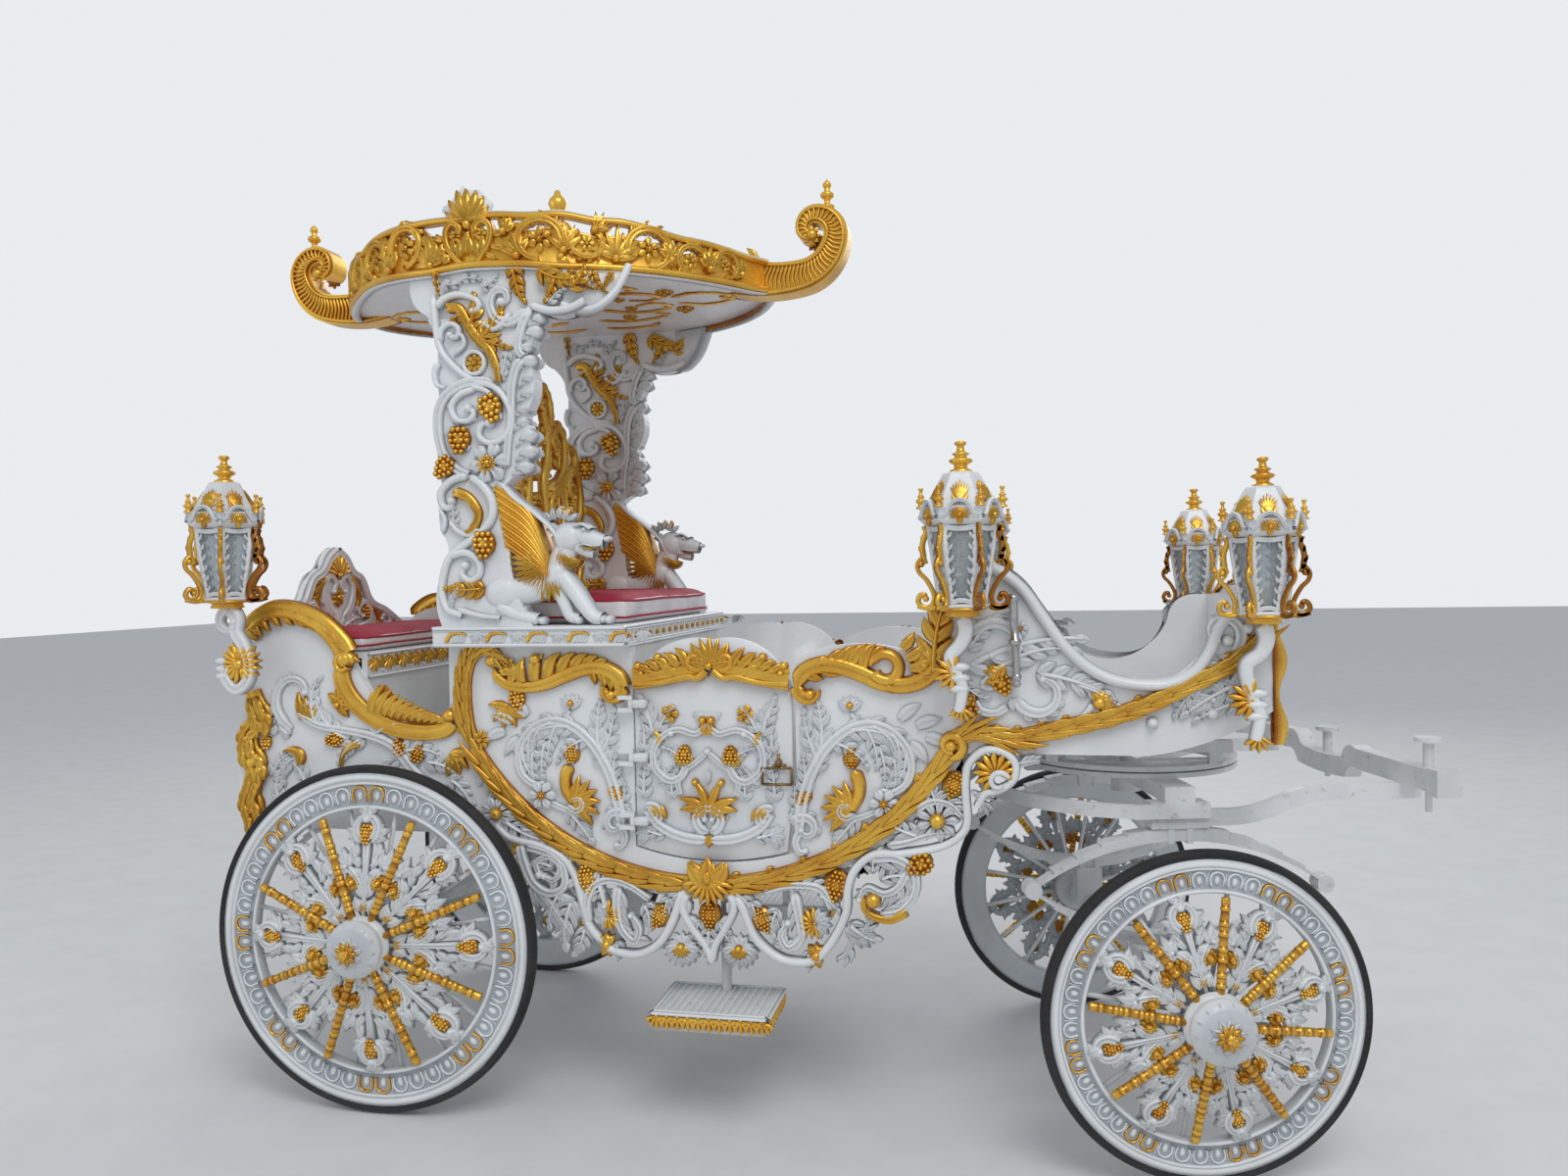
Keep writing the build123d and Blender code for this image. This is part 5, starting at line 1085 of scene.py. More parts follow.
for x, z, size, angle in ((650, 706, 96, -80), (875, 603, 84, -118), (1030, 612, 86, -90), (1191, 606, 84, -62),
        (1410, 716, 100, -100), (1651, 788, 76, -150), (1751, 1014, 84, -112)):
    rows = (2, 3, 4, 4, 4, 3, 2, 1) if size > 80 else (3, 4, 4, 3, 2)
    grapes(band, (x, z), size, "gold", angle, rows)
for x, z, way in ((716, 601, 1), (1346, 606, -1)):
    shell(band, (x, z), 90 - way * 100, 44, 190, 8, "gold", 17)
    fan(band, (x - way * 4, z), (a if way > 0 else 180 - a for a in range(100, 251, 30)), 46, 0, 9, 15, "white")
for x, z in ((944, 500), (1120, 503)):
    for i in range(9):
        lobe(band, (x, z + 16), 186 + 168 * i / 8, 58, 0, 11, 16, "white", 0, 5)
    fan(band, (x, z + 18), range(205, 336, 26), 30, 0, 7, 12, "gold", 10)
    fan(band, (x, z + 14), (160, 120, 90, 60, 20), 46, 0, 10, 14, "white")
    dome(band, (x, z + 20), 13, 16, "gold", 10, 10, 3)
for x, z, r in ((709, 512, 17), (1349, 512, 17)):
    ball(band, (x, z), r, "gold", 2)
    fan(band, (x, z), (250, 290, 90, 50, 130), 36, 0, 9, 15, "gold", 3)
rosette(band, (362, 900), 52, 9, "white", "gold", 2)
rosette(band, (423, 790), 20, 6, "gold", "gold", 6)
rosette(band, (1704, 915), 60, 9, "white", "gold", 2)
ball(band, (1704, 915), 24, "gold", 6, 14)
ball(band, (362, 900), 20, "gold", 6, 14)
ball(band, (1519, 682), 24, "gold", 6, 14)
crescent = smoothPath([(1490, 690), (1494, 655), (1523, 634), (1568, 628), (1612, 650)])
ridge(band, crescent, taper(len(crescent), 8, 13), 18, "gold", "fluted")
shell(band, (1868, 1052), 110, 58, 250, 10, "gold", 16)
curlIn, _ = curlPath((1905, 1040), 120, 32, 300, 0.45, 16)
ridge(band, curlIn, taper(17, 10, 6), 19, "white", "stem", 2)
for points in band.parts["white"]["points"]:      # white leaves pass under the gold sweep
    under = np.hypot(*(points[:, :2] - bayMiddle).T) < bayRadius + 22
    points[under, 2] = np.minimum(points[under, 2], 2)
carveSides("friezeLace", band, friezeLook["face"], "body", ["frieze"])
print("frieze carved")

# carved posts of the canopy
postLook = {"face": 0.540, "inner": 0.480, "high": 17}
posts = Carving(0, 1.2, 1.35, 1.35)
for points, first, last, leaves, side, reach, eye, section in (
        ([(200, 2490), (204, 2432), (216, 2334), (259, 2272), (323, 2224), (395, 2198), (434, 2152), (448, 2100),
          (428, 2049), (379, 2030), (342, 2052), (351, 2086), (378, 2090)], 10, 9, 0, 1, 0, 17, "stem"),
        ([(392, 2212), (323, 2217), (274, 2204), (233, 2177), (210, 2133), (206, 2073), (221, 2005), (260, 1959),
          (305, 1934)], 15, 12, 6, -1, 34, 0, "fluted"),
        ([(335, 2196), (282, 2180), (253, 2146), (268, 2106), (306, 2099), (328, 2122), (309, 2138)], 10, 8, 4, -1, 30, 16,
         "stem"),
        ([(312, 2206), (371, 2186), (404, 2140), (412, 2100)], 9, 6, 0, 1, 0, 0, "stem"),
        ([(305, 1934), (251, 1922), (213, 1886), (217, 1845), (241, 1838), (248, 1858)], 13, 9, 4, 1, 30, 15, "stem"),
        ([(305, 1934), (348, 1904), (379, 1858), (378, 1803), (337, 1755), (279, 1719), (234, 1683), (214, 1631),
          (208, 1578), (226, 1527), (275, 1508)], 13, 10, 4, 1, 26, 0, "stem"),
        ([(230, 1687), (287, 1700), (331, 1675), (334, 1633), (305, 1614), (276, 1633), (288, 1660)], 12, 8, 0, 1, 0, 15,
         "stem"),
        ([(511, 2425), (455, 2390), (407, 2403), (387, 2447), (401, 2484), (435, 2485), (442, 2458), (424, 2452)], 14, 8, 5,
         1, 30, 15, "fluted"),
        ([(516, 2431), (486, 2370), (474, 2312), (490, 2284)], 13, 10, 4, -1, 30, 0, "fluted"),
        ([(488, 2280), (462, 2239), (450, 2173), (448, 2099), (436, 2030), (430, 1960)], 13, 9, 10, -1, 30, 0, "fluted"),
        ([(512, 2440), (574, 2418), (640, 2420), (690, 2440)], 11, 12, 0, 1, 0, 0, "stem"),
        ([(206, 2447), (240, 2475), (289, 2483), (341, 2464), (350, 2440), (330, 2430)], 11, 8, 4, 1, 26, 12, "stem"),
        ([(219, 2338), (225, 2379), (256, 2398), (284, 2379), (273, 2354), (254, 2362)], 9, 7, 0, 1, 0, 12, "stem"),
        ([(450, 2420), (430, 2390), (398, 2372), (370, 2388)], 9, 6, 3, 1, 24, 10, "stem"),
        ([(212, 2280), (200, 2250), (206, 2215), (228, 2204)], 10, 6, 3, 1, 24, 9, "stem"),
        ([(240, 1800), (262, 1770), (300, 1752), (330, 1766)], 8, 5, 3, 1, 26, 8, "stem"),
        ([(214, 1760), (224, 1800), (208, 1836)], 8, 5, 3, 1, 22, 0, "stem"),
        ([(262, 2300), (300, 2330), (290, 2362), (262, 2352)], 7, 5, 0, 1, 0, 8, "stem"),
        ([(255, 1530), (330, 1508), (400, 1500)], 9, 6, 0, 1, 0, 0, "stem"),
        ([(276, 1600), (240, 1560), (236, 1520)], 8, 5, 4, 1, 26, 0, "leaf")):
    leafStem(posts, points, first, last, postLook["high"], leaves, side, reach, "white", section, 42, eye)
leafRows(posts, (
        (270, 2020, 84, 66, -40, 22, 3), (240, 2060, 60, 56, -40, 20, 3), (420, 1990, 250, 60, 30, 22, 3),
        (300, 2010, 110, 50, 40, 18, 3), (250, 1790, 80, 60, 30, 22, 3), (440, 2300, 250, 80, 20, 26, 4),
        (420, 2230, 80, 60, 20, 22, 3), (360, 2500, 10, 60, 50, 22, 3), (235, 2520, -20, 70, 60, 22, 3),
        (300, 2530, 10, 70, -50, 22, 3), (580, 2440, 60, 60, -40, 20, 3)), 13, "white")
for x, z, size, angle in ((385, 2132, 88, -68), (280, 2040, 84, -90), (226, 1960, 74, -130), (354, 1721, 84, -90)):
    grapes(posts, (x, z), size, "gold", angle, (3, 4, 4, 3, 2), 3)
ringAt = np.array((331.0, 2274.0))
ring, _ = curlPath(ringAt + (0, -34), 0, 34, 360, 1.0, 20)
ridge(posts, ring, 6, 16, "white", "stem")
rosette(posts, ringAt, 29, 8, "gold", "gold", 3)
rosette(posts, (374, 1970), 62, 6, "white", "gold", 2, 10)
rosette(posts, (366, 1966), 30, 8, "gold", "gold", 10)
# long gold leaves, and the spray under the ceiling
leafStem(posts, [(240, 2446), (282, 2442), (308, 2404), (338, 2357), (382, 2310), (404, 2260), (410, 2212)], 15, 8, 24, 9,
         -1, 60, "gold", "leaf", 30)
leafRows(posts, ((320, 2384, 62, 96, 40, 38, 4), (348, 2340, 34, 124, 40, 46, 5), (300, 2420, 190, 56, 30, 22, 2),
                 (350, 2350, -30, 100, 20, 34, 3)), 18, "gold")
leafStem(posts, [(250, 1888), (299, 1868), (334, 1819), (318, 1775), (296, 1762)], 15, 8, 20, 7, -1, 60, "gold", "leaf", 30)
acanthus(posts, (344, 1590), 186, 130, -14, 42, 5, 18, "gold")
leafRows(posts, ((548, 2540, -38, 130, 50, 44, 5), (650, 2480, 30, 70, 50, 34, 3), (602, 2510, -110, 70, -20, 30, 3),
                 (466, 2556, -84, 110, 20, 36, 4)), 20, "gold")
acanthus(posts, (208, 2556), -88, 70, 10, 16, 3, 16, "gold")


def innerFace(base, side):
    # the same drawing on the face that looks across the carriage
    def place(p):
        return np.stack([rearAxleX + p[:, 0], side * (base - p[:, 2]), p[:, 1]], 1)
    return place


# leaves that break the front edge
postEdge = Carving(26, 1, 1.3)
for x, z, heading in ((524, 2392, 30), (502, 2350, 34), (482, 2304, 40), (484, 2258, 44), (490, 2212, 40), (484, 2168, 30),
        (468, 2124, 24), (468, 2080, 40), (478, 2034, 44), (476, 1990, 34), (462, 1950, 20)):
    big = 1.15 if z % 4 else 0.8
    lobe(postEdge, (x - 4, z), heading, 46 * big, -60, 17 * big, 18, "white", 0, 6, "leaf", True)
    lobe(postEdge, (x - 16, z - 22), heading + 36, 40, -60, 11, 15, "white", 0, 6, "leaf", True)
for word, side in bothSides:
    carve("postCarving" + word, posts, onWall(postLook["face"], side), "body", side == 1)
    carve("postEdge" + word, postEdge, onWall(postLook["face"], side), "body", side == 1)
    carve("postEdgeInside" + word, postEdge, innerFace(postLook["inner"], side), "body", side == -1)
    carve("postInside" + word, posts, innerFace(postLook["inner"], side), "body", side == -1)

# winged lions in front of the posts; each is two mirrored halves that meet on its middle plane
lionLook = {"middle": 0.510, "thick": 44}
lion = Carving(0)
thick = lionLook["thick"]


def limb(points, first, last, high):
    path = smoothPath(points, 5)
    ridge(lion, path, taper(len(path), first, last, 1.0, 0.02), taper(len(path), high, high * 0.85, 1.0, 0.02), "white",
          "round")


limb([(372, 1560), (430, 1580), (510, 1592), (566, 1640), (596, 1690), (608, 1728)], 50, 40, thick * 0.86)
dome(lion, (396, 1576), 72, thick, "white", 0, 20, 6, 0.86)
dome(lion, (566, 1628), 52, thick * 0.96, "white", 0, 18, 6, 1.0)
limb([(380, 1540), (430, 1512), (470, 1500), (512, 1492)], 30, 20, thick * 0.9)
limb([(580, 1640), (626, 1582), (664, 1530), (690, 1500), (716, 1494)], 32, 21, thick * 0.9)
limb([(560, 1600), (590, 1548), (610, 1504), (640, 1494)], 24, 17, thick * 0.5)
for x, z in ((506, 1490), (524, 1489), (716, 1492), (736, 1491), (640, 1490)):
    dome(lion, (x, z), 14, 30, "white", 0, 10, 4)
dome(lion, (612, 1738), 54, thick * 0.95, "white", 0, 20, 6, 0.95, 10)
limb([(630, 1748), (668, 1740), (704, 1728), (726, 1724)], 34, 22, thick * 0.72)
limb([(634, 1712), (666, 1696), (694, 1688)], 20, 15, thick * 0.62)
ridge(lion, smoothPath([(720, 1712), (690, 1712), (662, 1718), (650, 1706), (668, 1700)]), 4, thick * 0.80, "white", "round")
ridge(lion, smoothPath([(716, 1708), (690, 1706), (664, 1708)]), 2.6, thick * 0.84, "gold", "round")
dome(lion, (733, 1732), 12, thick * 0.6, "white", 0, 10, 4, 0.8)
dome(lion, (668, 1762), 9, thick * 0.92, "white", 0, 10, 4)
ridge(lion, smoothPath([(640, 1775), (662, 1778), (690, 1762)]), 6, thick * 0.88, "white", "round")
for heading, length in ((120, 44), (150, 40)):
    lobe(lion, (580, 1752), heading, length, 20, 13, thick * 0.8, "white")
for i in range(9):
    lobe(lion, np.array((590, 1716)) + unit(-70 + 12 * i) * 16 - (0, 6 * i), -110 + 12 * i, 50, 18, 9, thick * 1.02, "gold")
for i in range(5):
    lobe(lion, (556 + 14 * i, 1790 + 5 * min(i, 4 - i)), 118 - 22 * i, 34, 20, 9, thick * 0.7, "white")
for i in range(3):
    lobe(lion, (584 + 14 * i, 1806), 130 - 24 * i, 26, 10, 7, thick * 0.5, "gold")
# wing: long feathers over the back, then a lower fan, both from the shoulder
for i in range(15):
    t = i / 14
    root = np.array((552, 1690)) + np.array((8, -70)) * t
    tip = np.array((386, 1900)) * (1 - t) + np.array((418, 1716)) * t
    path = smoothPath([root, (root + tip) / 2 + np.array((26, 24)) * (1 - t), tip])
    wide = np.hypot(*(tip - root)) * 0.036 + 1.5
    ridge(lion, path, taper(len(path), wide * 0.6, wide, 1.0, 0.1),
          np.linspace(thick * 1.10, thick * (0.75 + 0.15 * (i % 2)), len(path)), "gold", "round")
    dome(lion, tip, wide * 1.25, thick * 0.8, "gold", 0, 10, 3)
for row, reach, start, end, count in ((0, 112, 176, 292, 13), (1, 76, 150, 280, 10)):
    for i in range(count):
        a = start + (end - start) * i / (count - 1)
        lobe(lion, np.array((552, 1668)) + unit(a) * 12, a, reach * (1 - 0.12 * row) * (1.16 - 0.3 * i / count), -12,
             9 + 2 * row, thick * (1.04 + 0.08 * row), "gold")
edge = smoothPath([(600, 1702), (570, 1760), (510, 1815), (450, 1860), (398, 1912), (380, 1900)])
ridge(lion, edge, taper(len(edge), 9, 10), thick * 0.9, "white", "round")
for word, side in bothSides:
    carve("lionOutside" + word, lion, onWall(lionLook["middle"], side), "body", side == 1, ["lion_" + word.lower()])
    carve("lionInside" + word, lion, innerFace(lionLook["middle"], side), "body", side == -1)
print("posts and lions carved")

# canopy: pierced gold rims, ribbed curled ends and painted ceiling
canopyLook = {"middle": 0.380, "halfLength": 0.785, "halfWidth": 0.575, "rimFace": -0.024, "ceiling": 2.560}
canopyR = (canopyLook["halfLength"] ** 2 + canopyLook["halfWidth"] ** 2) / (2 * canopyLook["halfWidth"])
canopyOff = canopyR - canopyLook["halfWidth"]
canopyX = rearAxleX + canopyLook["middle"]


def roundRim(side, base):
    # u is measured along the rim's curve from its middle, h stands out of its face
    def place(p):
        r = canopyR + base + p[:, 2]
        a = p[:, 0] / canopyR
        return np.stack([canopyX + r * np.sin(a), side * (r * np.cos(a) - canopyOff), p[:, 1]], 1)
    return place


# rings with their roses, fans between them, and the thin pale edge all round
rimLace = Carving(10)
highLine = smoothPath([(-992, 2664), (-900, 2672), (-800, 2676), (-700, 2690), (-600, 2684), (-491, 2706), (-360, 2714),
                       (-200, 2712), (-60, 2706), (13, 2712), (130, 2704), (240, 2706), (340, 2690), (420, 2690),
                       (502, 2678), (600, 2660), (700, 2656), (788, 2650), (900, 2644), (992, 2650)], 5)
lowLine = smoothPath([(-992, 2562), (-900, 2556), (-700, 2560), (-522, 2574), (-360, 2570), (-196, 2562), (-60, 2568),
                      (112, 2562), (240, 2552), (352, 2552), (573, 2550), (721, 2549), (900, 2552), (992, 2562)], 5)
across = np.linspace(-992, 992, 120)
high, low = (np.interp(across, *line.T) for line in (highLine, lowLine))
solid = np.clip((np.abs(across) - 700) / 60, 0, 1) * 36 + high - 40
ridge(rimLace, np.stack([across, (solid + low) / 2], 1), (solid - low) / 2, 4, "gold", "board")
ridge(rimLace, lowLine, 12, 24, "gold", "stem")
ridge(rimLace, highLine, 10, 22, "gold", "stem")
ridge(rimLace, highLine + np.array((0, 11)), 4, 14, "white", "round")
ridge(rimLace, lowLine - np.array((0, 13)), 4, 14, "white", "round")
for u, v, size, rose, start, way in (
        (172, 2634, 60, 38, -30, 1), (506, 2616, 60, 36, 210, -1), (-306, 2650, 60, 36, 210, -1),
        (315, 2622, 42, 24, 60, -1), (651, 2598, 44, 26, 20, 1), (-470, 2640, 54, 34, -30, 1),
        (-630, 2628, 54, 32, 210, -1), (-785, 2618, 52, 30, -30, 1), (785, 2604, 40, 20, 200, -1)):
    turns = np.radians(start + way * np.linspace(0, 300, 30))
    ring = np.array((u, v)) + size * np.stack([1.12 * np.cos(turns), np.sin(turns)], 1)
    ridge(rimLace, ring, taper(30, size * 0.25, size * 0.17), taper(30, 27, 22), "gold", "fluted")
    for k in range(1, 24, 3):
        out = math.degrees(turns[k])
        lobe(rimLace, ring[k], out + way * 34, size * 0.62, way * 40, size * 0.17, 21, "gold", 2)
        lobe(rimLace, ring[k], out + 180 - way * 30, size * 0.40, -way * 30, size * 0.11, 18, "gold", 2)
    rosette(rimLace, (u, v), rose, 6, "gold", "gold", 8, start)
# the harp under the tulip: two stems that part and curl in over their buds
for way in (-1, 1):
    stem = smoothPath([(-58 + way * u, v) for u, v in ((4, 2560), (36, 2584), (70, 2628), (76, 2676), (50, 2698),
                (26, 2680), (32, 2664))])
    ridge(rimLace, stem, taper(len(stem), 9, 12), taper(len(stem), 20, 27), "gold", "fluted")
    for u, v, heading, length in ((74, 2620, -20, 52), (84, 2650, 10, 50), (60, 2600, -40, 44), (30, 2590, 84, 60),
            (14, 2600, 96, 76), (44, 2606, 70, 50)):
        start, toward = mirrored(u, v, heading, way, -58)
        lobe(rimLace, start, toward, length, way * 26, 11, 24, "gold", 2)
    rosette(rimLace, (-58 + way * 44, 2658), 19, 6, "gold", "gold", 12)
for u, v, heading, length, count in (
        (244, 2600, 82, 92, 5), (236, 2580, -70, 40, 3), (402, 2580, 78, 104, 7), (-196, 2580, 92, 104, 7),
        (-392, 2596, 90, 84, 5), (-550, 2590, 90, 84, 5), (-708, 2584, 90, 80, 5), (578, 2590, 84, 72, 5),
        (716, 2580, 70, 76, 6), (100, 2586, 96, 84, 5), (848, 2584, 130, 56, 6), (-860, 2590, 60, 74, 6),
        (60, 2660, 60, 56, 4), (340, 2664, 40, 62, 4), (-400, 2664, 120, 46, 3)):
    for k in range(count):
        a = heading + 26 * (k - (count - 1) / 2)
        lobe(rimLace, (u, v), a, length * (1 - 0.1 * abs(k - (count - 1) / 2)), 18, 12, 25, "gold", 2)
    dome(rimLace, (u, v), 15, 26, "gold", 2, 10, 3)
# the tulip over the rim: fluted leaves on a pale board
crown = Carving(6)
tulip = [(-78, 2694), (-104, 2712), (-134, 2718), (-156, 2742), (-152, 2756), (-124, 2766), (-98, 2788), (-78, 2810),
         (-58, 2796), (-24, 2794), (4, 2770), (26, 2746), (12, 2722), (-14, 2712), (-34, 2694)]
plate(crown, tulip, -6, 5, "white", 3, 0.9)
for heading, length, bend, wide in ((90, 100, 0, 15), (66, 98, 10, 14), (114, 104, -14, 14), (44, 94, 20, 13),
        (138, 96, -20, 13), (26, 84, 14, 11), (158, 84, -18, 11), (78, 70, 0, 10), (102, 72, 0, 10)):
    lobe(crown, (-60, 2692), heading, length, bend, wide, 22, "gold", 5, 8, "leaf", True)
for u, v, heading in ((-82, 2700, 160), (-38, 2700, 20)):
    lobe(crown, (u, v), heading, 40, 60, 10, 20, "gold", 3)
dome(crown, (-60, 2690), 18, 26, "gold", 0, 12, 4)
# the post's arch runs on under the rim as a corbel with its own leaves
corbel = Carving(30)
plate(corbel, [(240, 2436), (275, 2424), (310, 2420), (350, 2436), (392, 2474), (420, 2520), (436, 2556), (240, 2556)], -30,
      4, "white", 2, 0.8)
bow = smoothPath([(236, 2436), (266, 2426), (310, 2420), (350, 2436), (392, 2474), (422, 2524), (440, 2560)])
ridge(corbel, bow, 14, 26, "white", "round")
leafRows(corbel, ((258, 2534, -52, 96, 40, 24, 5), (330, 2536, -80, 76, 50, 22, 5), (392, 2530, -140, 52, 40, 16, 5)), 20,
         "gold", 4)
for word, side in bothSides:
    carve("rimLace" + word, rimLace, roundRim(side, canopyLook["rimFace"]), "body", side == 1, ["canopy_rim_" + word.lower()])
    carve("rimTulip" + word, crown, roundRim(side, canopyLook["rimFace"]), "body", side == 1)
    carve("corbel" + word, corbel, roundRim(side, canopyLook["rimFace"] + 0.010), "body", side == 1)

# curled ends: ribs across a tapering hook, a gold edge and a ball where it closes
hookMiddle = stemPath((1018, 2620), -18, [(480, 28), (140, 72), (70, 92), (44, 110), (24, 90)], 7)
hook = Carving(0)
n = len(hookMiddle)
spread = np.linspace(61, 12, n)
along = np.gradient(hookMiddle, axis=0)
along /= np.linalg.norm(along, axis=1, keepdims=True)
across = np.stack([-along[:, 1], along[:, 0]], 1)
ridge(hook, hookMiddle + across * (spread * 0.90)[:, None], np.linspace(7, 4, n), 15, "gold", "stem")
ridge(hook, hookMiddle - across * (spread * 0.90)[:, None], np.linspace(8, 4, n), 15, "gold", "stem")
for k in range(3, n - 4, 2):
    start = hookMiddle[k] + across[k] * spread[k] * 0.78 + along[k] * spread[k] * 0.22
    end = hookMiddle[k] - across[k] * spread[k] * 0.80
    middle = (start + end) / 2 - along[k] * spread[k] * 0.16
    path = smoothPath([start, middle, end], 4)
    ridge(hook, path, taper(len(path), 5.6, 3.4), 11, "gold")
rosette(hook, hookMiddle[-1], 30, 8, "gold", "gold", 2)
ball(hook, hookMiddle[-1] + (4, 0), 20, "gold", 4)
for i in range(5):
    lobe(hook, (1035 + 16 * i, 2570 + 24 * i), 150 - 8 * i, 50, 30, 12, 14, "gold", 2)


def tipSide(side, way):
    def place(p):
        x = canopyX + way * (p[:, 0] - canopyLook["middle"])
        return np.stack([x, side * (0.042 + p[:, 2]), p[:, 1]], 1)
    return place


for title, way in (("Front", 1), ("Rear", -1)):
    for word, side in bothSides:
        carve("hook" + title + word, hook, tipSide(side, way), "body", (side == 1) != (way == -1))

# painted leaf scrolls under the ceiling, raised a little as they are in the plaster
ceilingPaint = Carving(0, 1.9, 1.7, 1.5)
for way in (1, -1):
    for side in (1, -1):
        for points, first, last, leaves in (([(120, 60), (220, 130), (330, 120), (380, 60), (330, 20), (270, 40)], 9, 5, 8),
                                            ([(420, 40), (500, 80), (580, 60), (620, 20), (580, 8)], 8, 4, 6),
                                            ([(60, 220), (160, 260), (260, 240), (330, 190), (300, 160)], 8, 4, 7),
                                            ([(40, 350), (130, 370), (220, 350), (260, 310)], 8, 4, 6)):
            leafStem(ceilingPaint, [(way * x, side * y) for x, y in points], first, last, 4, leaves, way * side, 34, "gold",
                     "stem")
        rosette(ceilingPaint, (way * 420, side * 120), 30, 6, "gold", "gold")
        rosette(ceilingPaint, (way * 190, side * 190), 26, 6, "gold", "gold")
        rosette(ceilingPaint, (way * 240, side * 66), 22, 6, "gold", "gold")


def underCeiling(p):
    return np.stack([canopyX + p[:, 0], p[:, 1], canopyLook["ceiling"] - p[:, 2]], 1)


carve("ceilingScrolls", ceilingPaint, underCeiling, "body", True)
print("canopy carved")

# lanterns: six sided, with curled gold arms, arched skirt and turned finials
lanternLook = {"base": 60, "top": 92, "high": 235, "skirt": 112, "skirtHigh": 42, "roof": 44, "roofHigh": 96, "finial": 92}
lanternSpots = {"mid": (1788, 1512, 1.0, 1776, 1330), "front": (2560, 1486, 0.9, 2540, 1262),
                "rear": (-500, 1558, 1.0, -466, 1300)}


def hexRows(c, rows, finish):
    # flat sided: every edge has its own pair of points so the corners stay crisp
    for i in range(6):
        a0, a1 = math.radians(60 * i), math.radians(60 * i + 60)
        steps = np.linspace(0, 1, 5)
        points = np.zeros((len(rows), 5, 3))
        for j, (r, z) in enumerate(rows):
            x = r * ((1 - steps) * math.cos(a0) + steps * math.cos(a1))
            y = r * ((1 - steps) * math.sin(a0) + steps * math.sin(a1))
            points[j] = np.stack([x, y, np.full(5, z)], 1)
        c.add(finish, points, gridQuads(len(rows), 5), np.full((len(rows), 5), 0.8))


def finialProfile(foot, height, r):
    shares = ((0.0, 1.0), (0.06, 1.0), (0.10, 0.8), (0.16, 0.55), (0.24, 0.62), (0.30, 0.95), (0.36, 1.08), (0.42, 0.95),
              (0.46, 0.6), (0.52, 0.5), (0.56, 0.74), (0.60, 0.74), (0.64, 0.42), (0.78, 0.30), (0.84, 0.34), (0.88, 0.52),
              (0.95, 0.52), (0.98, 0.4), (1.0, 0.02))
    return [(r * s, foot + height * t) for t, s in shares]


def lanternDrawing(look):
    c = Carving(0)
    base, top, high, skirt = look["base"], look["top"], look["high"], look["skirt"]
    sill, eaves = high, high + look["skirtHigh"]
    roof, ridgeZ = look["roof"], eaves + look["roofHigh"]
    # collar and foot
    spin(c, [(0.1, -18), (46, -18), (50, -14), (44, -6), (48, -2), (62, 0), (66, 3), (62, 8), (0.1, 8)], "gold", 24)
    hexRows(c, [(base + 4, 6), (base + 9, 9), (base + 9, 15), (base + 3, 18), (base - 14, 18)], "white")
    # corner posts with a sloping inner pane border, the arched skirt and the roof
    hexRows(c, [(top - 20, sill - 2), (top + 2, sill - 4), (skirt - 6, sill + 4), (skirt - 2, sill + 8), (skirt, sill + 14),
                (skirt - 2, eaves - 4), (skirt + 3, eaves), (skirt, eaves + 5), (skirt - 10, eaves + 6)], "white")
    hexRows(c, [(skirt - 10, eaves + 5), (roof + 8, ridgeZ - 6), (roof + 4, ridgeZ + 2), (roof - 6, ridgeZ + 4),
                (1, ridgeZ + 5)], "white")
    spin(c, finialProfile(ridgeZ + 3, look["finial"] - 6, 31), "gold", 24)
    for i in range(6):
        a = math.radians(60 * i)
        # small finials above the corners
        x, y = (skirt - 2) * math.cos(a), (skirt - 2) * math.sin(a)
        spin(c, finialProfile(eaves + 2, 58, 14), "gold", 7, 0.85, x, y)
        # white corner post
        p0, p1 = (base * math.cos(a), base * math.sin(a), 14), (top * math.cos(a), top * math.sin(a), sill)
        rodBetween(c, p0, p1, 7, "white", 8)
    return c


def aroundAxis(out, across, angle, z):
    # points that lie out along an angle of the lantern and across it
    return np.stack([out * math.cos(angle) - across * math.sin(angle), out * math.sin(angle) + across * math.cos(angle), z], 1)


def flatFaces(base, top, low, high):
    # place for drawings on one of the six sloping sides: u across, v up the slope
    slope = math.hypot(high - low, (top - base) * math.cos(math.radians(30)))

    def face(i, p):
        a = math.radians(60 * i + 30)
        t = p[:, 1] / slope
        r = (base + (top - base) * t) * math.cos(math.radians(30)) + p[:, 2]
        return aroundAxis(r, p[:, 0], a, low + (high - low) * t)
    return face, slope


lanternCarving = lanternDrawing(lanternLook)
sideFace, slope = flatFaces(lanternLook["base"], lanternLook["top"], 14, lanternLook["high"] - 2)
border = Carving(0)
for way in (1, -1):
    edge = smoothPath([(way * 27, 6), (way * 34, 80), (way * 39, 160), (way * 41, slope - 8)], 10)
    edge[:, 0] += way * 2.5 * np.sin(np.linspace(0, 60, len(edge)))
    ridge(border, edge, 7, 6, "white")
    for i in range(6):
        lobe(border, (way * (26 + 2.0 * i), 24 + 32 * i), 90 + way * 60, 24, -way * 60, 5, 6, "white")
ridge(border, np.array([(-27, 8), (-9, 14), (9, 14), (27, 8)], float), 7, 6, "white", "fluted")
ridge(border, np.array([(-40, slope - 8), (-14, slope - 12), (14, slope - 12), (40, slope - 8)], float), 8, 6, "white",
      "fluted")
arch = Carving(0)
eavesZ = lanternLook["high"] + lanternLook["skirtHigh"]
bow = smoothPath([(-52, 16), (-40, 20), (-31, 36), (-20, 52), (0, 60), (20, 52), (31, 36), (40, 20), (52, 16)], 3)
ridge(arch, bow, 6, 15, "white", "fluted")
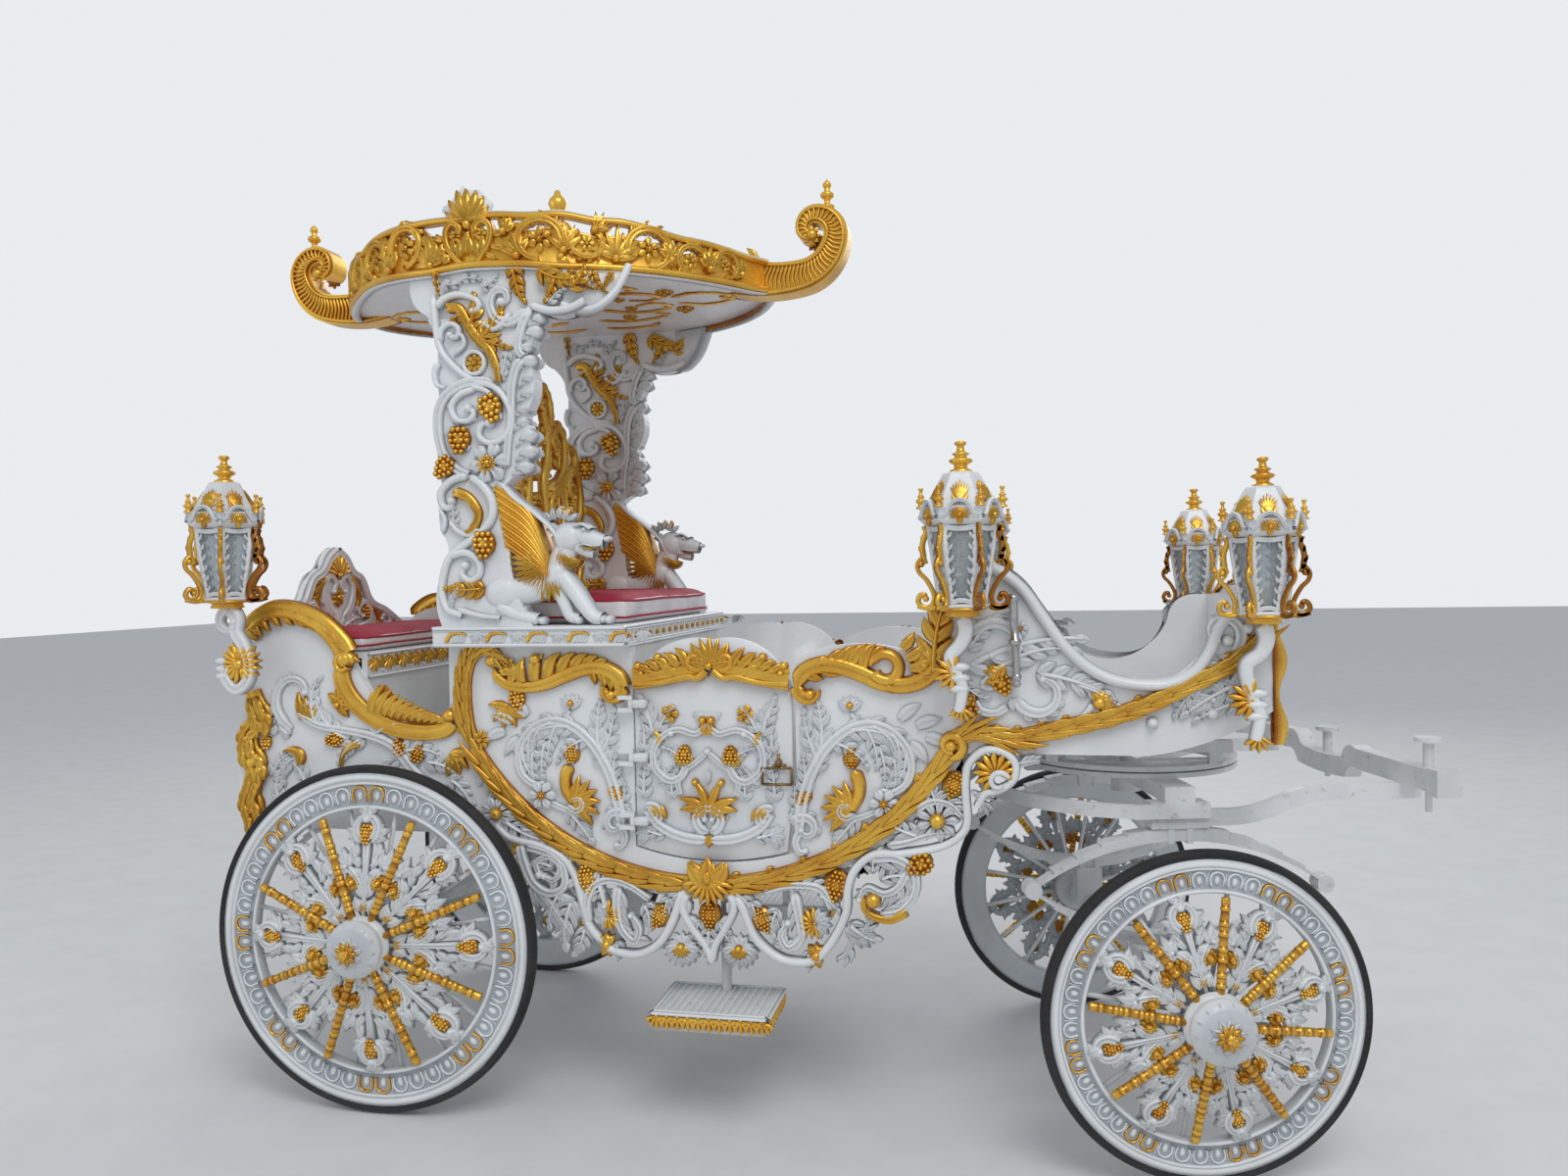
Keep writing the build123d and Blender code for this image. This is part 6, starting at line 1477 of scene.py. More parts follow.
for i in range(11):
    t = i / 10
    lobe(arch, (0, 16), 190 - 200 * t, 27, 0, 4.4, 15, "gold")
lobe(arch, (0, 18), 270, 26, 0, 9, 14, "gold")
dome(arch, (0, 20), 9, 19, "gold", 0, 10, 3)
roofLeaf = Carving(0)
for i in range(7):
    lobe(roofLeaf, (0, 14), 60 + 10 * i, 62 - 5 * abs(i - 3), 0, 5.5, 9, "gold")
lobe(roofLeaf, (-10, 12), 130, 30, -50, 5, 8, "gold")
lobe(roofLeaf, (10, 12), 50, 30, 50, 5, 8, "gold")
armDrawing = Carving(6)
leafStem(armDrawing, [(96, 40), (112, 44), (122, 26), (108, 10), (84, 14), (78, 44), (98, 84), (118, 106), (122, 128),
                      (106, 146), (98, 128)], 8, 6, 6, 0, 1, 0, "gold", "stem")
leafStem(armDrawing, [(104, 138), (108, 178), (98, 214), (104, 232)], 9, 7, 6, 3, -1, 24, "gold", "stem")
leafStem(armDrawing, [(70, 10), (92, 4), (124, 10)], 7, 5, 6, 0, 1, 0, "gold", "stem")
ball(armDrawing, (112, 128), 10, "gold", 0)
ball(armDrawing, (100, 32), 9, "gold", 0)
roofFoot, roofTop = 104, 50
apothem = lanternLook["skirt"] * math.cos(math.radians(30))
for i in range(6):
    joinCarving(lanternCarving, border, lambda p: sideFace(i, p))
    a = math.radians(60 * i + 30)

    def onSkirt(p):
        return aroundAxis(apothem + p[:, 2] - 4, p[:, 0], a, lanternLook["high"] + 2 + p[:, 1])

    def onRoof(p):
        t = p[:, 1] / 100
        r = (roofFoot + (roofTop - roofFoot) * t) * math.cos(math.radians(30)) + p[:, 2]
        return aroundAxis(r, p[:, 0], a, eavesZ + 4 + 92 * t)
    joinCarving(lanternCarving, arch, onSkirt)
    joinCarving(lanternCarving, roofLeaf, onRoof)
    joinCarving(lanternCarving, armDrawing, lambda p: aroundAxis(p[:, 0], p[:, 2], math.radians(60 * i), p[:, 1]))


def lanternAt(x, side, foot, share):
    def place(p):
        return np.stack([rearAxleX + x * mm + share * p[:, 0], side * (lanternY - share * p[:, 1]),
                         foot * mm + share * p[:, 2]], 1)
    return place


# scroll brackets below them, drawn flat and closed through their width
def bracketDrawing(x, foot, lugX, lug):
    c = Carving(13)
    top = foot - 18
    if x > 0:
        path = smoothPath([(x, top), (x + 6, top - 40), (x - 8, top - 76), (lugX - 24, top - 110), (lugX - 14, lug + 20),
                           (lugX + 6, lug - 20), (lugX + 4, lug - 60), (lugX - 4, lug - 96)], 6)
        ridge(c, path, taper(len(path), 24, 17, 1.0, 0.02), 13, "white", "stem")
        for z, r in ((lug + 26, 34), (lug - 4, 34), (lug - 34, 32)):
            dome(c, (lugX - 2, z), r, 15, "white", 0, 14, 3, 0.42)
        shell(c, (lugX - 12, lug + 10), 170, 52, 170, 7, "gold", 15)
        shell(c, (lugX + 4, lug - 84), -90, 40, 110, 5, "gold", 13)
    else:
        path = smoothPath([(x + 12, top - 4), (x + 34, top - 34), (x + 30, top - 76), (x + 56, top - 120),
                           (lugX + 40, lug + 70), (lugX + 34, lug + 14), (lugX - 6, lug - 16), (lugX - 44, lug + 18),
                           (lugX - 40, lug + 62)], 6)
        ridge(c, path, taper(len(path), 24, 18, 1.0, 0.02), 14, "white", "fluted")
        curlTop, _ = curlPath((x + 20, top - 2), 170, 44, 290, 0.45, 18)
        ridge(c, curlTop, taper(19, 17, 9), 14, "white", "fluted")
        dome(c, curlTop[-1], 14, 18, "white", 0, 12, 4)
        for z in (lug + 74, lug + 50, lug + 26):
            dome(c, (lugX - 56, z), 26, 15, "white", 0, 12, 3, 0.5)
        shell(c, (lugX + 10, lug + 66), 90, 62, 330, 17, "gold", 16)
        ball(c, (lugX + 8, lug + 64), 19, "gold", 4)
    return c


for where, (x, foot, share, lugX, lug) in lanternSpots.items():
    drawing = bracketDrawing(x, foot, lugX, lug)
    for word, side in bothSides:
        if where == "rear" and side == 1:
            continue
        title = "lantern" + where.capitalize() + word
        carve(title, lanternCarving, lanternAt(x, side, foot, share), "body", side == 1,
              ["lantern_" + where + "_" + word.lower()])
        carve(title + "Bracket", drawing, onWall(lanternY, side), "body", side == 1)
print("lanterns made")

# seat ledge: gold crescents and white scallops in a sunk band, gold buds along the front
ledgeLook = {"out": 0.560, "front": 800, "rear": 180}
ledge = Carving(0)
for z in (1418, 1468):
    ridge(ledge, np.array([(182, z), (400, z), (600, z), (798, z)], float), 6, 7, "white", "round")
ridge(ledge, np.array([(182, 1460), (798, 1460)], float), 1.6, 4, "white", "round")
for i in range(5):
    u = 238 + 132 * i
    bow = smoothPath([(u - 12, 1432), (u + 2, 1450), (u + 30, 1455), (u + 56, 1449)])
    ridge(ledge, bow, taper(len(bow), 8, 3, 1, 0.02), 8, "gold", "round")
    ball(ledge, (u - 10, 1434), 8, "gold")
    for j in range(4):
        lobe(ledge, (u + 4 + 11 * j, 1426), 36, 22, 30, 5, 6, "white")
    fan(ledge, (u + 92, 1456), range(200, 341, 35), 30, 0, 6, 7, "white")
    for j in range(3):
        lobe(ledge, (u + 70, 1430 + 7 * j), 30, 26, -20, 4, 6, "white")
carveSides("ledgeBand", ledge, ledgeLook["out"], "body")
ledgeFront = Carving(0)
for z, half in ((1471, 4), (1463, 3), (1422, 4), (1415, 4)):
    ridge(ledgeFront, np.array([(-558, z), (0, z), (558, z)], float), half, 5, "white", "round")
for i in range(17):
    u = -528 + 66 * i
    fan(ledgeFront, (u, 1436), (90, 50, 130, 15, 165), 17, 0, 4.4, 6, "gold")
    ridge(ledgeFront, np.array([(u + 33, 1428), (u + 33, 1458)], float), 3, 5, "white", "round")
for i in range(76):
    dome(ledgeFront, (-562 + 15 * i, 1413), 5, 6, "white", 0, 6, 2)


def crossWall(x, way, lift=0):
    # a panel that faces forward for way 1 and back for way -1; u runs across the carriage
    def place(p):
        return np.stack([np.full(len(p), rearAxleX + x * mm) + way * p[:, 2], p[:, 0], p[:, 1] + lift], 1)
    return place


carve("ledgeFront", ledgeFront, crossWall(ledgeLook["front"], 1), "body")
carve("ledgeRear", ledgeFront, crossWall(ledgeLook["rear"], -1), "body", True)


# pierced gold backrest
def backrestDrawing(depth):
    backrest = Carving(depth, 1.2, 1.5)
    for way in (1, -1):
        stemRows(backrest, (
                ([(20, 1490), (60, 1600), (40, 1720), (80, 1830), (60, 1960), (100, 2070), (80, 2180), (30, 2260),
                  (0, 2322)], 22, 12, 12, -1, 78, 0),
                ([(70, 1500), (150, 1540), (210, 1620), (190, 1710), (120, 1720), (100, 1650), (140, 1620)], 20, 9, 9, -1,
                 62, 17),
                ([(150, 1500), (250, 1510), (340, 1560), (390, 1640), (380, 1730), (310, 1760), (260, 1710), (290, 1660)],
                 20, 9, 9, -1, 62, 17),
                ([(100, 1730), (190, 1760), (240, 1830), (210, 1920), (140, 1920), (120, 1850), (160, 1830)], 20, 9, 9, -1,
                 62, 17),
                ([(240, 1760), (330, 1790), (396, 1850), (400, 1950), (350, 2020), (290, 1990), (290, 1930), (330, 1920)],
                 20, 9, 10, -1, 62, 16),
                ([(100, 1940), (190, 1970), (250, 2040), (250, 2130), (190, 2170), (140, 2120), (170, 2070)], 20, 9, 9, -1,
                 60, 16),
                ([(80, 2130), (130, 2190), (120, 2260), (70, 2300), (30, 2270), (50, 2220)], 18, 8, 7, -1, 46, 14),
                ([(300, 1500), (380, 1510), (404, 1570), (380, 1620)], 18, 9, 5, -1, 40, 0),
                ([(400, 1640), (404, 1720), (396, 1800)], 14, 12, 4, 1, 40, 0),
                ([(290, 2000), (350, 2040), (350, 2090), (290, 2110), (262, 2090)], 16, 8, 5, -1, 34, 12)), 17, "gold", way)
        leafRows(backrest, (
                (60, 1560, 60, 130, 30, 46, 5), (60, 1760, 50, 120, 30, 44, 5), (70, 1960, 50, 120, 30, 44, 5),
                (230, 1600, 70, 130, -30, 44, 5), (250, 1850, 80, 130, 40, 44, 5), (330, 1560, 90, 130, 30, 40, 5),
                (150, 1560, 80, 120, 30, 40, 4), (180, 1800, 100, 130, -30, 40, 5), (330, 1820, 95, 120, -20, 36, 4),
                (180, 2020, 80, 110, 20, 40, 4), (60, 2100, 70, 120, 20, 34, 4), (110, 1620, 40, 90, 30, 34, 4),
                (240, 1950, 40, 90, 30, 34, 4)), 15, "gold", 0, way)
        for u, v, r in ((160, 1648, 30), (318, 1700, 30), (170, 1868, 30), (330, 1948, 30), (190, 2100, 28), (74, 2240, 22)):
            rosette(backrest, (way * u, v), r, 7, "gold", "gold", 6)
        grapes(backrest, (way * 250, 1560), 70, "gold", -90, (2, 3, 4, 3, 2), 2)
        grapes(backrest, (way * 300, 1880), 64, "gold", -90, (2, 3, 4, 3, 2), 2)
    shell(backrest, (0, 2230), 90, 90, 200, 9, "gold", 18)
    shell(backrest, (0, 1530), 90, 100, 180, 9, "gold", 18)
    for v in (1640, 1760, 1880, 2000, 2110):
        rosette(backrest, (0, v), 38, 8, "gold", "gold", 6)
    return backrest


carve("backrestFront", backrestDrawing(9), crossWall(275, 1), "body", False, ["backrest"])
carve("backrestBack", backrestDrawing(0), crossWall(275, -1), "body", True)

# crested tail board, both faces, and the band on the rear bench
crest = Carving(0, 1.2, 1.5, 1.3)
for way in (1, -1):
    edge = smoothPath([(way * u, v) for u, v in ((462, 1416), (430, 1436), (392, 1458), (300, 1505), (206, 1540),
                                                 (150, 1622), (92, 1652), (50, 1700), (4, 1728))])
    ridge(crest, edge, taper(len(edge), 12, 15), 15, "white", "fluted")
    stemRows(crest, (
            ([(30, 1480), (80, 1540), (90, 1600), (50, 1640), (14, 1610), (34, 1580)], 13, 7, 6, -1, 40, 11),
            ([(110, 1440), (180, 1460), (200, 1510), (160, 1540), (124, 1510), (146, 1486)], 13, 7, 6, -1, 40, 11),
            ([(230, 1410), (300, 1420), (340, 1460), (310, 1490), (270, 1470)], 12, 6, 5, -1, 34, 10),
            ([(340, 1380), (400, 1384), (430, 1410), (404, 1430)], 11, 6, 4, -1, 30, 9)), 13, "white", way)
    for points, first, last, leaves in (([(70, 1640), (110, 1600), (130, 1560), (120, 1520)], 9, 5, 6),
            ([(210, 1530), (250, 1500), (262, 1460), (240, 1440)], 9, 5, 6),
            ([(350, 1470), (380, 1450), (392, 1420)], 8, 5, 5)):
        leafStem(crest, [(way * u, v) for u, v in points], first, last, 15, leaves, way, 38, "gold", "leaf")
    grapes(crest, (way * 170, 1500), 48, "gold", -90, (2, 3, 3, 2), 2)
    rosette(crest, (way * 310, 1440), 24, 7, "white", "gold")
    acanthus(crest, (way * 20, 1450), 90 - way * 60, 110, -way * 30, 34, 4, 12, "white")
    acanthus(crest, (way * 150, 1400), 90 - way * 70, 110, -way * 30, 30, 4, 12, "white")
shell(crest, (0, 1640), 90, 76, 150, 9, "gold", 17)
rosette(crest, (0, 1560), 34, 8, "gold", "gold")
carve("crestInside", crest, crossWall(-512, 1), "body")
tailBack = Carving(0, 1.2, 1.5, 1.3)
for way in (1, -1):
    stemRows(tailBack, (
            ([(20, 900), (120, 930), (240, 960), (330, 1040), (350, 1140), (290, 1210), (200, 1190), (180, 1120),
              (230, 1090)], 17, 9, 9, 1, 74, 18),
            ([(40, 1000), (90, 1080), (90, 1180), (50, 1270), (100, 1340), (180, 1350), (220, 1300), (180, 1270)], 15, 8, 8,
             -1, 60, 15),
            ([(400, 900), (420, 1000), (410, 1120), (400, 1240), (360, 1330), (290, 1350), (270, 1300)], 15, 8, 8, 1, 50,
             14)), 15, "white", way)
    grapes(tailBack, (way * 262, 1140), 70, "gold", -90, (2, 3, 4, 3, 2), 2)
    rosette(tailBack, (way * 120, 1230), 40, 8, "white", "gold")
    side = smoothPath([(way * 456, 850), (way * 456, 1100), (way * 456, 1400)])
    leafyBand(tailBack, side, 16, 15, "gold", 1, 40)
shell(tailBack, (0, 1030), 90, 130, 190, 11, "gold", 17)
rosette(tailBack, (0, 1180), 54, 10, "gold", "gold")
leafyBand(tailBack, np.stack([np.linspace(-450, 450, 60), np.full(60, 862.0)], 1), 18, 15, "gold", 1, 40)
carve("tailRear", crest, crossWall(-530, -1), "body", True)
carve("tailLower", tailBack, crossWall(-530, -1), "body", True)

benchBand = Carving(0)
for z in (1384, 1312):
    ridge(benchBand, np.array([(-468, z), (0, z), (468, z)], float), 5, 7, "white", "round")
for i in range(11):
    u = -430 + 86 * i
    shell(benchBand, (u, 1372), -90, 42, 130, 6, "gold", 9)
    lobe(benchBand, (u + 43, 1376), -90, 48, 0, 8, 8, "gold")
    ball(benchBand, (u + 43, 1330), 6, "white")
carve("benchBand", benchBand, crossWall(-100, 1), "body")
carve("driverBand", benchBand, crossWall(1762, -1, -0.085), "body", True)

# facing bench and riser panels
riser = Carving(0)
for way in (1, -1):
    stemRows(riser, (
            ([(20, 870), (110, 900), (200, 960), (220, 1050), (160, 1090), (110, 1040), (140, 1000)], 13, 7, 8, 1, 54, 14),
            ([(250, 870), (330, 900), (400, 970), (400, 1050), (340, 1080), (300, 1030)], 13, 7, 8, 1, 54, 12)), 9, "white",
            way)
    rosette(riser, (way * 300, 1000), 30, 8, "white", "gold")
shell(riser, (0, 960), 90, 80, 190, 9, "gold", 10)
carve("seatRiser", riser, crossWall(800, 1, 0.230), "body")
print("seat, backrest and boards carved")

# cushions: blown up as cloth from a slightly smaller shape, then piped along their edges
cushionLook = {"voxel": 0.010, "pressure": 4.0, "cap": 0.012, "inset": 0.010, "fill": 0.8, "cord": 0.0042}
crimson = newFinish("crimsonVelvet", colour=(0.42, 0.012, 0.045), dull=(0.30, 0.008, 0.03), speck=(0.72, 0.66, 0.70),
                    roughness=(0.55, 0.8), bump=0.5, coat=0.0, fineScale=260.0, broadScale=7.0)
satin = newFinish("silverSatin", colour=(0.80, 0.76, 0.76), dull=(0.66, 0.62, 0.63), speck=(0.84, 0.82, 0.84),
                  roughness=(0.28, 0.5), bump=0.35, coat=0.1, fineScale=190.0, broadScale=11.0)


def roundedBox(low, high, corner, rows):
    # a closed box on a grid whose upright edges are rounded and whose sides draw in between the corners
    mesh = bpy.data.meshes.new("cushionStart")
    solid = bmesh.new()
    bmesh.ops.create_cube(solid, size=1.0)
    bmesh.ops.subdivide_edges(solid, edges=solid.edges, cuts=rows, use_grid_fill=True)
    size = (high - low) / 2
    middle = (high + low) / 2
    for point in solid.verts:
        p = np.array(point.co) * 2
        q = p * size
        inner = size - corner
        near = np.clip(q, -inner, inner)
        away = q - near
        far = np.linalg.norm(away)
        if far > 1e-9:
            q = near + away / far * min(far, corner)
        q[0] *= 1 - 0.014 * (1 - abs(p[1]))
        q[1] *= 1 - 0.010 * (1 - abs(p[0]))
        point.co = middle + q
    solid.to_mesh(mesh)
    solid.free()
    return mesh


def cushion(name, node, folds):
    low, high = (np.array(corner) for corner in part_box(node))
    inset = np.array((cushionLook["inset"], cushionLook["inset"], 0.004))
    start = roundedBox(low + inset * (1, 1, 0), high - inset, 0.026, 14)
    piece = bpy.data.objects.new(name, start)
    bpy.context.scene.collection.objects.link(piece)
    bpy.context.view_layer.objects.active = piece
    piece.select_set(True)
    remesh = piece.modifiers.new("remesh", "REMESH")
    remesh.mode = "VOXEL"
    remesh.voxel_size = cushionLook["voxel"]
    bpy.ops.object.modifier_apply(modifier="remesh")
    n = len(piece.data.vertices)
    before = np.empty(n * 3)
    piece.data.vertices.foreach_get("co", before)
    before = before.reshape(-1, 3)
    cloth = piece.modifiers.new("cloth", "CLOTH")
    cloth.settings.use_pressure = True
    cloth.settings.uniform_pressure_force = cushionLook["pressure"]
    cloth.settings.quality = 4
    cloth.settings.mass = 0.3
    cloth.settings.tension_stiffness = 12
    cloth.settings.compression_stiffness = 12
    cloth.settings.bending_stiffness = 0.6
    cloth.settings.effector_weights.gravity = 0
    cloth.point_cache.frame_start = 1
    cloth.point_cache.frame_end = 20
    for step in range(1, 21):
        bpy.context.scene.frame_set(step)
    shaped = piece.evaluated_get(bpy.context.evaluated_depsgraph_get()).to_mesh()
    after = np.empty(n * 3)
    shaped.vertices.foreach_get("co", after)
    after = after.reshape(-1, 3)
    piece.modifiers.remove(cloth)
    bpy.context.scene.frame_set(1)
    moved = after - before
    reach = np.linalg.norm(moved, axis=1, keepdims=True)
    after = before + moved * np.minimum(1, cushionLook["cap"] / np.maximum(reach, 1e-9))
    # soft waves where the filling settles, shallow sewn folds, and a flat underside on the seat
    u = (after[:, 0] - low[0]) / (high[0] - low[0])
    v = (after[:, 1] - low[1]) / (high[1] - low[1])
    onTop = np.clip((after[:, 2] - low[2]) / (high[2] - low[2]), 0, 1) ** 2
    wave = 0.0022 * np.sin(9 * v + 2.1 * np.sin(5 * u)) * np.sin(7 * u + 1.4) + 0.0012 * np.sin(31 * v + 9 * u)
    crease = sum(0.004 * np.exp(-((v - fold) / 0.006) ** 2) for fold in folds)
    after[:, 2] += onTop * (wave - 0.003 - crease)
    after = np.clip(after, low + (0.001, 0.001, 0.0004), high - (0.001, 0.001, -0.004))
    piece.data.vertices.foreach_set("co", after.ravel())
    piece.data.polygons.foreach_set("use_smooth", np.ones(len(piece.data.polygons), bool))
    piece.data.materials.append(satin)
    piece.data.materials.append(crimson)
    middles = np.empty(len(piece.data.polygons) * 3)
    normals = np.empty(len(piece.data.polygons) * 3)
    piece.data.polygons.foreach_get("center", middles)
    piece.data.polygons.foreach_get("normal", normals)
    onTop = (normals.reshape(-1, 3)[:, 2] > 0.55) & (middles.reshape(-1, 3)[:, 2] > (low[2] + high[2]) / 2)
    piece.data.polygons.foreach_set("material_index", onTop.astype(int))
    piece.select_set(False)
    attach(piece, "body")
    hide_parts(node)
    piping(name + "Piping", piece, low, high, high[2] - 0.010)
    piping(name + "LowPiping", piece, low, high, low[2] + 0.014)


def evenly(points, n):
    # n points spaced evenly along a closed line
    loop = np.vstack([points, points[:1]])
    far = np.concatenate([[0], np.linalg.norm(np.diff(loop, axis=0), axis=1).cumsum()])
    return np.stack([np.interp(np.linspace(0, far[-1], n + 1)[:-1], far, row) for row in loop.T], 1)


def piping(name, piece, low, high, level):
    # a corded seam that lies on the cushion's own surface all the way round
    middle, half = (low + high) / 2, (high - low) / 2
    t = np.linspace(0, 2 * np.pi, 721)[:-1]
    power = 0.16
    ring = np.stack([middle[0] + half[0] * np.sign(np.cos(t)) * np.abs(np.cos(t)) ** power,
                     middle[1] + half[1] * np.sign(np.sin(t)) * np.abs(np.sin(t)) ** power], 1)
    ring = evenly(ring, 240)
    points = []
    for x, y in ring:
        found, spot, normal, face = piece.closest_point_on_mesh((x, y, level))
        points.append((spot[0] + normal[0] * 0.001, spot[1] + normal[1] * 0.001, spot[2]))
    points = np.array(points)
    for step in range(3):
        points = (np.roll(points, 1, 0) + 2 * points + np.roll(points, -1, 0)) / 4
    points = evenly(points, len(points))
    along = np.roll(points, -1, 0) - np.roll(points, 1, 0)
    along /= np.linalg.norm(along, axis=1, keepdims=True)
    side = np.cross(along, (0, 0, 1.0))
    around = np.linspace(0, 2 * np.pi, 7)[:-1]
    outward = np.cos(around)[:, None] * side[:, None, :]
    upward = np.sin(around)[:, None] * np.array((0, 0, 1.0))
    rows = points[:, None, :] + cushionLook["cord"] * (outward + upward)
    rows = np.clip(rows, low - 0.004, high + 0.004)
    c = Carving(0)
    n = len(points)
    quads = [[i * 6 + j, i * 6 + (j + 1) % 6, (i + 1) % n * 6 + (j + 1) % 6,
              (i + 1) % n * 6 + j] for i in range(n) for j in range(6)]
    c.add("crimson", rows.reshape(-1, 3) / mm, np.array(quads), np.full(n * 6, 0.8))
    carve(name, c, lambda p: p, "body")


finishes["crimson"] = crimson
cushion("seatCushion", "seat_cushion", (0.5,))
cushion("rearCushion", "rear_cushion", (0.34, 0.67))
cushion("driverCushion", "driver_cushion", (0.5,))
print("cushions filled")

# the roof's turned gold finial
roofPiece = Carving(0)
spin(roofPiece, [(49 * r, 2720 + 251 * t) for t, r in (
        (0.0, 1.04), (0.10, 1.04), (0.12, 0.9), (0.15, 0.76), (0.20, 0.54), (0.24, 0.48), (0.30, 0.60), (0.36, 0.82),
        (0.41, 0.98), (0.46, 1.04), (0.50, 0.97), (0.56, 0.56), (0.60, 0.46), (0.68, 0.44), (0.73, 0.54), (0.80, 0.68),
        (0.86, 0.58), (0.92, 0.30), (0.97, 0.22), (1.0, 0.02))], "gold", 28)
carve("roofFinial", roofPiece, lambda p: np.stack([canopyX + p[:, 0], p[:, 1], p[:, 2]], 1), "body")

# steps: ribbed tread and scalloped gold fringe
stepLook = {"rear": 890, "front": 1230, "outer": 0.650, "top": 0.370}
tread = Carving(0)
for i in range(15):
    u = 908 + 21.8 * i
    ridge(tread, np.array([(u, 424), (u, 640)], float), 5, 4, "white", "round")
edging = np.array([(896, 416), (1224, 416), (1224, 644), (896, 644), (896, 416)], float)
for a, b in zip(edging[:-1], edging[1:]):
    ridge(tread, np.array([a, (a + b) / 2, b]), 6, 6, "white", "round")
fringe = Carving(0)
for i in range(11):
    shell(fringe, (906 + 31 * i, 362), -90, 36, 130, 5, "gold", 8)
ridge(fringe, np.array([(892, 368), (1060, 368), (1228, 368)], float), 5, 9, "white", "round")
fringeEnd = Carving(0)
for i in range(7):
    shell(fringeEnd, (434 + 32 * i, 362), -90, 36, 130, 5, "gold", 8)
ridge(fringeEnd, np.array([(412, 368), (530, 368), (648, 368)], float), 5, 9, "white", "round")
for word, side in bothSides:
    def onTread(p):
        return np.stack([rearAxleX + p[:, 0], side * p[:, 1], stepLook["top"] + p[:, 2]], 1)
    carve("stepTread" + word, tread, onTread, "body", side == -1)
    carve("stepFringe" + word, fringe, onWall(stepLook["outer"], side), "body", side == 1)
    for title, u, way in (("Front", stepLook["front"], 1), ("Rear", stepLook["rear"], -1)):
        def onEnd(p):
            return np.stack([np.full(len(p), rearAxleX + u * mm) + way * p[:, 2], side * p[:, 0], p[:, 1]], 1)
        carve("stepEnd" + title + word, fringeEnd, onEnd, "body", (side == 1) != (way == -1))

# turned chrome grab rods with their eyes
for word, side in bothSides:
    rod = Carving(0)
    x, y = 1930, side * 548
    rows = [(0.0, 0.7), (0.02, 1.2), (0.05, 1.2), (0.06, 0.9), (0.10, 1.5), (0.13, 1.5), (0.14, 1.0), (0.15, 1.15),
            (0.44, 1.15), (0.45, 1.6), (0.47, 2.0), (0.50, 2.0), (0.52, 1.6), (0.53, 1.3), (0.92, 1.3), (0.93, 1.7),
            (0.96, 1.9), (0.98, 1.7), (1.0, 0.6)]
    rodBetween(rod, (x, y, 1296), (x - 8, y, 1554), 9, "chrome", 16, rows)
    for z in (1316, 1536):
        rodBetween(rod, (x, side * 500, z), (x, side * 550, z), 7, "chrome", 10)
    carve("grabRod" + word, rod, lambda p: p + np.array((rearAxleX, 0, 0)), "body", False, ["grab_rod_" + word.lower()])

# carved gold edge at the very front, seen from the side as a moulding
dashEdge = Carving(0)
for way in (1, -1):
    side = smoothPath([(way * 486, 1140), (way * 486, 1240), (way * 484, 1340), (way * 480, 1440), (way * 474, 1500)])
    wide = 17 + 6 * np.sin(np.linspace(0, 14, len(side))) ** 2
    ridge(dashEdge, side, wide, 30 + 11 * np.sin(np.linspace(0, 14, len(side))), "gold", "round")
    for i in range(9):
        lobe(dashEdge, (way * 486, 1160 + 38 * i), 90 + way * 30, 46, 20, 9, 22, "gold")
top = smoothPath([(-474, 1500), (-300, 1535), (0, 1560), (300, 1535), (474, 1500)])
leafyBand(dashEdge, top, 17, 20, "gold", 1, 40)
for way in (1, -1):
    stemRows(dashEdge, (
            ([(40, 1230), (150, 1240), (250, 1290), (300, 1380), (250, 1460), (160, 1450), (150, 1380), (200, 1360)], 15, 8,
             9, 1, 60, 16),
            ([(420, 1200), (440, 1300), (410, 1400), (350, 1480), (380, 1420)], 12, 6, 7, 1, 44, 0)), 15, "white", way)
    rosette(dashEdge, (way * 350, 1290), 34, 8, "white", "gold")
shell(dashEdge, (0, 1340), 90, 120, 190, 11, "gold", 17)
carve("dashFront", dashEdge, crossWall(2600, 1), "body")
print("fittings made")


# finishes of the pieces that stay as the drawings have them
slotFinish = {
    "white_enamel": whitePlain, "gold_leaf": goldPlain, "dark_steel": ironFinish, "rubber": rubberFinish,
    "chrome": chromeFinish, "floor_paint": boardFinish, "seat_paint": whitePlain, "lantern_glass": glassFinish,
}
for row in frame["record"]["subparts"]:
    node = frame["nodes"].get(row["node"])
    if node is None:
        continue
    chosen = slotFinish.get(row["material_slot"])
    if chosen:
        for spot in node.material_slots:
            spot.material = chosen
print("finishes set")


# floor, lamps and camera
stageLook = {"sky": 0.60, "seen": (0.82, 0.84, 0.87, 1), "key": 270.0, "fill": 50.0, "back": 120.0}
floorFinish = newFinish("plainFloor", colour=(0.78, 0.78, 0.77), dull=(0.75, 0.75, 0.74), roughness=(0.7, 0.85), bump=0.05,
                        coat=0.0, speck=(0.97, 0.97, 0.97))
bpy.ops.mesh.primitive_plane_add(size=60, location=(0, 10, 0))
floor = bpy.context.object
floor.name = "paleFloor"
floor.data.materials.append(floorFinish)

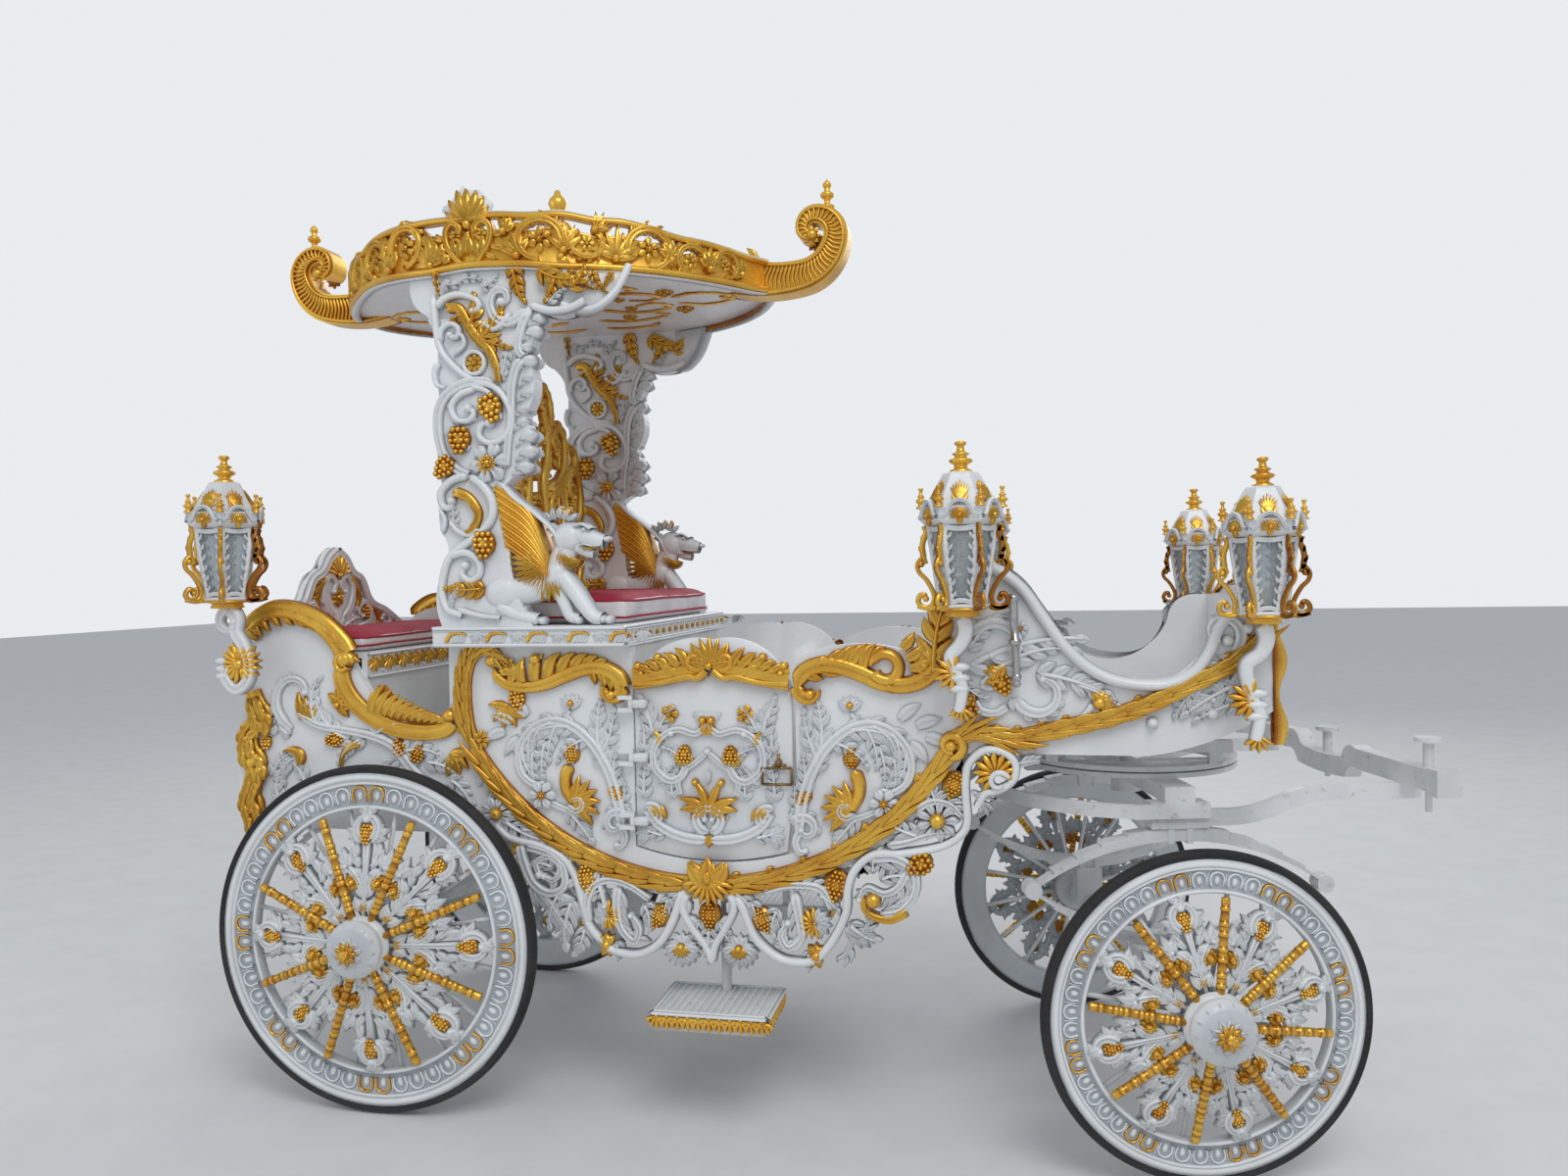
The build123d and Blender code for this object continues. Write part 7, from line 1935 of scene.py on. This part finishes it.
world = bpy.data.worlds.new("softSky")
bpy.context.scene.world = world
world.use_nodes = True
background = world.node_tree.nodes["Background"]
background.inputs["Color"].default_value = (0.80, 0.84, 0.90, 1)
background.inputs["Strength"].default_value = stageLook["sky"]
seen = world.node_tree.nodes.new("ShaderNodeBackground")     # what the camera itself sees behind the carriage
seen.inputs["Color"].default_value = stageLook["seen"]
rays, either = world.node_tree.nodes.new("ShaderNodeLightPath"), world.node_tree.nodes.new("ShaderNodeMixShader")
join = world.node_tree.links.new
join(rays.outputs["Is Camera Ray"], either.inputs[0])
join(background.outputs[0], either.inputs[1])
join(seen.outputs[0], either.inputs[2])
join(either.outputs[0], world.node_tree.nodes["World Output"].inputs["Surface"])

for name, place, aim, size, power in (
        ("keyLamp", (2.5, -5.5, 8.0), (0, 0, 1.3), 4.5, stageLook["key"]),
        ("fillLamp", (-7.0, -5.0, 3.5), (0, 0, 1.2), 5.0, stageLook["fill"]),
        ("backLamp", (0.0, 7.0, 5.5), (0, 0, 1.4), 5.0, stageLook["back"])):
    lamp = bpy.data.objects.new(name, bpy.data.lights.new(name, "AREA"))
    lamp.data.energy = power
    lamp.data.size = size
    lamp.location = place
    lamp.rotation_euler = (Vector(aim) - Vector(place)).to_track_quat("-Z", "Y").to_euler()
    bpy.context.scene.collection.objects.link(lamp)

viewer = {"focal": 1157.24, "place": (1.949, -3.732, 1.624), "yaw": 11.89, "pitch": 0.80, "roll": -0.97}
yaw, pitch, roll = (math.radians(viewer[key]) for key in ("yaw", "pitch", "roll"))
ahead = Vector((-math.sin(yaw) * math.cos(pitch), math.cos(yaw) * math.cos(pitch), -math.sin(pitch)))
right = Vector((math.cos(yaw), math.sin(yaw), 0))
up = right.cross(ahead)
turnedRight = right * math.cos(roll) + up * math.sin(roll)
turnedUp = -right * math.sin(roll) + up * math.cos(roll)
camera = bpy.data.objects.new("viewCamera", bpy.data.cameras.new("viewCamera"))
camera.data.sensor_fit = "HORIZONTAL"
camera.data.sensor_width = 36
camera.data.lens = viewer["focal"] * 36 / 1600
turned = Matrix((turnedRight, turnedUp, -ahead)).transposed().to_4x4()
camera.matrix_world = Matrix.Translation(Vector(viewer["place"]) + Vector((rearAxleX, 0, 0))) @ turned
bpy.context.scene.collection.objects.link(camera)
bpy.context.scene.camera = camera
bpy.context.scene.view_settings.view_transform = "Standard"
print("triangles added", sum(triangleCount.values()), "largest", max(triangleCount.values()))
